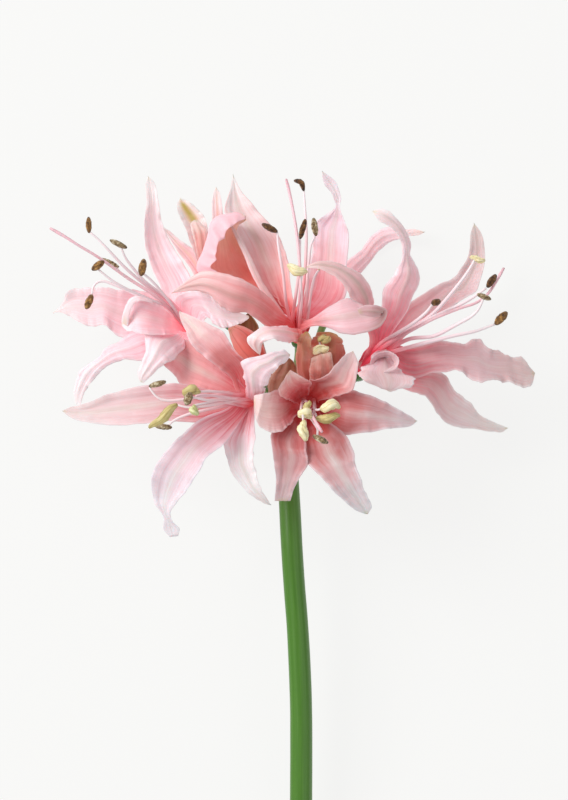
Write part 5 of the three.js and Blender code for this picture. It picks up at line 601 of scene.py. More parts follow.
"C_tepal_arch":{"cup":1.6,"rails":[[[28.17,11.74,-7.16],[29.05,13.23,-5.87],[29.63,15.17,-5.05],[30.64,17.63,-4.66],[31.85,20.0,-4.19],[32.09,21.7,-2.54],[32.01,23.46,-0.57],[31.46,25.15,1.43],[30.66,26.68,3.48],[29.76,28.08,5.64],[28.84,29.45,7.83],[28.16,30.97,9.99],[27.55,32.55,12.15],[26.76,34.08,14.28],[25.86,35.7,16.23],[24.67,37.42,17.73],[23.48,39.3,18.96],[22.24,41.24,19.96],[20.88,43.14,20.82],[19.21,44.84,21.44],[17.32,46.35,21.7],[15.06,47.28,21.82],[12.75,48.11,21.84],[10.26,48.38,21.54],[7.71,48.46,21.0]],
[[28.29,14.46,-9.73],[30.59,16.57,-8.82],[33.32,18.56,-7.72],[35.75,19.95,-6.11],[37.58,21.26,-4.49],[37.48,23.33,-3.03],[36.67,25.5,-1.43],[35.93,27.54,0.29],[35.22,29.5,2.06],[34.47,31.36,3.91],[33.75,33.15,5.84],[33.33,35.04,7.71],[33.04,37.05,9.51],[32.66,39.1,11.25],[32.23,41.31,12.87],[31.08,43.57,14.17],[29.46,45.66,15.25],[27.16,47.28,16.26],[24.69,48.71,17.24],[21.96,49.75,18.15],[19.13,50.6,18.98],[16.19,50.93,19.72],[13.2,50.92,20.29],[10.32,50.09,20.7],[7.71,48.46,21.0]]]},
"D_tepal_up":{"cup":-1.8,"rails":[[[-10.22,1.29,8.64],[-11.77,1.45,10.62],[-13.59,1.44,12.62],[-15.09,1.32,14.8],[-16.18,1.34,16.99],[-17.53,3.04,16.85],[-18.37,4.98,17.27],[-18.95,7.06,18.16],[-19.94,8.62,19.35],[-21.23,9.71,20.59],[-22.61,10.77,21.79],[-24.17,11.97,22.79],[-25.84,13.24,23.63],[-27.58,14.56,24.31],[-29.37,15.95,24.49],[-31.03,17.46,24.42],[-32.62,19.01,24.27],[-34.06,20.68,23.96],[-35.08,22.48,23.19],[-35.72,24.37,22.05],[-36.52,26.12,20.83],[-37.34,27.8,19.56],[-38.02,29.47,18.15],[-38.49,31.17,16.62],[-38.78,32.87,15.0]],
[[-7.18,0.36,10.04],[-8.03,1.18,11.85],[-8.92,2.09,13.61],[-9.91,3.01,15.32],[-11.01,3.92,17.02],[-11.55,6.26,18.03],[-12.13,8.49,19.29],[-12.73,10.65,20.76],[-13.51,12.55,22.38],[-14.3,14.22,23.88],[-15.44,15.69,25.14],[-17.04,17.12,26.0],[-18.52,18.77,26.7],[-19.67,20.74,27.32],[-20.8,22.85,27.45],[-22.09,24.81,27.08],[-24.02,26.07,26.41],[-26.11,27.12,25.55],[-28.09,28.13,24.38],[-29.94,29.08,22.98],[-31.75,29.94,21.53],[-33.54,30.78,20.03],[-35.31,31.54,18.43],[-37.07,32.22,16.75],[-38.78,32.87,15.0]]]},
"D_tepal_upleft":{"cup":-1.0,"rails":[[[-9.98,1.35,8.7],[-10.62,1.83,10.44],[-11.09,2.58,12.12],[-11.81,3.13,13.69],[-12.76,3.42,15.07],[-13.89,4.09,16.19],[-15.34,5.75,16.98],[-16.76,7.44,17.45],[-18.36,8.67,17.62],[-19.96,10.03,17.56],[-21.54,11.39,17.32],[-23.11,12.74,16.94],[-24.7,14.11,16.43],[-26.28,15.45,15.78],[-27.85,16.78,14.95],[-29.38,18.06,13.9],[-30.95,19.19,12.59],[-32.52,20.37,11.05],[-34.1,21.54,9.42],[-35.77,22.36,7.93],[-37.55,22.76,6.85],[-39.51,22.65,6.32],[-41.75,22.15,6.35],[-43.99,21.08,6.79],[-46.15,19.35,7.44]],
[[-12.67,-1.18,8.25],[-13.81,-1.58,9.98],[-14.64,-1.79,11.63],[-15.12,-1.61,13.1],[-15.67,-1.49,14.3],[-16.47,-1.29,15.14],[-18.18,-0.72,15.61],[-19.93,-0.16,15.76],[-21.56,0.8,15.66],[-23.24,1.43,15.39],[-24.94,1.87,15.0],[-26.65,2.27,14.53],[-28.39,2.62,13.98],[-30.12,2.94,13.35],[-31.82,3.31,12.6],[-33.45,3.73,11.67],[-35.06,4.02,10.52],[-36.55,4.46,9.19],[-37.94,5.24,7.8],[-39.14,6.63,6.57],[-40.26,8.42,5.76],[-41.53,9.97,5.52],[-42.97,11.3,5.82],[-44.5,12.84,6.53],[-46.15,14.52,7.44]]]},
"D_tepal_left":{"cup":-1.8,"rails":[[[-12.46,-0.52,8.18],[-13.65,0.88,11.42],[-14.86,2.02,14.86],[-16.55,2.93,17.25],[-19.53,3.37,18.13],[-22.8,3.28,18.91],[-26.21,3.64,19.35],[-29.67,4.28,19.56],[-33.1,5.08,19.7],[-36.53,5.83,19.74],[-39.94,6.25,19.56],[-43.32,6.08,18.95],[-46.65,5.87,18.1],[-49.95,5.59,17.16],[-53.13,5.17,16.03],[-56.19,4.55,14.74],[-59.19,3.85,13.4],[-62.19,3.05,12.03],[-65.14,2.16,10.62],[-68.05,1.16,9.18],[-70.9,-0.1,7.73],[-73.83,-1.18,6.31],[-76.84,-1.98,4.92],[-79.97,-2.71,3.5],[-83.08,-4.12,2.0]],
[[-11.88,-4.09,9.26],[-12.85,-3.85,12.33],[-13.73,-3.86,15.29],[-15.84,-3.84,17.66],[-19.32,-4.75,19.05],[-22.63,-5.2,20.11],[-25.91,-6.22,20.97],[-29.17,-7.66,21.66],[-32.57,-8.21,22.16],[-36.01,-8.0,22.28],[-39.44,-7.81,22.07],[-42.82,-7.7,21.61],[-46.14,-7.84,20.97],[-49.38,-8.48,20.16],[-52.56,-8.92,18.96],[-55.69,-9.13,17.45],[-58.79,-9.23,15.84],[-61.91,-9.24,14.24],[-65.02,-9.19,12.59],[-68.12,-9.03,10.88],[-71.24,-8.68,9.14],[-74.36,-8.13,7.41],[-77.43,-7.48,5.69],[-80.3,-6.13,3.91],[-83.08,-4.12,2.0]]]},
"D_tepal_downleft":{"cup":-1.8,"rails":[[[-12.16,-3.84,9.09],[-14.1,-2.31,11.81],[-15.7,-0.73,14.87],[-17.15,-0.17,17.55],[-18.95,-1.54,19.54],[-20.72,-3.03,21.58],[-23.1,-4.09,23.45],[-25.8,-4.96,25.2],[-28.42,-6.0,26.89],[-31.01,-7.41,28.41],[-33.6,-9.2,29.51],[-35.98,-11.39,30.34],[-38.38,-13.65,30.94],[-40.77,-16.1,31.1],[-42.97,-18.72,30.89],[-45.03,-21.41,30.48],[-46.83,-24.24,29.94],[-47.99,-27.25,29.04],[-48.44,-30.48,28.05],[-48.42,-33.93,27.26],[-47.6,-37.46,26.65],[-45.36,-40.47,26.22],[-43.96,-43.51,26.09],[-44.01,-47.06,26.03],[-41.64,-50.04,26.0]],
[[-9.01,-4.8,10.54],[-10.21,-4.07,13.04],[-11.49,-3.35,15.44],[-12.78,-3.49,17.9],[-13.95,-5.29,20.41],[-15.26,-7.07,22.77],[-16.61,-8.94,25.03],[-17.88,-10.94,27.26],[-19.18,-12.87,29.5],[-20.61,-14.82,31.5],[-22.45,-16.76,32.91],[-24.86,-18.22,33.9],[-27.14,-19.92,34.6],[-28.79,-22.27,34.81],[-30.15,-24.82,34.61],[-31.73,-27.21,34.2],[-33.33,-29.57,33.64],[-34.81,-31.95,32.64],[-36.37,-34.26,31.43],[-38.34,-36.49,30.28],[-40.46,-38.87,29.21],[-41.62,-41.81,28.2],[-40.44,-44.41,27.39],[-38.32,-46.73,26.67],[-38.72,-49.67,26.0]]]},
"D_tepal_down":{"cup":-1.2,"rails":[[[-9.16,-4.8,10.49],[-10.54,-4.13,12.35],[-11.89,-3.45,14.21],[-13.39,-2.82,16.07],[-14.63,-3.33,17.65],[-15.43,-4.98,18.94],[-16.2,-6.63,20.18],[-17.15,-8.34,21.37],[-18.34,-10.16,22.36],[-19.67,-12.08,23.21],[-21.02,-14.08,23.95],[-21.72,-16.21,24.51],[-21.3,-18.49,24.97],[-20.9,-20.77,25.34],[-20.62,-23.14,25.5],[-20.05,-25.45,25.41],[-18.66,-27.44,25.18],[-17.21,-29.37,24.89],[-15.67,-31.24,24.56],[-14.09,-33.03,24.12],[-12.31,-34.53,23.59],[-10.5,-35.92,22.93],[-8.66,-37.12,22.09],[-6.82,-38.15,21.11],[-4.78,-38.59,20.0]],
[[-6.81,-2.57,10.89],[-7.82,-2.18,12.63],[-8.9,-1.84,14.38],[-9.96,-1.47,16.13],[-10.63,-2.01,17.91],[-10.82,-3.48,19.68],[-10.85,-5.03,21.37],[-10.77,-6.73,22.91],[-10.81,-8.58,24.22],[-10.74,-10.48,25.4],[-10.51,-12.44,26.45],[-10.3,-14.45,27.23],[-10.75,-16.38,27.81],[-11.2,-18.33,28.28],[-11.29,-20.35,28.49],[-11.23,-22.4,28.31],[-10.77,-24.39,27.85],[-10.22,-26.35,27.29],[-9.8,-28.36,26.68],[-9.31,-30.32,25.94],[-8.44,-32.1,25.07],[-7.55,-33.82,24.06],[-6.64,-35.46,22.86],[-5.73,-37.04,21.5],[-4.78,-38.59,20.0]]]},
"D_tepal_front":{"cup":1.4,"rails":[[[-7.38,0.77,9.86],[-9.28,1.41,11.57],[-11.43,1.46,13.44],[-12.93,0.92,15.49],[-13.71,0.61,17.51],[-14.08,0.84,19.43],[-13.97,1.76,21.39],[-14.02,2.66,23.29],[-14.06,3.58,24.99],[-14.11,4.54,26.39],[-14.09,5.52,27.81],[-14.05,6.5,29.68],[-14.12,7.61,32.02],[-14.38,8.83,34.32],[-14.78,10.23,36.28],[-15.31,11.97,37.9],[-15.94,13.95,39.37],[-13.91,14.81,40.38],[-11.13,15.42,40.48],[-8.39,15.8,40.49],[-6.08,16.73,39.87],[-4.19,17.42,38.64],[-2.21,17.94,37.46],[0.01,18.03,36.33],[2.17,16.65,35.0]],
[[-6.83,-2.65,10.9],[-7.33,-1.94,12.62],[-7.86,-1.1,14.3],[-8.48,-0.24,15.98],[-9.28,0.58,17.67],[-9.89,1.19,19.46],[-9.45,1.4,21.51],[-8.86,1.61,23.5],[-8.31,1.82,25.29],[-7.78,2.07,26.79],[-7.33,2.43,28.29],[-7.02,2.98,30.26],[-6.87,3.7,32.69],[-6.72,4.51,35.12],[-6.43,5.37,37.22],[-5.98,6.36,38.91],[-5.35,7.4,40.39],[-4.71,8.71,41.4],[-3.79,10.02,41.5],[-2.49,10.96,41.5],[-1.66,12.21,40.76],[-0.76,13.0,39.3],[0.33,13.64,37.9],[1.34,14.52,36.57],[2.17,15.92,35.0]]]},
"E_tepal_upleft":{"cup":-1.8,"rails":[[[5.17,-0.77,5.84],[4.82,-1.28,7.3],[4.5,-1.86,8.74],[4.79,-2.04,10.07],[5.01,-2.27,11.41],[5.22,-2.48,12.77],[5.66,-2.26,14.12],[5.36,-1.66,15.52],[4.92,-1.35,16.92],[4.37,-1.17,18.32],[3.89,-0.96,19.75],[3.49,-0.72,21.2],[3.0,-0.53,22.66],[2.44,-0.41,24.03],[1.87,-0.19,25.32],[1.3,0.08,26.61],[0.69,0.38,27.92],[0.0,0.73,29.21],[-0.73,1.09,30.43],[-1.43,1.54,31.61],[-1.63,2.56,32.71],[-1.81,3.99,33.45],[-1.15,5.68,33.96],[-0.16,7.51,33.77],[0.73,9.07,33.0]],
[[8.54,1.0,5.22],[9.05,1.38,6.63],[9.59,1.9,8.05],[9.48,1.97,9.58],[9.44,2.1,11.1],[9.41,2.21,12.61],[9.42,2.33,14.12],[9.27,2.05,15.52],[8.93,1.9,16.92],[8.94,2.14,18.32],[9.14,2.57,19.75],[9.37,3.03,21.2],[9.57,3.53,22.66],[9.63,4.07,24.03],[9.69,4.6,25.32],[9.78,5.16,26.61],[9.91,5.8,27.92],[9.87,6.43,29.21],[9.41,6.89,30.43],[8.69,7.27,31.61],[7.72,7.7,32.71],[6.53,8.31,33.45],[5.12,9.16,33.96],[3.55,10.09,33.77],[2.18,10.88,33.0]]]},
"E_tepal_upright":{"cup":-2.0,"rails":[[[7.88,1.09,5.26],[7.22,1.65,7.22],[7.01,1.95,9.2],[7.15,2.03,11.2],[7.19,2.16,13.18],[7.38,2.61,15.14],[8.07,3.01,17.04],[8.49,3.58,18.89],[8.76,4.29,20.7],[8.93,5.08,22.59],[8.97,5.99,24.53],[9.02,6.92,26.47],[9.84,7.3,28.27],[11.11,7.44,29.95],[12.56,7.65,31.51],[13.86,8.22,32.91],[15.05,9.01,34.17],[16.45,10.04,34.8],[17.64,11.38,34.94],[18.78,12.8,34.98],[19.84,14.03,34.03],[20.85,15.04,32.53],[21.95,16.09,31.09],[23.49,17.02,29.56],[25.15,17.86,28.0]],
[[11.35,-1.06,5.38],[12.19,-1.46,7.35],[12.55,-1.6,9.29],[12.57,-1.51,11.23],[12.71,-1.48,13.18],[12.8,-1.17,15.04],[12.8,-0.52,16.84],[13.3,-0.14,18.61],[14.14,0.02,20.32],[15.09,0.14,22.09],[16.11,0.28,23.92],[17.15,0.48,25.73],[18.16,0.83,27.42],[19.27,1.2,29.03],[20.58,1.64,30.48],[22.14,2.13,31.73],[23.85,2.73,32.79],[25.26,4.12,33.2],[25.92,6.28,33.13],[26.21,8.54,32.98],[26.56,10.51,32.25],[26.92,12.19,31.22],[27.05,13.95,30.21],[26.19,15.89,29.12],[25.15,17.86,28.0]]]},
"E_tepal_right":{"cup":-2.0,"rails":[[[10.97,-0.5,5.3],[10.94,0.39,7.68],[10.84,1.31,10.11],[10.79,1.46,12.64],[11.58,1.62,14.81],[13.08,1.51,16.69],[14.53,1.74,18.57],[16.08,2.11,20.39],[17.73,2.48,22.06],[19.46,2.83,23.62],[21.28,3.27,25.09],[23.31,3.78,26.21],[25.52,3.67,26.8],[27.7,2.84,27.19],[29.93,2.11,27.44],[32.19,1.47,27.37],[34.34,0.63,26.83],[36.41,-0.31,26.09],[38.42,-1.3,25.24],[40.25,-2.34,24.19],[42.0,-3.37,23.05],[43.75,-4.39,21.89],[45.49,-5.41,20.7],[47.22,-6.52,19.41],[48.98,-7.73,18.0]],
[[10.88,-4.06,5.97],[11.09,-4.03,8.27],[11.33,-4.17,10.55],[11.64,-4.57,12.8],[11.95,-5.08,15.11],[12.53,-6.12,17.44],[13.35,-6.79,19.61],[14.28,-7.91,21.74],[15.51,-9.08,23.74],[16.98,-10.14,25.61],[18.54,-11.26,27.39],[20.43,-12.29,28.86],[22.65,-12.81,29.74],[25.1,-12.45,30.25],[27.57,-12.06,30.47],[30.01,-11.8,30.31],[32.38,-11.56,29.55],[34.68,-11.05,28.51],[36.94,-10.6,27.38],[39.11,-10.44,26.04],[41.22,-10.32,24.59],[43.31,-10.12,23.09],[45.38,-9.8,21.54],[47.31,-9.12,19.85],[48.98,-7.73,18.0]]]},
"E_tepal_downright":{"cup":-1.8,"rails":[[[7.98,-5.46,6.48],[7.69,-5.02,9.04],[7.11,-4.66,11.56],[7.01,-4.07,14.0],[6.81,-5.57,16.01],[7.06,-6.93,18.14],[7.03,-8.46,20.26],[6.86,-10.13,22.32],[6.86,-11.91,24.3],[6.85,-13.71,26.17],[6.89,-15.56,27.78],[6.99,-17.57,29.01],[7.12,-19.86,30.08],[7.64,-22.14,31.43],[9.22,-24.11,33.07],[11.32,-25.95,34.21],[13.48,-27.99,34.64],[15.47,-29.94,34.79],[17.19,-32.03,34.79],[18.89,-34.01,34.28],[20.72,-35.72,33.36],[22.56,-37.37,32.38],[24.45,-38.98,31.45],[26.55,-40.38,30.4],[29.49,-41.51,29.0]],
[[11.25,-3.74,5.89],[12.09,-2.89,8.49],[12.55,-2.27,11.23],[12.58,-1.85,14.0],[12.91,-3.17,16.55],[13.15,-4.55,18.89],[14.08,-5.71,21.25],[15.29,-6.81,23.59],[16.62,-7.89,25.85],[17.98,-8.99,27.97],[19.42,-10.08,29.83],[21.05,-11.22,31.33],[22.59,-12.79,32.7],[23.76,-14.84,34.34],[24.63,-17.09,36.17],[25.51,-19.53,37.28],[25.54,-22.29,37.43],[26.27,-24.92,37.33],[27.29,-27.39,37.1],[28.24,-29.8,36.31],[29.11,-32.13,35.06],[30.09,-34.36,33.73],[31.11,-36.61,32.43],[31.77,-38.98,30.97],[30.59,-41.51,29.0]]]},
"E_tepal_downleft":{"cup":-1.8,"rails":[[[5.01,-3.48,6.36],[4.4,-2.52,8.49],[4.29,-1.9,10.65],[4.51,-1.47,12.79],[4.17,-1.66,14.7],[3.31,-2.66,16.35],[2.46,-3.67,17.96],[1.99,-4.9,19.57],[1.1,-6.06,21.15],[-0.04,-7.22,22.77],[-1.26,-8.44,24.33],[-2.65,-9.75,25.78],[-4.17,-11.28,27.05],[-4.82,-13.3,28.3],[-4.68,-15.63,29.46],[-4.18,-18.07,29.8],[-4.0,-20.41,29.27],[-3.74,-22.72,28.43],[-3.38,-24.99,27.68],[-3.18,-27.15,26.86],[-3.05,-29.2,25.93],[-2.97,-31.24,25.0],[-3.06,-33.23,24.04],[-3.18,-35.15,23.04],[-3.3,-37.04,22.0]],
[[8.47,-5.6,6.48],[9.22,-5.49,8.6],[9.74,-5.21,10.71],[9.77,-4.64,12.82],[9.92,-4.73,15.0],[9.18,-5.28,17.07],[8.46,-6.07,18.93],[8.32,-7.2,20.74],[8.39,-8.52,22.6],[8.36,-9.97,24.52],[8.24,-11.51,26.39],[8.11,-13.17,28.15],[8.01,-15.0,29.77],[8.03,-16.93,31.32],[8.23,-18.94,32.63],[8.71,-21.1,33.02],[8.75,-23.2,32.33],[7.71,-25.09,31.11],[6.43,-26.91,29.92],[5.47,-28.68,28.74],[4.69,-30.37,27.49],[3.88,-32.04,26.2],[3.19,-33.7,24.86],[2.68,-35.38,23.46],[2.2,-37.04,22.0]]]},
"E_tepal_left":{"cup":-1.8,"rails":[[[5.49,-0.28,5.73],[5.66,0.55,7.27],[5.82,1.41,8.85],[5.97,1.54,10.56],[6.12,1.76,12.23],[6.28,1.89,13.89],[5.69,1.57,15.29],[5.07,1.61,16.68],[4.43,1.76,18.1],[3.79,1.93,19.58],[3.11,2.11,21.05],[2.41,2.29,22.42],[1.7,2.44,23.63],[1.0,2.55,24.81],[0.24,2.67,26.01],[-0.61,2.84,27.14],[-1.56,3.21,28.12],[-2.45,3.64,28.98],[-3.45,3.65,29.78],[-4.65,3.12,30.53],[-5.94,2.69,31.36],[-7.33,2.35,32.06],[-8.75,2.15,31.81],[-9.91,1.79,30.41],[-10.93,1.46,28.8]],
[[5.4,-4.07,6.44],[5.56,-4.46,8.02],[5.73,-4.91,9.57],[5.91,-4.62,10.99],[6.09,-4.42,12.45],[6.28,-4.23,13.92],[5.94,-4.96,15.48],[5.49,-5.45,17.02],[4.98,-5.59,18.54],[4.45,-5.86,20.11],[3.91,-6.44,21.69],[3.35,-7.3,23.17],[2.76,-8.22,24.51],[1.96,-9.0,25.81],[1.11,-9.83,27.15],[0.15,-10.78,28.45],[-1.0,-11.58,29.7],[-2.44,-11.78,30.89],[-4.12,-11.8,31.85],[-5.93,-11.24,32.34],[-7.72,-10.46,32.85],[-9.21,-8.91,33.29],[-10.1,-7.0,32.71],[-10.54,-5.21,30.86],[-10.93,-3.64,28.8]]]},
"F_tepal_left":{"cup":1.4,"rails":[[[7.12,3.0,1.0],[6.87,3.81,1.64],[6.62,4.63,2.28],[6.37,5.45,2.94],[6.12,6.27,3.6],[5.87,7.07,4.28],[5.63,7.84,4.96],[5.4,8.6,5.62],[5.16,9.38,6.24],[4.92,10.24,6.8],[4.79,11.18,7.25],[4.73,12.19,7.6],[4.67,13.24,7.88],[4.6,14.39,8.16],[4.53,15.59,8.52],[4.49,16.78,9.03],[4.56,17.97,9.66],[4.64,19.14,10.32],[4.73,20.21,10.83],[4.8,21.22,10.99],[5.15,22.15,10.7],[5.58,23.06,9.97],[6.18,23.94,8.89],[7.01,24.66,7.62],[7.83,25.34,6.26]],
[[10.28,3.79,1.0],[10.82,4.61,2.18],[11.47,5.42,3.36],[11.94,6.18,4.52],[12.21,6.92,5.66],[12.3,7.65,6.76],[12.18,8.38,7.83],[12.0,9.09,8.85],[11.82,9.82,9.8],[11.64,10.62,10.64],[11.48,11.48,11.35],[11.35,12.4,11.92],[11.25,13.37,12.34],[11.2,14.41,12.66],[11.33,15.51,12.96],[11.63,16.62,13.27],[11.46,17.71,13.6],[10.75,18.81,13.85],[10.15,19.85,13.89],[10.06,20.81,13.57],[10.19,21.75,12.78],[10.34,22.7,11.54],[9.99,23.6,9.95],[9.47,24.48,8.15],[8.94,25.34,6.26]]]},
"F_tepal_front":{"cup":1.6,"rails":[[[9.69,2.99,2.0],[9.6,3.35,2.89],[9.43,3.72,3.77],[9.34,4.09,4.66],[9.37,4.46,5.53],[9.44,4.85,6.41],[9.52,5.24,7.28],[9.6,5.64,8.14],[9.68,6.04,9.01],[9.71,6.42,9.89],[9.69,6.84,10.76],[9.64,7.27,11.62],[9.6,7.76,12.45],[9.54,8.34,13.19],[9.49,8.96,13.87],[9.43,9.62,14.48],[9.37,10.38,14.92],[9.39,11.2,14.95],[9.54,12.03,14.71],[9.72,12.82,14.38],[9.87,13.6,14.08],[10.03,14.3,13.82],[10.2,14.91,13.65],[10.34,15.46,13.51],[10.73,15.91,13.09]],
[[12.72,2.99,2.0],[13.03,3.36,2.89],[13.33,3.73,3.77],[13.64,4.1,4.66],[13.96,4.48,5.53],[14.29,4.87,6.41],[14.62,5.27,7.28],[14.96,5.67,8.14],[15.29,6.07,9.01],[15.62,6.47,9.89],[15.96,6.87,10.76],[16.31,7.3,11.62],[16.72,7.78,12.45],[17.12,8.42,13.19],[17.4,9.18,13.87],[17.7,10.0,14.48],[18.03,10.94,14.92],[18.1,12.03,14.95],[18.1,13.09,14.71],[18.11,14.11,14.38],[18.03,15.08,14.08],[17.79,15.95,13.82],[17.57,16.72,13.65],[17.31,17.38,13.51],[16.65,17.76,13.09]]]},
"F_tepal_right":{"cup":0.4,"rails":[[[12.3,3.0,1.0],[11.56,3.97,0.45],[11.07,5.01,-0.35],[11.22,5.97,-0.77],[11.33,6.96,-1.14],[11.41,7.95,-1.51],[11.46,8.96,-1.97],[11.23,9.95,-2.55],[10.59,10.97,-3.53],[10.4,11.89,-3.99],[10.21,12.79,-4.3],[10.01,13.71,-4.56],[9.76,14.64,-4.85],[9.48,15.62,-5.27],[9.03,16.63,-5.84],[8.51,17.64,-6.3],[8.25,18.59,-6.26],[8.38,19.51,-5.68],[8.84,20.42,-5.06],[9.3,21.35,-4.61],[9.72,22.28,-4.21],[10.32,23.13,-3.84],[11.12,23.95,-3.53],[11.98,24.77,-3.26],[12.79,25.58,-3.0]],
[[14.24,3.0,1.0],[14.65,3.76,1.63],[15.07,4.53,2.24],[15.51,5.32,2.83],[15.95,6.14,3.39],[16.4,6.97,3.92],[16.87,7.81,4.41],[17.35,8.69,4.89],[17.79,9.6,5.34],[17.9,10.57,5.73],[17.89,11.56,6.04],[17.89,12.54,6.33],[17.88,13.52,6.61],[17.88,14.49,6.83],[17.83,15.45,6.96],[17.77,16.4,6.98],[17.7,17.35,6.89],[17.64,18.3,6.71],[17.57,19.25,6.46],[17.53,20.21,6.18],[17.52,21.16,5.85],[17.53,22.16,5.39],[17.45,23.24,4.73],[17.16,24.34,3.91],[16.82,25.42,3.0]],
[[16.13,3.0,1.0],[17.35,3.78,1.89],[18.62,4.6,2.85],[19.09,5.43,3.58],[19.59,6.27,4.04],[20.11,7.14,4.18],[20.63,8.02,4.09],[21.12,8.94,3.96],[22.15,9.89,3.63],[22.58,10.73,3.59],[22.97,11.62,3.54],[23.21,12.54,3.5],[22.46,13.47,4.0],[22.06,14.41,4.35],[22.26,15.35,4.36],[22.47,16.31,4.27],[22.61,17.29,4.2],[22.73,18.27,4.13],[22.6,19.24,4.05],[22.33,20.19,3.96],[22.05,21.14,3.85],[21.73,22.11,3.7],[21.08,23.01,3.5],[20.26,23.85,3.26],[19.44,24.68,3.0]]]},
"G_tepal_hood":{"cup":-2.0,"rails":[[[-23.85,32.7,-26.0],[-24.72,34.5,-25.87],[-25.58,36.3,-25.73],[-26.44,38.09,-25.58],[-27.3,39.89,-25.44],[-28.16,41.69,-25.29],[-29.04,43.47,-25.14],[-29.93,45.24,-25.0],[-30.81,47.02,-24.85],[-31.7,48.79,-24.68],[-32.46,50.61,-24.45],[-33.11,52.47,-24.14],[-33.72,54.32,-23.75],[-34.36,56.15,-23.31],[-35.04,57.98,-22.86],[-35.74,59.8,-22.42],[-36.36,61.65,-21.98],[-36.91,63.52,-21.54],[-37.64,65.32,-21.09],[-38.51,67.08,-20.63],[-39.35,68.85,-20.17],[-40.14,70.66,-19.71],[-40.76,72.58,-19.22],[-40.9,74.69,-18.69],[-39.7,77.11,-18.0]],
[[-21.55,33.86,-26.0],[-21.98,35.83,-25.73],[-22.42,37.81,-25.46],[-22.85,39.78,-25.2],[-23.29,41.75,-24.93],[-23.72,43.73,-24.68],[-24.33,45.65,-24.44],[-24.99,47.55,-24.22],[-25.65,49.45,-23.99],[-26.31,51.35,-23.74],[-26.9,53.27,-23.44],[-27.39,55.2,-23.09],[-27.83,57.13,-22.69],[-28.26,59.06,-22.26],[-28.57,61.01,-21.83],[-28.83,62.99,-21.43],[-29.12,64.95,-21.05],[-29.51,66.9,-20.68],[-29.95,68.84,-20.32],[-30.79,70.58,-19.96],[-32.08,72.11,-19.6],[-33.53,73.51,-19.25],[-35.14,74.81,-18.88],[-37.03,76.02,-18.49],[-39.7,77.11,-18.0]]]},
"G_tepal_lip":{"cup":1.2,"rails":[[[-22.27,33.02,-24.0],[-22.94,34.27,-23.18],[-23.62,35.54,-22.4],[-24.31,36.83,-21.67],[-25.03,38.16,-21.02],[-25.76,39.53,-20.45],[-26.51,40.92,-19.97],[-27.27,42.35,-19.58],[-28.01,43.79,-19.23],[-28.74,45.24,-18.9],[-29.46,46.69,-18.53],[-30.18,48.14,-18.12],[-30.89,49.57,-17.69],[-31.61,51.01,-17.25],[-32.2,52.5,-16.84],[-32.66,54.07,-16.48],[-33.1,55.65,-16.14],[-33.52,57.24,-15.81],[-33.89,58.87,-15.53],[-34.23,60.51,-15.36],[-34.59,62.14,-15.31],[-34.95,63.76,-15.35],[-35.34,65.41,-15.45],[-35.56,67.08,-15.64],[-34.29,68.58,-16.0]],
[[-20.35,33.79,-24.0],[-20.78,35.09,-23.06],[-21.21,36.41,-22.16],[-21.65,37.75,-21.32],[-22.1,39.14,-20.55],[-22.57,40.56,-19.87],[-23.05,42.01,-19.3],[-23.56,43.48,-18.81],[-24.16,44.92,-18.37],[-24.83,46.34,-17.96],[-25.51,47.75,-17.54],[-26.18,49.15,-17.09],[-26.84,50.55,-16.63],[-27.5,51.95,-16.18],[-27.99,53.43,-15.79],[-28.32,54.98,-15.49],[-28.65,56.53,-15.24],[-28.82,58.11,-15.02],[-28.75,59.71,-14.84],[-28.61,61.33,-14.73],[-28.76,62.92,-14.72],[-29.18,64.48,-14.84],[-30.04,65.82,-15.07],[-31.25,67.05,-15.43],[-32.77,68.58,-16.0]]]},
"G_tepal_left":{"cup":-1.2,"rails":[[[-25.42,31.58,-27.0],[-26.23,33.0,-27.85],[-27.06,34.43,-28.66],[-27.89,35.87,-29.45],[-28.72,37.32,-30.2],[-29.57,38.79,-30.91],[-30.42,40.27,-31.61],[-31.26,41.74,-32.31],[-32.1,43.24,-32.96],[-32.94,44.76,-33.53],[-33.79,46.32,-33.96],[-34.66,47.89,-34.29],[-35.52,49.47,-34.57],[-36.43,51.04,-34.8],[-37.46,52.53,-34.95],[-38.55,53.99,-34.98],[-39.66,55.46,-34.89],[-40.76,56.93,-34.69],[-41.8,58.44,-34.41],[-42.82,59.96,-34.1],[-43.82,61.46,-33.72],[-44.78,62.94,-33.2],[-45.71,64.4,-32.56],[-46.64,65.85,-31.81],[-47.55,67.27,-31.0]],
[[-23.49,32.35,-27.0],[-24.03,33.98,-27.85],[-24.57,35.62,-28.66],[-25.12,37.28,-29.45],[-25.67,38.95,-30.2],[-26.22,40.64,-30.91],[-26.78,42.34,-31.61],[-27.34,44.03,-32.31],[-27.95,45.72,-32.96],[-28.66,47.4,-33.53],[-29.42,49.1,-33.96],[-30.2,50.82,-34.29],[-30.98,52.54,-34.57],[-31.89,54.21,-34.8],[-32.93,55.8,-34.95],[-34.0,57.4,-34.98],[-35.36,58.71,-34.89],[-36.94,59.81,-34.69],[-38.55,60.87,-34.41],[-40.16,61.93,-34.1],[-41.59,63.17,-33.72],[-42.98,64.41,-33.2],[-44.38,65.56,-32.56],[-45.98,66.43,-31.81],[-47.55,67.27,-31.0]]]},
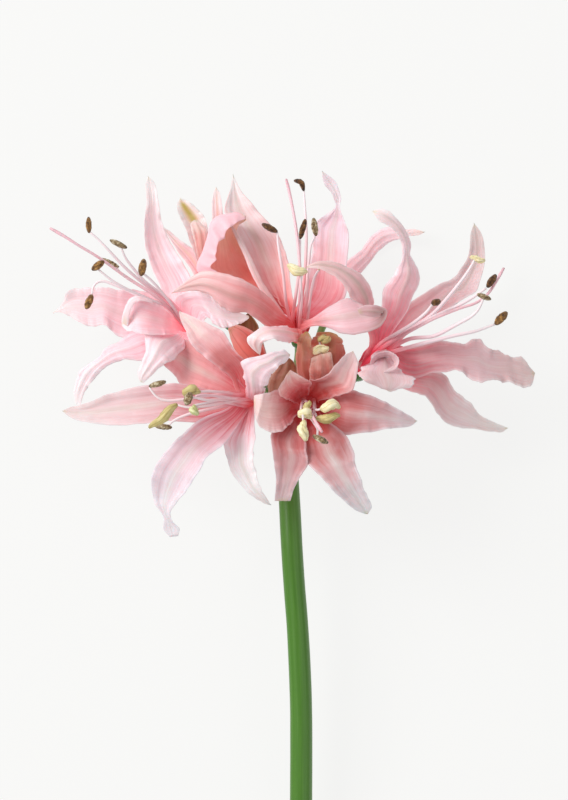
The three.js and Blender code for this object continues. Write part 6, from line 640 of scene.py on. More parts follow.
"G_tepal_tip":{"cup":-0.8,"rails":[[[-21.16,33.09,-26.0],[-21.68,35.01,-26.58],[-22.2,36.95,-27.12],[-22.72,38.9,-27.57],[-23.25,40.89,-27.88],[-23.78,42.89,-27.99],[-24.31,44.89,-28.0],[-24.79,46.91,-28.0],[-25.21,48.95,-28.0],[-25.62,50.98,-28.0],[-26.02,53.02,-27.98],[-26.43,55.05,-27.83],[-26.83,57.07,-27.55],[-27.04,59.11,-27.26],[-27.17,61.17,-27.05],[-27.29,63.24,-27.0],[-27.42,65.31,-27.0],[-27.54,67.38,-27.0],[-27.67,69.45,-27.0],[-27.72,71.52,-27.0],[-27.73,73.6,-26.97],[-27.72,75.68,-26.84],[-27.53,77.74,-26.63],[-27.14,79.83,-26.35],[-26.16,81.95,-26.0]],
[[-19.24,33.86,-26.0],[-19.6,35.78,-26.58],[-19.97,37.71,-27.12],[-20.35,39.66,-27.57],[-20.72,41.64,-27.88],[-21.1,43.64,-27.99],[-21.47,45.64,-28.0],[-21.72,47.67,-28.0],[-21.93,49.69,-28.0],[-22.13,51.72,-28.0],[-22.34,53.75,-27.98],[-22.54,55.77,-27.83],[-22.72,57.79,-27.55],[-22.83,59.8,-27.26],[-22.94,61.82,-27.05],[-23.04,63.86,-27.0],[-23.15,65.89,-27.0],[-23.26,67.92,-27.0],[-23.36,69.96,-27.0],[-23.47,71.99,-27.0],[-23.71,74.02,-26.97],[-23.97,76.04,-26.84],[-24.3,78.05,-26.63],[-24.96,80.03,-26.35],[-26.16,81.95,-26.0]]]},
"H_tepal_arch":{"cup":1.0,"rails":[[[16.13,36.48,-24.0],[16.7,38.36,-25.52],[17.28,40.28,-26.99],[17.88,42.26,-28.39],[18.57,44.26,-29.71],[19.39,46.27,-30.95],[20.33,48.27,-32.13],[21.4,50.24,-33.23],[22.77,52.08,-34.19],[24.26,53.88,-34.99],[26.1,55.38,-35.69],[28.16,56.67,-36.3],[29.99,58.25,-36.69],[31.4,60.3,-36.76],[32.84,62.32,-36.59],[34.47,64.16,-36.28],[36.36,65.72,-35.9],[38.52,66.83,-35.36],[40.81,67.31,-34.56],[43.1,66.88,-33.6],[45.43,66.39,-32.58],[47.75,65.93,-31.54],[49.99,65.52,-30.43],[52.19,65.14,-29.24],[54.36,64.76,-28.0]],
[[18.82,35.33,-24.0],[19.87,36.68,-25.42],[20.95,38.07,-26.78],[22.05,39.49,-28.07],[23.2,40.94,-29.28],[24.4,42.41,-30.39],[25.62,43.9,-31.43],[26.86,45.41,-32.39],[28.12,46.96,-33.24],[29.4,48.57,-33.98],[30.71,50.22,-34.67],[32.03,51.88,-35.29],[33.38,53.57,-35.69],[34.73,55.26,-35.76],[36.1,56.94,-35.58],[37.61,58.46,-35.28],[39.21,59.89,-34.9],[40.95,61.09,-34.41],[42.86,61.94,-33.73],[44.86,62.29,-32.94],[46.79,62.96,-32.08],[48.7,63.6,-31.17],[50.62,64.03,-30.18],[52.5,64.41,-29.12],[54.36,64.76,-28.0]]]},
"bract_front":{"cup":1.2,"rails":[[[-0.75,-14.98,1.0],[-1.11,-13.98,0.02],[-1.48,-12.94,-0.94],[-1.86,-11.86,-1.85],[-2.26,-10.74,-2.7],[-2.68,-9.55,-3.46],[-3.13,-8.28,-4.09],[-3.56,-6.98,-4.65],[-3.99,-5.67,-5.18],[-4.42,-4.32,-5.62],[-4.86,-2.93,-5.91],[-5.31,-1.52,-5.99],[-5.77,-0.1,-6.0],[-6.01,1.34,-6.0],[-6.04,2.78,-6.0],[-6.04,4.23,-6.0],[-6.04,5.68,-5.97],[-5.62,7.05,-5.83],[-5.09,8.4,-5.6],[-4.52,9.74,-5.33],[-3.6,10.95,-5.06],[-2.64,12.15,-4.83],[-1.53,13.47,-4.59],[-0.13,14.77,-4.31],[1.51,16.19,-4.0]],
[[1.87,-14.98,1.0],[2.08,-14.0,0.02],[2.28,-12.98,-0.94],[2.5,-11.92,-1.85],[2.72,-10.82,-2.7],[2.96,-9.66,-3.46],[3.21,-8.41,-4.09],[3.46,-7.14,-4.65],[3.7,-5.86,-5.18],[3.94,-4.55,-5.62],[4.19,-3.2,-5.91],[4.44,-1.82,-5.99],[4.69,-0.43,-6.0],[4.9,0.94,-6.0],[4.99,2.3,-6.0],[5.07,3.67,-6.0],[5.14,5.03,-5.97],[5.22,6.4,-5.83],[5.24,7.77,-5.6],[5.14,9.14,-5.33],[5.02,10.57,-5.06],[4.9,12.02,-4.83],[4.11,13.44,-4.59],[3.06,14.88,-4.31],[1.51,16.19,-4.0]]]},
"bract_back":{"cup":-1.5,"rails":[[[-1.13,-15.08,-5.0],[-2.02,-13.54,-6.54],[-2.92,-11.96,-8.03],[-3.85,-10.35,-9.47],[-4.81,-8.69,-10.85],[-5.79,-6.97,-12.14],[-6.8,-5.2,-13.35],[-7.79,-3.38,-14.5],[-8.64,-1.47,-15.58],[-9.51,0.49,-16.58],[-10.4,2.5,-17.44],[-11.31,4.58,-18.12],[-12.23,6.68,-18.72],[-13.12,8.81,-19.27],[-13.92,10.99,-19.7],[-14.72,13.21,-19.95],[-15.52,15.44,-19.98],[-16.31,17.67,-19.85],[-17.17,19.87,-19.62],[-18.17,22.01,-19.33],[-19.09,24.15,-19.03],[-18.86,26.44,-18.7],[-17.89,28.74,-18.28],[-16.19,30.99,-17.72],[-13.73,33.18,-17.0]],
[[1.13,-14.32,-5.0],[0.79,-12.71,-6.54],[0.44,-11.07,-8.03],[0.08,-9.39,-9.47],[-0.28,-7.65,-10.85],[-0.66,-5.86,-12.14],[-1.05,-4.02,-13.35],[-1.45,-2.14,-14.5],[-1.85,-0.24,-15.58],[-2.35,1.67,-16.58],[-2.87,3.65,-17.44],[-3.41,5.68,-18.12],[-3.96,7.73,-18.72],[-4.5,9.8,-19.27],[-5.06,11.88,-19.7],[-5.64,13.99,-19.95],[-6.24,16.1,-19.98],[-6.84,18.21,-19.85],[-7.44,20.32,-19.62],[-8.07,22.41,-19.33],[-8.71,24.5,-19.03],[-9.38,26.7,-18.7],[-10.12,28.88,-18.28],[-11.58,31.04,-17.72],[-13.73,33.18,-17.0]]]}},
"stamens":{"A":{"hub":[-32.75,22.54,-9.04],"axis":[-0.5096,0.4229,0.7493],"fil":[{"path":[[-32.5,21.7,-8.1],[-33.8,23.4,-6.2],[-34.9,25.0,-4.2],[-36.0,26.6,-2.1],[-37.0,28.0,0.1],[-37.9,29.4,2.3],[-38.7,30.8,4.6],[-39.7,32.2,6.8],[-40.8,33.8,8.8],[-41.9,35.6,10.6],[-43.3,37.5,12.3],[-44.7,39.3,13.8],[-46.1,41.0,15.6],[-47.7,42.8,17.1],[-49.4,44.7,18.2],[-51.1,46.7,19.0]],
"anther":[[-51.47,51.84,19.6],[-51.98,48.67,20.4],[-52.56,45.57,19.9]],
"r":1.5,"kind":"b"},
{"path":[[-31.8,22.8,-8.2],[-33.5,24.9,-5.6],[-35.3,26.9,-3.0],[-36.9,28.7,-0.2],[-38.5,30.3,2.8],[-40.0,31.8,5.8],[-41.8,33.6,8.6],[-44.1,35.1,11.1],[-46.9,36.2,13.3],[-49.9,37.3,15.3],[-52.9,38.6,17.1],[-55.9,39.9,18.8],[-59.0,41.3,20.4],[-62.1,43.1,21.6],[-65.0,45.2,22.5],[-67.8,47.6,23.0]],
"anther":[[-70.3,47.6,23.6],[-68.05,49.21,24.4],[-65.89,50.88,23.9]],
"r":1.42,"kind":"b"},
{"path":[[-32.1,23.7,-8.9],[-33.4,25.9,-6.7],[-34.7,28.0,-4.3],[-36.1,29.9,-2.0],[-37.6,31.8,0.4],[-39.2,33.5,2.8],[-41.0,35.5,4.9],[-43.0,37.5,6.6],[-45.4,39.3,8.1],[-47.8,41.0,9.9],[-50.3,42.8,11.1],[-52.8,45.0,11.7],[-54.9,47.6,12.3],[-57.0,50.2,13.0],[-59.0,52.8,13.0],[-61.1,55.5,13.0]],
"anther":[[-64.36,59.18,13.6],[-61.17,57.66,14.4],[-58.06,56.21,13.9]],
"r":1.35,"kind":"t"},
{"path":[[-33.2,23.6,-9.6],[-35.3,26.1,-6.9],[-37.2,28.6,-4.0],[-39.1,30.9,-1.0],[-40.9,33.2,2.1],[-42.8,35.6,5.0],[-45.2,38.0,7.5],[-48.0,40.2,9.9],[-50.8,42.2,12.4],[-53.7,44.5,14.4],[-56.8,47.1,15.8],[-59.8,49.9,17.0],[-62.5,52.9,18.3],[-65.2,55.8,19.8],[-68.1,59.0,20.0],[-70.9,62.1,20.0]],
"anther":[[-71.8,67.21,20.6],[-71.65,64.22,21.4],[-71.6,61.32,20.9]],
"r":1.12,"kind":"b"},
{"path":[[-34.0,22.6,-9.5],[-35.5,24.1,-7.3],[-37.0,25.7,-5.2],[-38.4,27.5,-3.2],[-39.9,29.3,-1.2],[-41.4,31.2,0.7],[-42.9,33.1,2.5],[-44.4,35.2,4.2],[-46.3,37.1,5.7],[-48.4,38.8,7.1],[-50.6,40.5,8.3],[-53.1,42.1,9.1],[-55.7,43.7,9.6],[-58.3,45.2,10.0],[-60.8,47.0,10.5],[-63.0,49.0,11.0]],
"anther":[[-67.83,52.45,11.6],[-64.44,50.83,12.4],[-61.14,49.28,11.9]],
"r":1.2,"kind":"t"},
{"path":[[-33.6,21.6,-8.8],[-35.6,23.2,-6.0],[-37.6,24.9,-3.4],[-39.6,26.7,-0.8],[-41.5,28.7,1.7],[-43.6,30.8,3.9],[-45.9,33.2,5.5],[-48.9,35.5,6.1],[-52.1,37.4,6.0],[-55.2,39.2,5.4],[-58.4,41.0,4.5],[-61.8,42.4,4.0],[-65.2,43.8,4.0],[-68.8,45.0,4.0],[-71.6,42.8,4.1],[-71.6,39.2,5.0]],
"anther":[[-71.6,39.34,5.6],[-72.66,36.61,6.4],[-73.81,33.92,5.9]],
"r":1.42,"kind":"b"}]},
"B":{"hub":[5.17,24.42,-6.44],"axis":[-0.0329,0.4299,0.9023],"fil":[{"path":[[5.3,23.4,-5.7],[5.4,24.5,-3.5],[5.5,25.6,-1.3],[5.6,26.7,0.8],[5.7,27.8,3.0],[5.8,28.9,5.1],[5.9,30.0,7.3],[6.0,31.1,9.4],[6.1,32.4,11.5],[6.2,33.9,13.4],[6.4,35.5,15.2],[6.5,37.4,16.7],[6.4,39.3,18.2],[6.3,41.3,19.7],[6.1,43.3,20.9],[5.9,45.5,22.0]],
"anther":[[1.1,49.11,22.6],[4.76,47.79,23.4],[8.43,46.53,22.9]],
"r":1.8,"kind":"c"},
{"path":[[6.3,24.1,-5.9],[6.9,24.5,-3.5],[7.3,25.3,-1.4],[7.8,26.4,0.5],[8.1,27.6,2.1],[8.5,29.0,3.5],[8.8,30.5,4.7],[9.0,32.5,5.5],[9.3,34.5,6.0],[9.5,36.6,6.1],[9.8,38.7,5.8],[10.0,40.7,5.4],[10.5,42.7,4.9],[11.0,44.7,4.4],[11.5,46.7,3.8],[12.0,48.6,3.0]],
"anther":[[12.7,51.56,3.6],[13.07,50.03,4.4],[13.45,48.56,3.9]],
"r":0.98,"kind":"c"},
{"path":[[6.2,25.2,-6.5],[6.7,26.6,-4.0],[7.2,28.2,-1.4],[7.5,29.8,1.0],[7.8,31.4,3.4],[7.9,33.2,5.8],[8.1,35.1,8.0],[8.3,37.5,9.5],[8.5,40.5,9.8],[8.6,43.4,9.9],[8.7,46.4,9.9],[9.0,49.2,9.2],[9.3,52.0,8.2],[9.6,54.9,7.7],[9.8,57.8,7.3],[10.1,60.7,7.0]],
"anther":[[10.98,67.73,7.6],[11.43,64.33,8.4],[11.91,61.01,7.9]],
"r":1.27,"kind":"t"},
{"path":[[5.0,25.7,-6.8],[5.1,27.5,-2.9],[5.2,29.7,0.5],[5.4,32.3,3.4],[6.1,35.5,5.8],[6.8,39.2,7.4],[7.4,43.1,7.3],[7.8,47.0,6.5],[8.1,51.0,5.4],[8.2,54.8,4.2],[8.4,58.6,3.0],[8.4,62.5,1.8],[8.2,66.3,0.6],[8.0,70.2,-0.6],[7.7,74.0,-1.8],[7.3,77.9,-3.0]],
"anther":[[3.76,82.51,-2.4],[6.39,81.69,-1.6],[7.52,78.54,-2.1]],
"r":1.35,"kind":"d"},
{"path":[[4.0,25.0,-6.5],[3.6,26.5,-3.9],[3.4,28.1,-1.3],[3.3,29.7,1.3],[3.3,31.4,3.8],[3.5,33.0,6.3],[3.8,34.9,8.7],[4.1,36.9,10.9],[4.5,39.4,12.6],[4.8,42.1,13.8],[5.3,44.9,14.9],[5.5,47.8,16.0],[5.7,50.7,16.8],[5.8,53.7,17.0],[5.9,56.7,17.0],[5.9,59.7,17.0]],
"anther":[[7.92,66.68,17.6],[6.9,62.95,18.4],[5.89,59.29,17.9]],
"r":1.12,"kind":"d"},
{"path":[[4.1,23.8,-5.9],[3.6,25.2,-3.0],[3.2,26.7,-0.2],[2.7,28.4,2.4],[2.2,30.1,5.0],[1.7,32.1,7.5],[1.1,34.3,9.8],[0.7,36.8,11.8],[0.3,39.6,13.2],[0.1,42.6,14.3],[-0.2,45.7,15.0],[-0.7,48.8,15.6],[-1.3,51.9,16.0],[-1.8,55.1,15.9],[-2.3,58.2,15.6],[-2.8,61.3,15.0]],
"anther":[[-8.12,64.97,15.6],[-5.26,63.44,16.4],[-2.4,62.0,15.9]],
"r":1.5,"kind":"d"}]},
"C":{"hub":[30.56,12.12,-9.53],"axis":[0.5321,0.5698,0.6263],"fil":[{"path":[[29.7,13.1,-9.4],[31.5,15.7,-7.8],[33.1,17.8,-6.0],[34.6,19.6,-4.0],[36.0,21.0,-1.8],[37.3,22.0,0.6],[38.4,22.7,3.5],[39.6,23.4,6.2],[41.0,24.2,8.8],[42.7,25.2,11.2],[44.7,26.4,13.3],[46.8,27.7,15.1],[49.0,29.3,16.6],[51.1,31.1,17.9],[53.2,33.0,19.1],[55.1,35.3,20.0]],
"anther":[[54.17,35.44,20.6],[55.78,35.87,21.4],[57.46,36.35,20.9]],
"r":1.61,"kind":"d"},
{"path":[[29.9,12.0,-8.4],[31.9,14.7,-6.0],[34.0,17.0,-3.4],[36.1,19.0,-0.7],[38.2,20.7,2.2],[40.3,22.0,5.4],[42.7,23.5,8.3],[45.5,25.3,10.6],[48.6,27.1,12.3],[52.0,29.0,13.5],[55.5,30.8,14.3],[59.1,32.5,15.0],[62.7,34.1,15.7],[66.3,35.8,16.0],[69.8,37.8,16.0],[73.1,40.2,16.0]],
"anther":[[78.18,46.28,16.6],[76.46,43.85,17.4],[74.84,41.47,16.9]],
"r":1.35,"kind":"d"},
{"path":[[31.1,11.2,-8.8],[34.1,13.8,-6.6],[36.7,16.0,-4.0],[39.0,17.5,-1.2],[41.0,18.3,2.0],[42.6,18.6,5.9],[44.6,19.1,9.4],[47.4,19.9,12.4],[50.8,20.8,14.4],[54.6,21.8,15.8],[58.5,22.6,16.7],[62.5,23.7,17.0],[66.5,24.5,17.0],[70.5,25.2,16.5],[74.3,26.6,15.7],[77.9,28.4,15.0]],
"anther":[[82.32,32.49,15.6],[80.04,30.15,16.4],[77.87,27.86,15.9]],
"r":1.58,"kind":"b"},
{"path":[[31.8,11.9,-10.0],[34.4,14.7,-8.0],[36.8,17.0,-5.6],[39.0,18.8,-2.8],[41.0,20.1,0.1],[42.7,20.9,3.8],[44.8,22.1,7.0],[47.5,23.1,9.8],[50.8,23.2,12.0],[54.5,23.1,13.6],[57.9,24.5,15.0],[61.0,26.4,16.8],[64.2,28.1,18.7],[67.6,29.9,19.6],[71.0,32.0,20.3],[72.5,35.6,21.0]],
"anther":[[70.81,38.89,21.6],[73.32,37.85,22.4],[75.93,36.86,21.9]],
"r":1.27,"kind":"t"},
{"path":[[30.9,13.1,-10.3],[33.0,16.3,-8.1],[35.1,19.0,-5.6],[37.3,21.2,-2.9],[39.6,22.8,0.1],[42.0,24.0,3.4],[45.0,25.6,5.7],[48.5,27.5,7.3],[52.1,29.5,7.5],[55.5,32.0,7.7],[58.4,35.0,7.2],[61.0,38.1,6.4],[63.7,41.3,6.0],[66.3,44.6,6.0],[68.8,48.0,6.0],[71.2,51.4,6.0]],
"anther":[[69.29,53.08,6.6],[72.03,52.48,7.4],[74.85,51.95,6.9]],
"r":1.27,"kind":"c"}]},
"D":{"hub":[-9.61,-1.76,9.59],"axis":[-0.3579,0.2155,0.9086],"fil":[{"path":[[-9.4,-0.4,9.6],[-11.1,0.7,12.6],[-12.8,1.6,15.5],[-14.5,2.0,18.6],[-16.1,2.0,21.7],[-17.7,2.0,24.8],[-19.7,2.0,27.6],[-22.3,1.9,29.9],[-25.5,1.8,31.5],[-28.7,1.4,32.9],[-31.9,0.9,33.9],[-35.4,0.3,34.0],[-38.9,-0.1,34.0],[-42.4,-0.3,34.0],[-45.9,0.4,34.0],[-48.2,2.9,34.0]],
"anther":[[-48.87,4.89,34.6],[-45.76,5.79,35.4],[-42.71,6.7,34.9]],
"r":1.35,"kind":"t"},
{"path":[[-10.6,-0.9,9.3],[-12.3,-0.1,11.4],[-13.8,0.7,13.6],[-15.1,1.2,15.9],[-16.2,1.7,18.3],[-17.2,1.9,20.8],[-18.0,2.0,23.5],[-18.9,2.2,26.0],[-19.8,2.5,28.6],[-20.9,2.7,31.1],[-22.1,2.9,33.5],[-23.5,2.9,35.9],[-25.1,3.0,38.0],[-27.1,3.2,39.9],[-29.2,3.0,41.6],[-31.6,2.9,43.0]],
"anther":[[-36.22,2.87,43.6],[-33.15,3.05,44.4],[-30.12,3.23,43.9]],
"r":2.1,"kind":"o"},
{"path":[[-10.9,-2.2,9.5],[-12.1,-1.8,12.1],[-13.5,-1.5,14.6],[-15.0,-1.4,17.1],[-16.6,-1.4,19.5],[-18.3,-1.6,21.9],[-20.2,-1.9,24.1],[-22.2,-2.2,26.2],[-24.3,-2.7,28.1],[-26.6,-3.2,29.8],[-29.1,-3.7,31.3],[-31.8,-4.3,31.9],[-34.6,-5.1,32.0],[-37.3,-6.1,32.0],[-40.0,-7.2,32.0],[-42.5,-8.7,32.0]],
"anther":[[-46.8,-9.43,32.6],[-43.68,-9.7,33.4],[-40.62,-9.97,32.9]],
"r":1.35,"kind":"t"},
{"path":[[-10.0,-3.0,10.0],[-11.2,-2.8,12.2],[-12.4,-2.6,14.4],[-13.6,-2.4,16.6],[-14.7,-2.2,18.8],[-15.8,-2.0,21.1],[-16.8,-1.8,23.4],[-17.9,-1.5,25.6],[-19.0,-1.3,27.9],[-20.2,-1.0,30.0],[-21.6,-0.8,32.2],[-22.9,-0.6,34.3],[-24.5,-0.6,36.2],[-26.2,-0.8,38.0],[-28.1,-1.1,39.7],[-30.2,-1.4,41.0]],
"anther":[[-32.71,-1.8,41.6],[-32.14,-3.59,42.4],[-31.62,-5.39,41.9]],
"r":1.5,"kind":"g"},
{"path":[[-8.8,-2.5,10.3],[-10.2,-2.0,12.8],[-11.6,-1.6,15.3],[-12.9,-1.3,17.9],[-14.1,-1.1,20.5],[-15.2,-0.9,23.1],[-16.4,-0.7,25.8],[-17.6,-0.5,28.4],[-18.8,-0.3,31.0],[-20.2,-0.1,33.5],[-21.6,0.1,36.0],[-23.2,0.2,38.4],[-24.8,0.1,40.8],[-26.5,0.0,43.1],[-28.5,0.0,45.2],[-30.7,0.0,47.0]],
"anther":[[-33.39,2.68,47.6],[-34.17,0.45,48.4],[-34.99,-1.79,47.9]],
"r":1.58,"kind":"t"},
{"path":[[-8.6,-1.2,10.2],[-10.0,-0.5,12.9],[-11.3,-0.1,15.6],[-12.6,0.2,18.4],[-13.8,0.3,21.2],[-14.9,0.1,24.1],[-16.1,-0.0,26.9],[-17.5,-0.2,29.6],[-19.1,-0.4,32.2],[-21.0,-0.8,34.7],[-23.1,-1.3,36.9],[-25.6,-1.8,38.6],[-28.3,-2.2,40.0],[-31.3,-2.6,40.8],[-34.3,-2.9,41.0],[-37.4,-2.9,41.0]],
"anther":[[-38.28,-1.62,41.6],[-43.36,-5.84,42.4],[-48.5,-10.06,41.9]],
"r":1.8,"kind":"o"}]},
"E":{"hub":[8.19,-2.27,5.87],"axis":[0.0828,0.184,0.9794],"fil":[{"path":[[7.8,-1.0,5.9],[7.7,-0.2,8.0],[7.6,0.2,10.1],[7.5,0.5,12.2],[7.4,0.5,14.2],[7.2,0.5,16.3],[7.1,0.0,18.4],[6.9,-0.4,20.4],[6.8,-0.8,22.5],[6.6,-1.2,24.5],[6.5,-1.7,26.6],[6.5,-2.1,28.6],[6.4,-2.4,30.7],[6.3,-2.7,32.8],[6.2,-3.0,34.9],[6.1,-3.2,37.0]],
"anther":[[5.41,-4.69,37.6],[7.75,-5.23,38.4],[10.1,-5.77,37.9]],
"r":2.03,"kind":"c"},
{"path":[[7.0,-1.9,6.2],[7.0,-1.0,8.0],[7.0,-0.4,9.8],[7.0,0.0,11.6],[7.1,0.3,13.5],[7.1,0.4,15.3],[7.2,0.3,17.2],[7.4,0.1,19.1],[7.5,-0.1,21.0],[7.8,-0.3,22.8],[8.1,-0.6,24.7],[8.5,-0.9,26.5],[8.6,-1.1,28.4],[8.6,-1.3,30.2],[8.7,-1.6,32.1],[8.7,-1.8,34.0]],
"anther":[[9.05,-0.36,34.6],[8.5,-2.17,35.4],[7.96,-3.98,34.9]],
"r":1.42,"kind":"o"},
{"path":[[7.3,-3.1,6.4],[7.1,-3.1,8.9],[7.0,-3.1,11.4],[6.9,-3.1,13.9],[6.9,-3.1,16.5],[6.9,-3.3,19.0],[6.9,-3.5,21.5],[6.9,-3.7,24.0],[7.0,-3.9,26.5],[7.0,-4.1,29.1],[7.1,-4.2,31.6],[7.0,-4.6,34.1],[6.9,-5.0,36.6],[6.8,-5.4,39.0],[6.8,-5.9,41.5],[6.8,-6.5,44.0]],
"anther":[[6.81,-7.17,44.6],[7.07,-10.92,45.4],[7.34,-14.68,44.9]],
"r":1.8,"kind":"c"},
{"path":[[8.6,-3.5,6.3],[9.0,-3.7,8.8],[9.3,-4.0,11.3],[9.6,-4.3,13.8],[9.7,-4.6,16.4],[9.8,-5.0,18.9],[9.8,-5.5,21.4],[9.9,-5.9,23.9],[9.9,-6.4,26.4],[10.1,-6.9,28.9],[10.4,-7.3,31.3],[10.7,-7.8,33.8],[11.1,-8.6,36.2],[11.6,-9.4,38.5],[12.2,-10.4,40.8],[12.9,-11.5,43.0]],
"anther":[[10.4,-12.73,43.6],[13.08,-14.07,44.4],[15.78,-15.42,43.9]],
"r":1.5,"kind":"t"},
{"path":[[9.5,-2.5,6.1],[10.3,-2.4,8.0],[10.9,-2.3,10.0],[11.3,-2.3,12.0],[11.6,-2.3,14.0],[11.7,-2.3,16.0],[11.5,-2.6,18.0],[11.4,-2.9,20.1],[11.3,-3.2,22.1],[11.1,-3.5,24.1],[11.0,-3.8,26.1],[10.8,-4.2,28.1],[11.1,-4.6,30.1],[11.3,-5.0,32.0],[11.6,-5.4,34.0],[11.9,-5.8,36.0]],
"anther":[[11.56,-6.86,36.6],[15.88,-6.32,37.4],[20.23,-5.78,36.9]],
"r":1.72,"kind":"o"},
{"path":[[9.1,-1.3,5.9],[9.9,-0.6,8.0],[10.5,-0.1,10.1],[10.9,0.1,12.2],[11.1,0.1,14.4],[11.2,0.0,16.5],[11.1,-0.5,18.7],[11.1,-1.0,20.8],[11.1,-1.5,22.9],[11.0,-2.0,25.1],[11.0,-2.5,27.2],[11.0,-3.0,29.4],[11.3,-3.2,31.5],[11.6,-3.5,33.7],[11.9,-3.7,35.9],[12.3,-4.0,38.0]],
"anther":[[12.98,-3.24,38.6],[16.57,-1.8,39.4],[20.18,-2.88,38.9]],
"r":1.95,"kind":"c"}]},
"F":{"hub":[11.33,3.51,-1.29],"axis":[0.02,0.9682,0.2495],"fil":[{"path":[[10.1,3.7,-1.1],[9.7,4.2,0.1],[9.6,4.8,1.2],[9.5,5.4,2.2],[9.5,6.0,3.3],[9.7,6.6,4.2],[10.0,7.3,5.2],[10.3,8.1,6.2],[10.6,8.8,7.1],[10.9,9.6,8.0],[11.2,10.5,8.8],[11.5,11.4,9.5],[11.6,12.4,10.2],[11.7,13.4,10.9],[11.8,14.4,11.5],[11.9,15.6,12.0]],
"anther":[[10.74,17.4,12.6],[13.5,18.5,13.4],[16.29,19.62,12.9]],
"r":1.8,"kind":"c"},
{"path":[[12.6,3.8,-1.4],[13.4,4.0,-0.1],[14.0,4.6,1.0],[14.3,5.2,1.9],[14.4,6.0,2.7],[14.3,7.0,3.4],[14.1,8.2,4.0],[14.0,9.2,4.5],[13.8,10.4,5.1],[13.7,11.5,5.6],[13.5,12.7,6.1],[13.6,13.8,6.6],[13.7,15.0,7.0],[13.8,16.2,7.3],[14.0,17.4,7.7],[14.1,18.6,8.0]],
"anther":[[13.01,21.93,8.6],[14.86,22.66,9.4],[16.72,23.41,8.9]],
"r":1.72,"kind":"o"}]}},
"pistils":{"A":[[-32.57,22.4,-9.3],[-35.4,25.24,-4.67],[-37.98,28.08,0.1],[-40.2,30.86,5.11],[-42.48,33.81,9.87],[-45.96,37.35,13.45],[-50.64,40.61,15.7],[-55.65,43.71,17.33],[-60.35,46.87,19.65],[-65.08,50.31,21.46],[-69.99,53.52,23.12],[-75.14,56.53,24.53],[-80.26,59.83,24.99],[-85.56,62.89,25.0]],
"B":[[5.18,24.27,-6.75],[5.19,27.34,-1.95],[5.22,30.11,2.99],[5.37,32.39,8.25],[5.67,34.69,13.4],[5.91,38.54,17.6],[6.03,43.68,19.93],[5.82,49.34,20.0],[5.36,54.95,19.62],[4.8,60.34,17.83],[4.08,65.77,16.35],[3.13,71.17,14.9],[2.03,76.55,13.45],[0.74,81.88,12.0]],
"C":[[30.38,11.92,-9.75],[33.91,15.87,-6.63],[37.06,19.01,-2.85],[39.8,21.2,1.49],[42.08,22.62,6.8],[45.29,24.71,11.19],[49.64,27.11,14.17],[54.49,29.64,16.3],[59.81,31.89,17.0],[65.26,33.98,16.96],[70.81,35.83,16.33],[75.29,39.24,15.52],[78.52,44.04,14.56],[81.43,48.86,13.0]],
"D":[[-9.49,-1.83,9.27],[-11.56,-0.85,12.4],[-13.32,-0.1,15.68],[-14.75,0.32,19.09],[-15.8,0.43,22.65],[-16.71,0.5,26.33],[-17.76,0.58,29.94],[-18.95,0.67,33.52],[-20.28,0.82,37.04],[-21.78,1.03,40.49],[-23.64,1.29,43.75],[-25.99,1.57,46.67],[-28.56,1.76,49.42],[-31.28,1.42,52.0]],
"E":[[8.16,-2.33,5.53],[8.62,-1.73,9.04],[8.98,-1.51,12.54],[9.23,-1.48,16.03],[9.36,-2.01,19.5],[9.48,-2.74,22.97],[9.62,-3.42,26.43],[9.78,-4.18,29.87],[10.04,-4.95,33.31],[10.37,-5.79,36.72],[10.79,-6.77,40.09],[11.39,-7.91,43.37],[12.23,-9.38,46.46],[13.55,-11.41,49.0]]},
"pedicels":{"A":{"path":[[-1.87,-16.93,-1.17],[-3.15,-10.82,-2.1],[-5.62,-5.12,-4.76],[-8.98,0.17,-8.37],[-12.96,5.01,-12.19],[-17.25,9.39,-15.45],[-21.59,13.3,-17.39],[-25.67,16.71,-17.24],[-29.21,19.6,-14.25]],
"ov":[-30.74,20.87,-12.0],"axis":[-0.5096,0.4229,0.7493]},
"B":{"path":[[0.75,-16.93,-2.0],[0.97,-11.44,-2.98],[1.54,-5.78,-5.45],[2.34,-0.12,-8.73],[3.25,5.33,-12.1],[4.13,10.4,-14.88],[4.87,14.9,-16.38],[5.33,18.64,-15.88],[5.4,21.44,-12.71]],
"ov":[5.3,22.72,-10.0],"axis":[-0.0329,0.4299,0.9023]},
"C":{"path":[[3.37,-16.93,-2.83],[4.56,-12.46,-3.77],[6.76,-8.61,-5.88],[9.73,-5.25,-8.63],[13.19,-2.27,-11.51],[16.89,0.44,-13.99],[20.58,3.01,-15.56],[23.99,5.54,-15.7],[26.87,8.16,-13.88]],
"ov":[28.46,9.87,-12.0],"axis":[0.5321,0.5698,0.6263]},
"D":{"path":[[-0.52,-16.93,0.44],[-0.94,-14.78,0.78],[-1.6,-12.59,0.81],[-2.43,-10.44,0.68],[-3.38,-8.43,0.56],[-4.39,-6.61,0.6],[-5.38,-5.09,0.96],[-6.32,-3.95,1.8],[-7.13,-3.26,3.27]],
"ov":[-8.2,-2.61,6.0],"axis":[-0.3579,0.2155,0.9086]},
"E":{"path":[[1.58,-16.93,0.62],[1.96,-14.85,0.8],[2.67,-12.71,0.33],[3.59,-10.59,-0.51],[4.62,-8.58,-1.47],[5.65,-6.78,-2.25],[6.56,-5.28,-2.61],[7.25,-4.17,-2.26],[7.61,-3.55,-0.94]],
"ov":[7.86,-2.99,2.0],"axis":[0.0828,0.184,0.9794]},
"F":{"path":[[3.19,-16.93,-0.73],[3.95,-14.77,-0.66],[5.05,-12.84,-0.93],[6.34,-11.07,-1.43],[7.71,-9.39,-2.01],[9.01,-7.73,-2.56],[10.12,-6.02,-2.95],[10.89,-4.18,-3.06],[11.21,-2.15,-2.75]],
"ov":[11.27,0.75,-2.0],"axis":[0.02,0.9682,0.2495]},
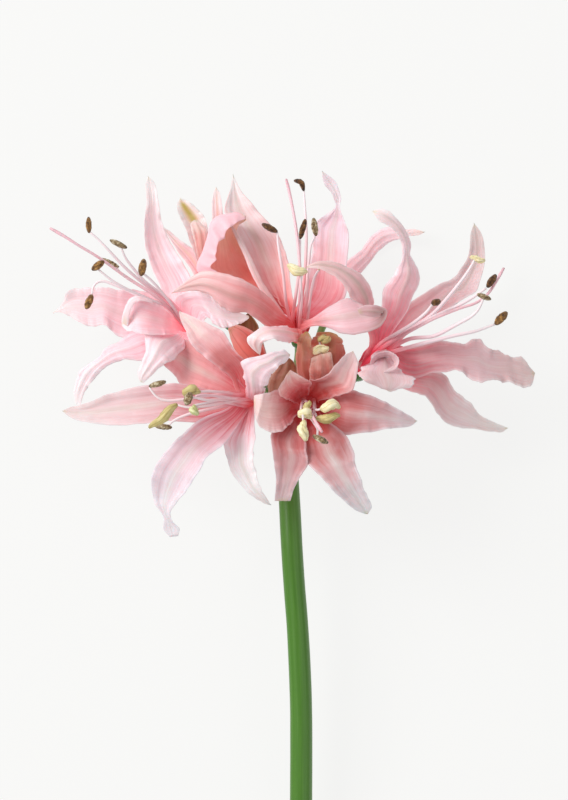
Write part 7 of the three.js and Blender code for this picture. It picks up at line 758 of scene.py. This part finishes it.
"G":{"path":[[-1.69,-16.93,-3.27],[-2.55,-10.37,-4.33],[-3.97,-4.48,-6.68],[-5.87,0.94,-9.9],[-8.17,6.06,-13.58],[-10.79,11.07,-17.31],[-13.66,16.16,-20.68],[-16.68,21.52,-23.28],[-19.78,27.32,-24.7]],
"ov":[-21.14,29.98,-25.0],"axis":[-0.453,0.8858,-0.1007]},
"H":{"path":[[2.02,-16.93,-4.44],[2.54,-10.51,-5.44],[3.49,-4.54,-7.2],[4.82,1.1,-9.5],[6.46,6.53,-12.12],[8.37,11.89,-14.84],[10.47,17.28,-17.44],[12.71,22.84,-19.7],[15.03,28.69,-21.39]],
"ov":[16.1,31.43,-22.0],"axis":[0.3549,0.9126,-0.2028]},
"I":{"path":[[-0.08,-16.93,-4.62],[-0.14,-14.11,-5.28],[-0.03,-11.38,-6.05],[0.14,-8.72,-6.87],[0.25,-6.14,-7.69],[0.19,-3.63,-8.45],[-0.15,-1.18,-9.1],[-0.89,1.22,-9.58],[-2.13,3.56,-9.85]],
"ov":[-3.79,6.06,-10.0],"axis":[-0.5517,0.8325,-0.0502]}},
"bud":{"path":[[-4.92,7.95,-10.0],[-7.2,11.36,-10.0],[-9.85,15.53,-10.0],[-12.88,19.7,-10.0],[-15.92,23.49,-10.5],[-18.58,26.16,-11.0],[-20.85,28.06,-11.0]],
"r":[1.6,3.0,4.4,5.2,4.9,3.4,0.9]},
"scape":[[0.75,-17.28,-2.0],[1.28,-26.3,-2.0],[2.1,-39.41,-1.0],[2.85,-54.38,0.0],[3.82,-69.38,0.0],[4.99,-84.38,0.0],[5.81,-99.38,0.0],[6.34,-114.38,0.0],[6.45,-129.38,0.0],[6.38,-150.0,0.0],[6.29,-170,0.0],[6.04,-190,0.0],[5.62,-210,0.0],[5.03,-230,0.0],[4.28,-250,0.0]]}''')

# ------------------------------------------------------------------ tepals and bracts
for k, (name, d) in enumerate(DATA["tepals"].items()):
    sp = dict(SPECIAL.get(name, {}))
    geo = {q: sp.pop(q) for q in ("ruffle", "freq", "keel", "ruffle_from", "thick", "frill", "fold", "blunt") if q in sp}
    look = dict(LOOK[name[0]])
    look.update(sp)
    look["tone"] = BLADE_TINT_AND_SHADE.get(name, (1.0, 1.0, 1.0))
    V, F, uv, side = blade([np.array(r) for r in d["rails"]], d["cup"], 11 + 7 * k, **geo)
    m = petal_material(name + "_skin", 3.0 + k, **look)
    for x in DATA["extra"].get(name, []):
        # a rolled-up margin of the same tepal
        V2, F2, uv2, side2 = blade([np.array(r) for r in x["rails"]], x["cup"], 400 + k, ruffle=0.35, frill=0.3, freq=6.0, fold=0.0, keel=0.0, ruffle_from=0.0, nc=15, blunt=0.0)
        uv2 = np.stack([uv2[:, 0], x["t"][0] + (x["t"][1] - x["t"][0]) * uv2[:, 1]], -1)
        F = list(F) + [tuple(q + len(V) for q in f) for f in F2]
        V, uv, side = np.vstack([V, V2]), np.vstack([uv, uv2]), np.r_[side, side2]
    new_piece(name + "_petal", to_row(V), F, uv, side, [m], None, name)

# ------------------------------------------------------------------ stamens
def filament_material(name, red="#F07C86", mid="#F2AEB8", end="#EFD8DE"):
    g = Graph(name)
    s, t = g.uv()
    n = g.noise(g.vec(g.math("MULTIPLY", s, 3.0), g.math("MULTIPLY", t, 9.0), 1.0), 1.0, 2.0)
    tt = g.math("MULTIPLY_ADD", g.math("SUBTRACT", n, 0.5), 0.12, t)
    col = g.ramp(tt, [(0.0, red), (0.16, red), (0.34, mid), (0.6, end), (1.0, "#F0E2E6")])
    b = g.bump(g.noise(g.obj(), 1800.0, 2.0), 0.2, 0.00008)
    # painted glow: an emission in the filament's own colour near its base, fading out by the middle, stands in for
    # light at the throat
    lit = g.math("MULTIPLY", g.math("SUBTRACT", 1.0, g.step(0.1, 0.5, t)), 0.4)
    g.put(g.p.inputs["Emission Color"], g.mix(lit, (0.0, 0.0, 0.0, 1.0), col))
    g.p.inputs["Emission Strength"].default_value = 1.0
    return g.set(color=col, rough=0.38, normal=b, sss=0.1, sss_radius=(1.0, 0.6, 0.55), sss_scale=0.0008, spec=0.4)


KIND = {
    "b": ("#7A5427", "#B98B4E", "#3B240E"),
    "d": ("#553314", "#8A6132", "#241406"),
    "t": ("#8D7450", "#D6CBAE", "#4A3A20"),
    "c": ("#DDCF9C", "#F1E9C6", "#A9955A"),
    "o": ("#B5A266", "#D2C58C", "#7E6E38"),
    "g": ("#B9BC7C", "#DDE0B0", "#8C8E50"),
}


def anther_material(name, kind):
    base, light, dark = KIND[kind]
    g = Graph(name)
    s, t = g.uv()
    if kind in "bdt":
        n1 = g.noise(g.obj(), 900.0, 4.0, 0.65)
        n2 = g.noise(g.obj(), 3200.0, 2.0, 0.6)
        col = g.ramp(n1, [(0.34, dark), (0.5, base), (0.66, light)])
        col = g.mix(g.step(0.6, 0.75, n2), col, lin(light))
        col = g.mix(g.math("MULTIPLY", g.math("SUBTRACT", 1.0, g.step(0.0, 0.12, g.math("MINIMUM", t, g.math("SUBTRACT", 1.0, t)))), 0.7), col, lin(dark))
        b = g.bump(n2, 0.9, 0.00025)
        b = g.bump(n1, 0.6, 0.0003, b)
        return g.set(color=col, rough=0.85, normal=b, spec=0.15, sheen=0.25, sheen_rough=0.6)
    n1 = g.noise(g.vec(g.math("MULTIPLY", s, 10.0), g.math("MULTIPLY", t, 3.0), 4.0), 1.0, 3.0)
    groove = g.math("ABSOLUTE", g.math("SINE", g.math("MULTIPLY", s, 4 * math.pi)))
    col = g.ramp(n1, [(0.3, base), (0.7, light)])
    # painted shade: darker along four lengthwise lines and towards both ends
    col = g.mix(g.math("MULTIPLY", g.math("SUBTRACT", 1.0, g.step(0.02, 0.35, groove)), 0.6), col, lin(dark))
    col = g.mix(g.math("MULTIPLY", g.math("SUBTRACT", 1.0, g.step(0.0, 0.14, g.math("MINIMUM", t, g.math("SUBTRACT", 1.0, t)))), 0.35), col, lin(dark))
    b = g.bump(n1, 0.25, 0.00012)
    return g.set(color=col, rough=0.5, normal=b, sss=0.2, sss_radius=(1.0, 0.8, 0.5), sss_scale=0.001, spec=0.35)


ANTHER = {}


def anther_parts(a, r, kind, seed, camdir=np.array([0, 0, 1.0])):
    P = catmull(np.array(a, float), 27)
    n = len(P)
    t = np.linspace(0, 1, n)
    prof = np.clip(np.sin(np.pi * np.clip(t, 0.012, 0.988)), 0, 1) ** 0.42
    if kind in "bdt":
        prof *= 1 + 0.06 * wobble(seed, t * 3)
        rad = r * prof * 0.97

        def shape(phi, f):
            return 0.9 + 0.1 * np.cos(2 * phi) + 0.04 * np.sin(5 * phi + 9 * f) + 0.03 * np.sin(9 * phi + 31 * f + seed) - 0.14 * np.exp(-((np.mod(phi + seed, math.pi) - math.pi / 2) / 0.2) ** 2)

        return tube(P, rad, 32, shape)
    rad = r * prof

    rad = rad * (1 + 0.12 * wobble(seed + 3, t * 2.2))
    tw = 2.6 * math.sin(seed * 1.7)
    T, U, W = frames(P)
    P = P + 0.30 * r * (U * np.sin(2.2 * math.pi * t + seed)[:, None] + W * np.cos(1.9 * math.pi * t + seed)[:, None]) * (np.sin(np.pi * t) ** 0.5)[:, None]

    def shape(phi, f):
        a = phi + tw * f + 0.3
        return 0.76 + 0.24 * np.abs(np.sin(a)) ** 0.6 + 0.07 * np.sin(4 * a + 7 * f) - 0.10 * np.exp(-((np.mod(a + math.pi / 2, math.pi) - math.pi / 2) / 0.22) ** 2)

    return tube(P, rad, 36, shape)


for f, st in DATA["stamens"].items():
    mats = [filament_material(f + "_filament_skin", **{"A": {}, "B": {"red": "#C84046", "mid": "#E68E94", "end": "#EFC9CE"}, "C": {"red": "#D8485C", "mid": "#E6A0AA"}, "D": {"red": "#CC5458", "mid": "#E29AA2", "end": "#F0C8CD"}, "E": {"red": "#A42A2C", "mid": "#CC7474"}, "F": {"red": "#A42A2C", "mid": "#CC7474"}}[f])]
    index = {}
    parts = []
    hub = np.array(st["hub"])
    ax = np.array(st["axis"])
    # low ring that joins the filaments
    ring = []
    e1 = unit(np.cross(ax, [0.3, 0.2, 0.93]))
    e2 = np.cross(ax, e1)
    for k in range(25):
        a = 2 * math.pi * k / 24
        ring.append(hub + ax * 0.2 + (e1 * math.cos(a) + e2 * math.sin(a)) * 1.25)
    v, fc, uv = tube(np.array(ring), np.full(25, 0.42), 10, caps=False)
    uv[:, 1] = 0.02
    parts.append((v, fc, uv, 0))
    q = np.linspace(-1, 1, 9)
    v, fc, uv = tube(hub + ax * (-0.3 + 0.8 * q)[:, None], 2.0 * np.sqrt(np.clip(1 - q * q * 0.97, 0.01, 1)), 20)
    uv[:, 1] = 0.02
    parts.append((v, fc, uv, 0))
    q = np.linspace(-1, 1, 9)
    v, fc, uv = tube(hub + ax * (-1.4 + 0.9 * q)[:, None] + e2 * 0.0, 2.7 * np.sqrt(np.clip(1 - q * q * 0.97, 0.01, 1)), 24)
    uv[:, 1] = 0.0
    parts.append((v, fc, uv, 0))
    for k, q in enumerate(st["fil"]):
        if q["kind"] not in index:
            index[q["kind"]] = len(mats)
            if q["kind"] not in ANTHER:
                ANTHER[q["kind"]] = anther_material("anther_" + q["kind"] + "_skin", q["kind"])
            mats.append(ANTHER[q["kind"]])
        A = catmull(np.array(q["anther"]), 27)
        P = np.array(q["path"], float)
        j = np.argmin(np.linalg.norm(A - P[-1], axis=1))
        P[-1] = A[j] * 0.85 + P[-1] * 0.15
        P = even(P, 44)
        for _ in range(6):
            P[1:-1] = 0.25 * P[:-2] + 0.5 * P[1:-1] + 0.25 * P[2:]
        rad = np.interp(np.linspace(0, 1, 44), [0, 0.25, 0.8, 1], [0.62, 0.62, 0.5, 0.34]) * (1.3 if f == "C" else 1.08)
        v, fc, uv = tube(P, rad, 10)
        parts.append((v, fc, uv, 0))
        v, fc, uv = anther_parts(q["anther"], q["r"], q["kind"], k + ord(f))
        parts.append((v, fc, uv, index[q["kind"]]))
    V, F, UV, M = join(parts)
    node = f + "_stamens"
    if f == "F":
        FST = (V, F, UV, M, mats)
        continue
    new_piece(f + "_stamen_set", to_row(V), F, UV, None, mats, None, node, M)

# ------------------------------------------------------------------ pistils
for f, p in DATA["pistils"].items():
    g = Graph(f + "_style_skin")
    s, t = g.uv()
    n = g.noise(g.vec(g.math("MULTIPLY", s, 4.0), g.math("MULTIPLY", t, 12.0), 2.0), 1.0, 2.0)
    col = g.ramp(g.math("MULTIPLY_ADD", g.math("SUBTRACT", n, 0.5), 0.1, t), [(0.0, "#D0606A"), (0.2, "#E4A0AA"), (0.55, "#ECC4CB"), (0.93, "#E6BEC7"), (1.0, "#D8ACB5")])
    b = g.bump(g.noise(g.obj(), 1500.0, 2.0), 0.25, 0.0001)
    m = g.set(color=col, rough=0.4, normal=b, sss=0.3, sss_radius=(1.0, 0.5, 0.5), sss_scale=0.0015, spec=0.4)
    P = even(np.array(p), 52)
    rad = np.interp(np.linspace(0, 1, 52), [0, 0.2, 0.85, 0.96, 1.0], [0.6, 0.66, 0.52, 0.62, 0.42])
    v, fc, uv = tube(P, rad, 14, lambda phi, q: 1 + 0.14 * np.cos(3 * phi) * sstep(0.9, 1.0, q))
    new_piece(f + "_style", to_row(v), fc, uv, None, [m], None, f + "_pistil")

# ------------------------------------------------------------------ pedicels, ovaries, the bud
def green(name, a, b, c, rough=0.34):
    g = Graph(name)
    s, t = g.uv()
    n1 = g.noise(g.vec(g.math("MULTIPLY", s, 14.0), g.math("MULTIPLY", t, 5.0), 7.0), 1.0, 3.0)
    n2 = g.noise(g.obj(), 700.0, 3.0)
    col = g.ramp(n1, [(0.3, a), (0.52, b), (0.75, c)])
    col = g.mix(g.math("MULTIPLY", g.step(0.5, 0.8, n2), 0.25), col, lin(c))
    bp = g.bump(n1, 0.3, 0.0001)
    bp = g.bump(n2, 0.15, 0.00008, bp)
    return g.set(color=col, rough=rough, normal=bp, sss=0.12, sss_radius=(0.5, 1.0, 0.3), sss_scale=0.0015, spec=0.45)


for f, p in DATA["pedicels"].items():
    P = even(np.array(p["path"]), 30)
    o = np.array(p["ov"])
    ax = np.array(p["axis"])
    rad = np.interp(np.linspace(0, 1, 30), [0, 0.1, 0.85, 1], [1.0, 0.88, 1.1, 1.45])
    parts = [(*tube(P, rad, 18, lambda phi, q: 1 + 0.03 * np.cos(6 * phi)), 0)]
    tt = np.linspace(-1, 1, 19)
    O = o[None] + ax[None] * (tt * 3.4)[:, None]
    orad = 2.85 * np.sqrt(np.clip(1 - (tt * 0.97) ** 2, 0.02, 1)) * (1 + 0.05 * tt) + 0.25
    parts.append((*tube(O, orad, 30, lambda phi, q: 0.93 + 0.09 * np.cos(3 * phi) - 0.03 * np.exp(-((np.mod(3 * phi, 2 * math.pi) / 0.5) ** 2))), 1))
    mats = [green(f + "_pedicel_skin", "#5C8A3E", "#7DA25A", "#9DBB7C"), green(f + "_ovary_skin", "#2F5E2A", "#46793A", "#6E9A58", 0.26)]
    node = f + "_pedicel_ovary"
    if f == "I":
        g = Graph("bud_skin")
        s, t = g.uv()
        fold = g.math("ABSOLUTE", g.math("SINE", g.math("MULTIPLY", s, 6 * math.pi)))
        n1 = g.noise(g.vec(g.math("MULTIPLY", s, 30.0), g.math("MULTIPLY", t, 2.0), 3.0), 1.0, 3.0)
        col = g.ramp(g.math("MULTIPLY_ADD", g.math("SUBTRACT", n1, 0.5), 0.4, t), [(0.0, "#C8483C"), (0.3, "#E4665A"), (0.6, "#F08478"), (0.85, "#F2A096"), (1.0, "#D8A486")])
        # painted shade: darker red along six lengthwise creases of the bud
        col = g.mix(g.math("MULTIPLY", g.math("SUBTRACT", 1.0, g.step(0.0, 0.4, fold)), 0.4), col, lin("#C03C34"))
        b = g.bump(n1, 0.4, 0.0002)
        mats.append(g.set(color=col, rough=0.42, normal=b, sss=0.4, sss_radius=(1.0, 0.35, 0.3), sss_scale=0.002, spec=0.35))
        bp = DATA["bud"]
        B = even(np.vstack([o + ax * 1.5, np.array(bp["path"])]), 48)
        br = np.interp(np.linspace(0, 1, 48), np.linspace(0, 1, 8), [1.4] + bp["r"])
        br[-1] = 0.3
        parts.append((*tube(B, br, 48, lambda phi, q: 0.9 + 0.1 * np.abs(np.sin(3 * phi + 1.2 * q)) ** 0.6), 2))
        node = "floret_I_bud"
    if f == "F":
        Vf, Ff, UVf, Mf, rim_tint_and_highlight = FST
        mats += rim_tint_and_highlight
        V, F, UV, M = join(parts)
        off = len(V)
        V = np.vstack([V, Vf])
        UV = np.vstack([UV, UVf])
        F += [tuple(q + off for q in x) for x in Ff]
        M += [m + 2 for m in Mf]
    else:
        V, F, UV, M = join(parts)
    new_piece(f + "_pedicel", to_row(V), F, UV, None, mats, None, node, M)

# ------------------------------------------------------------------ scape
SC = np.array(DATA["scape"], float)
P = even(SC, 150)
tt = np.linspace(0, 1, 150)
r = 3.92 + 0.42 * tt + 0.05 * wobble(9, tt * 3)
r[0] = 3.1
r[1] = 3.7
g = Graph("scape_skin")
s, t = g.uv()
n1 = g.noise(g.vec(g.math("MULTIPLY", s, 34.0), g.math("MULTIPLY", t, 5.0), 7.0), 1.0, 3.0)
n2 = g.noise(g.obj(), 320.0, 4.0)
n3 = g.noise(g.obj(), 2200.0, 2.0)
col = g.ramp(t, [(0.0, "#6A8A48"), (0.03, "#4A7620"), (0.25, "#42721A"), (0.6, "#44741C"), (0.93, "#4C7C24"), (1.0, "#6E9444")])
col = g.mix(g.math("MULTIPLY", g.step(0.4, 0.7, n1), 0.35), col, lin("#5A8A34"))
col = g.mix(g.math("MULTIPLY", g.step(0.5, 0.8, n2), 0.25), col, lin("#3F6C24"))
bp = g.bump(n1, 0.25, 0.00012)
bp = g.bump(n3, 0.12, 0.00005, bp)
skin = g.set(color=col, rough=0.34, normal=bp, sss=0.05, sss_radius=(0.5, 1.0, 0.25), sss_scale=0.002, spec=0.45)
g = Graph("scape_cut")
n1 = g.noise(g.obj(), 900.0, 4.0, 0.6)
v = g.t.nodes.new("ShaderNodeTexVoronoi")
v.inputs["Scale"].default_value = 1400.0
g.link(g.obj(), v.inputs["Vector"])
col = g.ramp(n1, [(0.3, "#A9B878"), (0.6, "#D2D8A8"), (0.8, "#E6E6C4")])
col = g.mix(g.math("MULTIPLY", g.step(0.0, 0.4, v.outputs["Distance"]), 0.3), col, lin("#8FA45C"))
bp = g.bump(v.outputs["Distance"], 0.5, 0.0002)
cut = g.set(color=col, rough=0.5, normal=bp, sss=0.2, sss_radius=(0.8, 1.0, 0.4), sss_scale=0.002)
V, F, UV = tube(P, r, 56, lambda phi, q: 1 + 0.008 * np.cos(7 * phi) + 0.015 * np.cos(2 * phi + 0.5), caps=False)
sides = 56
# cut end: rim, slightly sunk pith, fibres
n = len(P)
T = unit(P[-1] - P[-2])
T0 = unit(P[0] - P[1])
rows = []
base = len(V)
ringv = V[(n - 1) * sides :]
M = [0] * len(F)
prev = list(range((n - 1) * sides, n * sides))
for k, (sc, dz) in enumerate([(0.97, 0.12), (0.9, 0.1), (0.75, -0.05), (0.5, -0.18), (0.25, -0.22)]):
    jit = 0.05 * np.sin(np.arange(sides) * 2.3 + k * 1.9)
    q = P[-1] + (ringv - P[-1]) * sc + T * (dz + jit[:, None] * (k > 0))
    ids = list(range(len(V), len(V) + sides))
    V = np.vstack([V, q])
    UV = np.vstack([UV, np.stack([np.linspace(0, 1, sides, endpoint=False), np.full(sides, 1.0)], -1)])
    for j in range(sides):
        F.append((prev[j], prev[(j + 1) % sides], ids[(j + 1) % sides], ids[j]))
        M.append(0 if k == 0 else 1)
    prev = ids
V = np.vstack([V, P[-1] + T * -0.22])
UV = np.vstack([UV, [[0.5, 1.0]]])
for j in range(sides):
    F.append((prev[j], prev[(j + 1) % sides], len(V) - 1))
    M.append(1)
# paler receptacle: the top of the scape tapers between the bases of the pedicels
prev = list(range(0, sides))
ring0 = V[:sides].copy()
for sc, dz in [(1.12, 0.35), (1.16, 0.9), (1.08, 1.7), (0.96, 2.6), (0.8, 3.3), (0.5, 3.8), (0.2, 4.0)]:
    q = P[0] + (ring0 - P[0]) * sc + T0 * dz
    ids = list(range(len(V), len(V) + sides))
    V = np.vstack([V, q])
    UV = np.vstack([UV, np.stack([np.linspace(0, 1, sides, endpoint=False), np.full(sides, 0.0)], -1)])
    for j in range(sides):
        F.append((prev[(j + 1) % sides], prev[j], ids[j], ids[(j + 1) % sides]))
        M.append(2 if dz > 0.3 else 0)
    prev = ids
V = np.vstack([V, P[0] + T0 * 4.02])
UV = np.vstack([UV, [[0.5, 0.0]]])
for j in range(sides):
    F.append((prev[(j + 1) % sides], prev[j], len(V) - 1))
    M.append(2)
new_piece("scape_stem", to_row(V), F, UV, None, [skin, cut, green("scape_top_skin", "#5C8A3E", "#7DA25A", "#9DBB7C")], None, "scape", M)

# ------------------------------------------------------------------ floor, light, camera
def plane(name, size, z):
    me = bpy.data.meshes.new(name)
    h = size / 2
    me.from_pydata([(-h, -h, z), (h, -h, z), (h, h, z), (-h, h, z)], [], [(0, 1, 2, 3)])
    o = bpy.data.objects.new(name, me)
    bpy.context.collection.objects.link(o)
    return o


floor = plane("floor", 6.0, 0.0)
g = Graph("floor_paper")
n1 = g.noise(g.obj(), 6.0, 2.0)
col = g.mix(g.math("MULTIPLY", n1, 0.3), lin("#5E5E5D"), lin("#5A5A59"))
floor.data.materials.append(g.set(color=col, rough=0.9, spec=0.0))
g.p.inputs["Emission Color"].default_value = (1.0, 1.0, 0.99, 1.0)
g.p.inputs["Emission Strength"].default_value = 0.82

world = bpy.data.worlds.new("studio")
bpy.context.scene.world = world
world.use_nodes = True
bg = world.node_tree.nodes["Background"]
bg.inputs[0].default_value = (1.0, 1.0, 1.0, 1.0)
bg.inputs[1].default_value = 0.54


def area(name, loc, target, size, power, color=(1, 1, 1)):
    l = bpy.data.lights.new(name, "AREA")
    l.shape = "RECTANGLE"
    l.size, l.size_y = size
    l.energy = power
    l.color = color
    o = bpy.data.objects.new(name, l)
    bpy.context.collection.objects.link(o)
    o.location = PLACE @ Vector(loc)
    o.rotation_euler = (PLACE @ Vector(target) - o.location).to_track_quat("-Z", "Y").to_euler()
    return o


area("key", (-1.45, 0.75, 1.25), (0.0, 0.0, 0.0), (1.2, 1.2), 37.0, (1.0, 0.99, 0.97))
area("fill", (0.9, -0.2, 1.1), (0.0, 0.0, 0.0), (1.0, 1.0), 2.0)

cam = bpy.data.cameras.new("camera")
cam.lens = 120.0
cam.sensor_fit = "VERTICAL"
cam.sensor_height = 36.0
cam.sensor_width = 36.0
cam.clip_start = 0.05
cam.clip_end = 20.0
co = bpy.data.objects.new("camera", cam)
bpy.context.collection.objects.link(co)
co.matrix_world = PLACE @ Matrix.Translation(Vector((0.0, 0.0, 1.0)))
bpy.context.scene.camera = co
bpy.context.scene.view_settings.view_transform = "Standard"
bpy.context.scene.view_settings.look = "None"

bpy.context.view_layer.update()
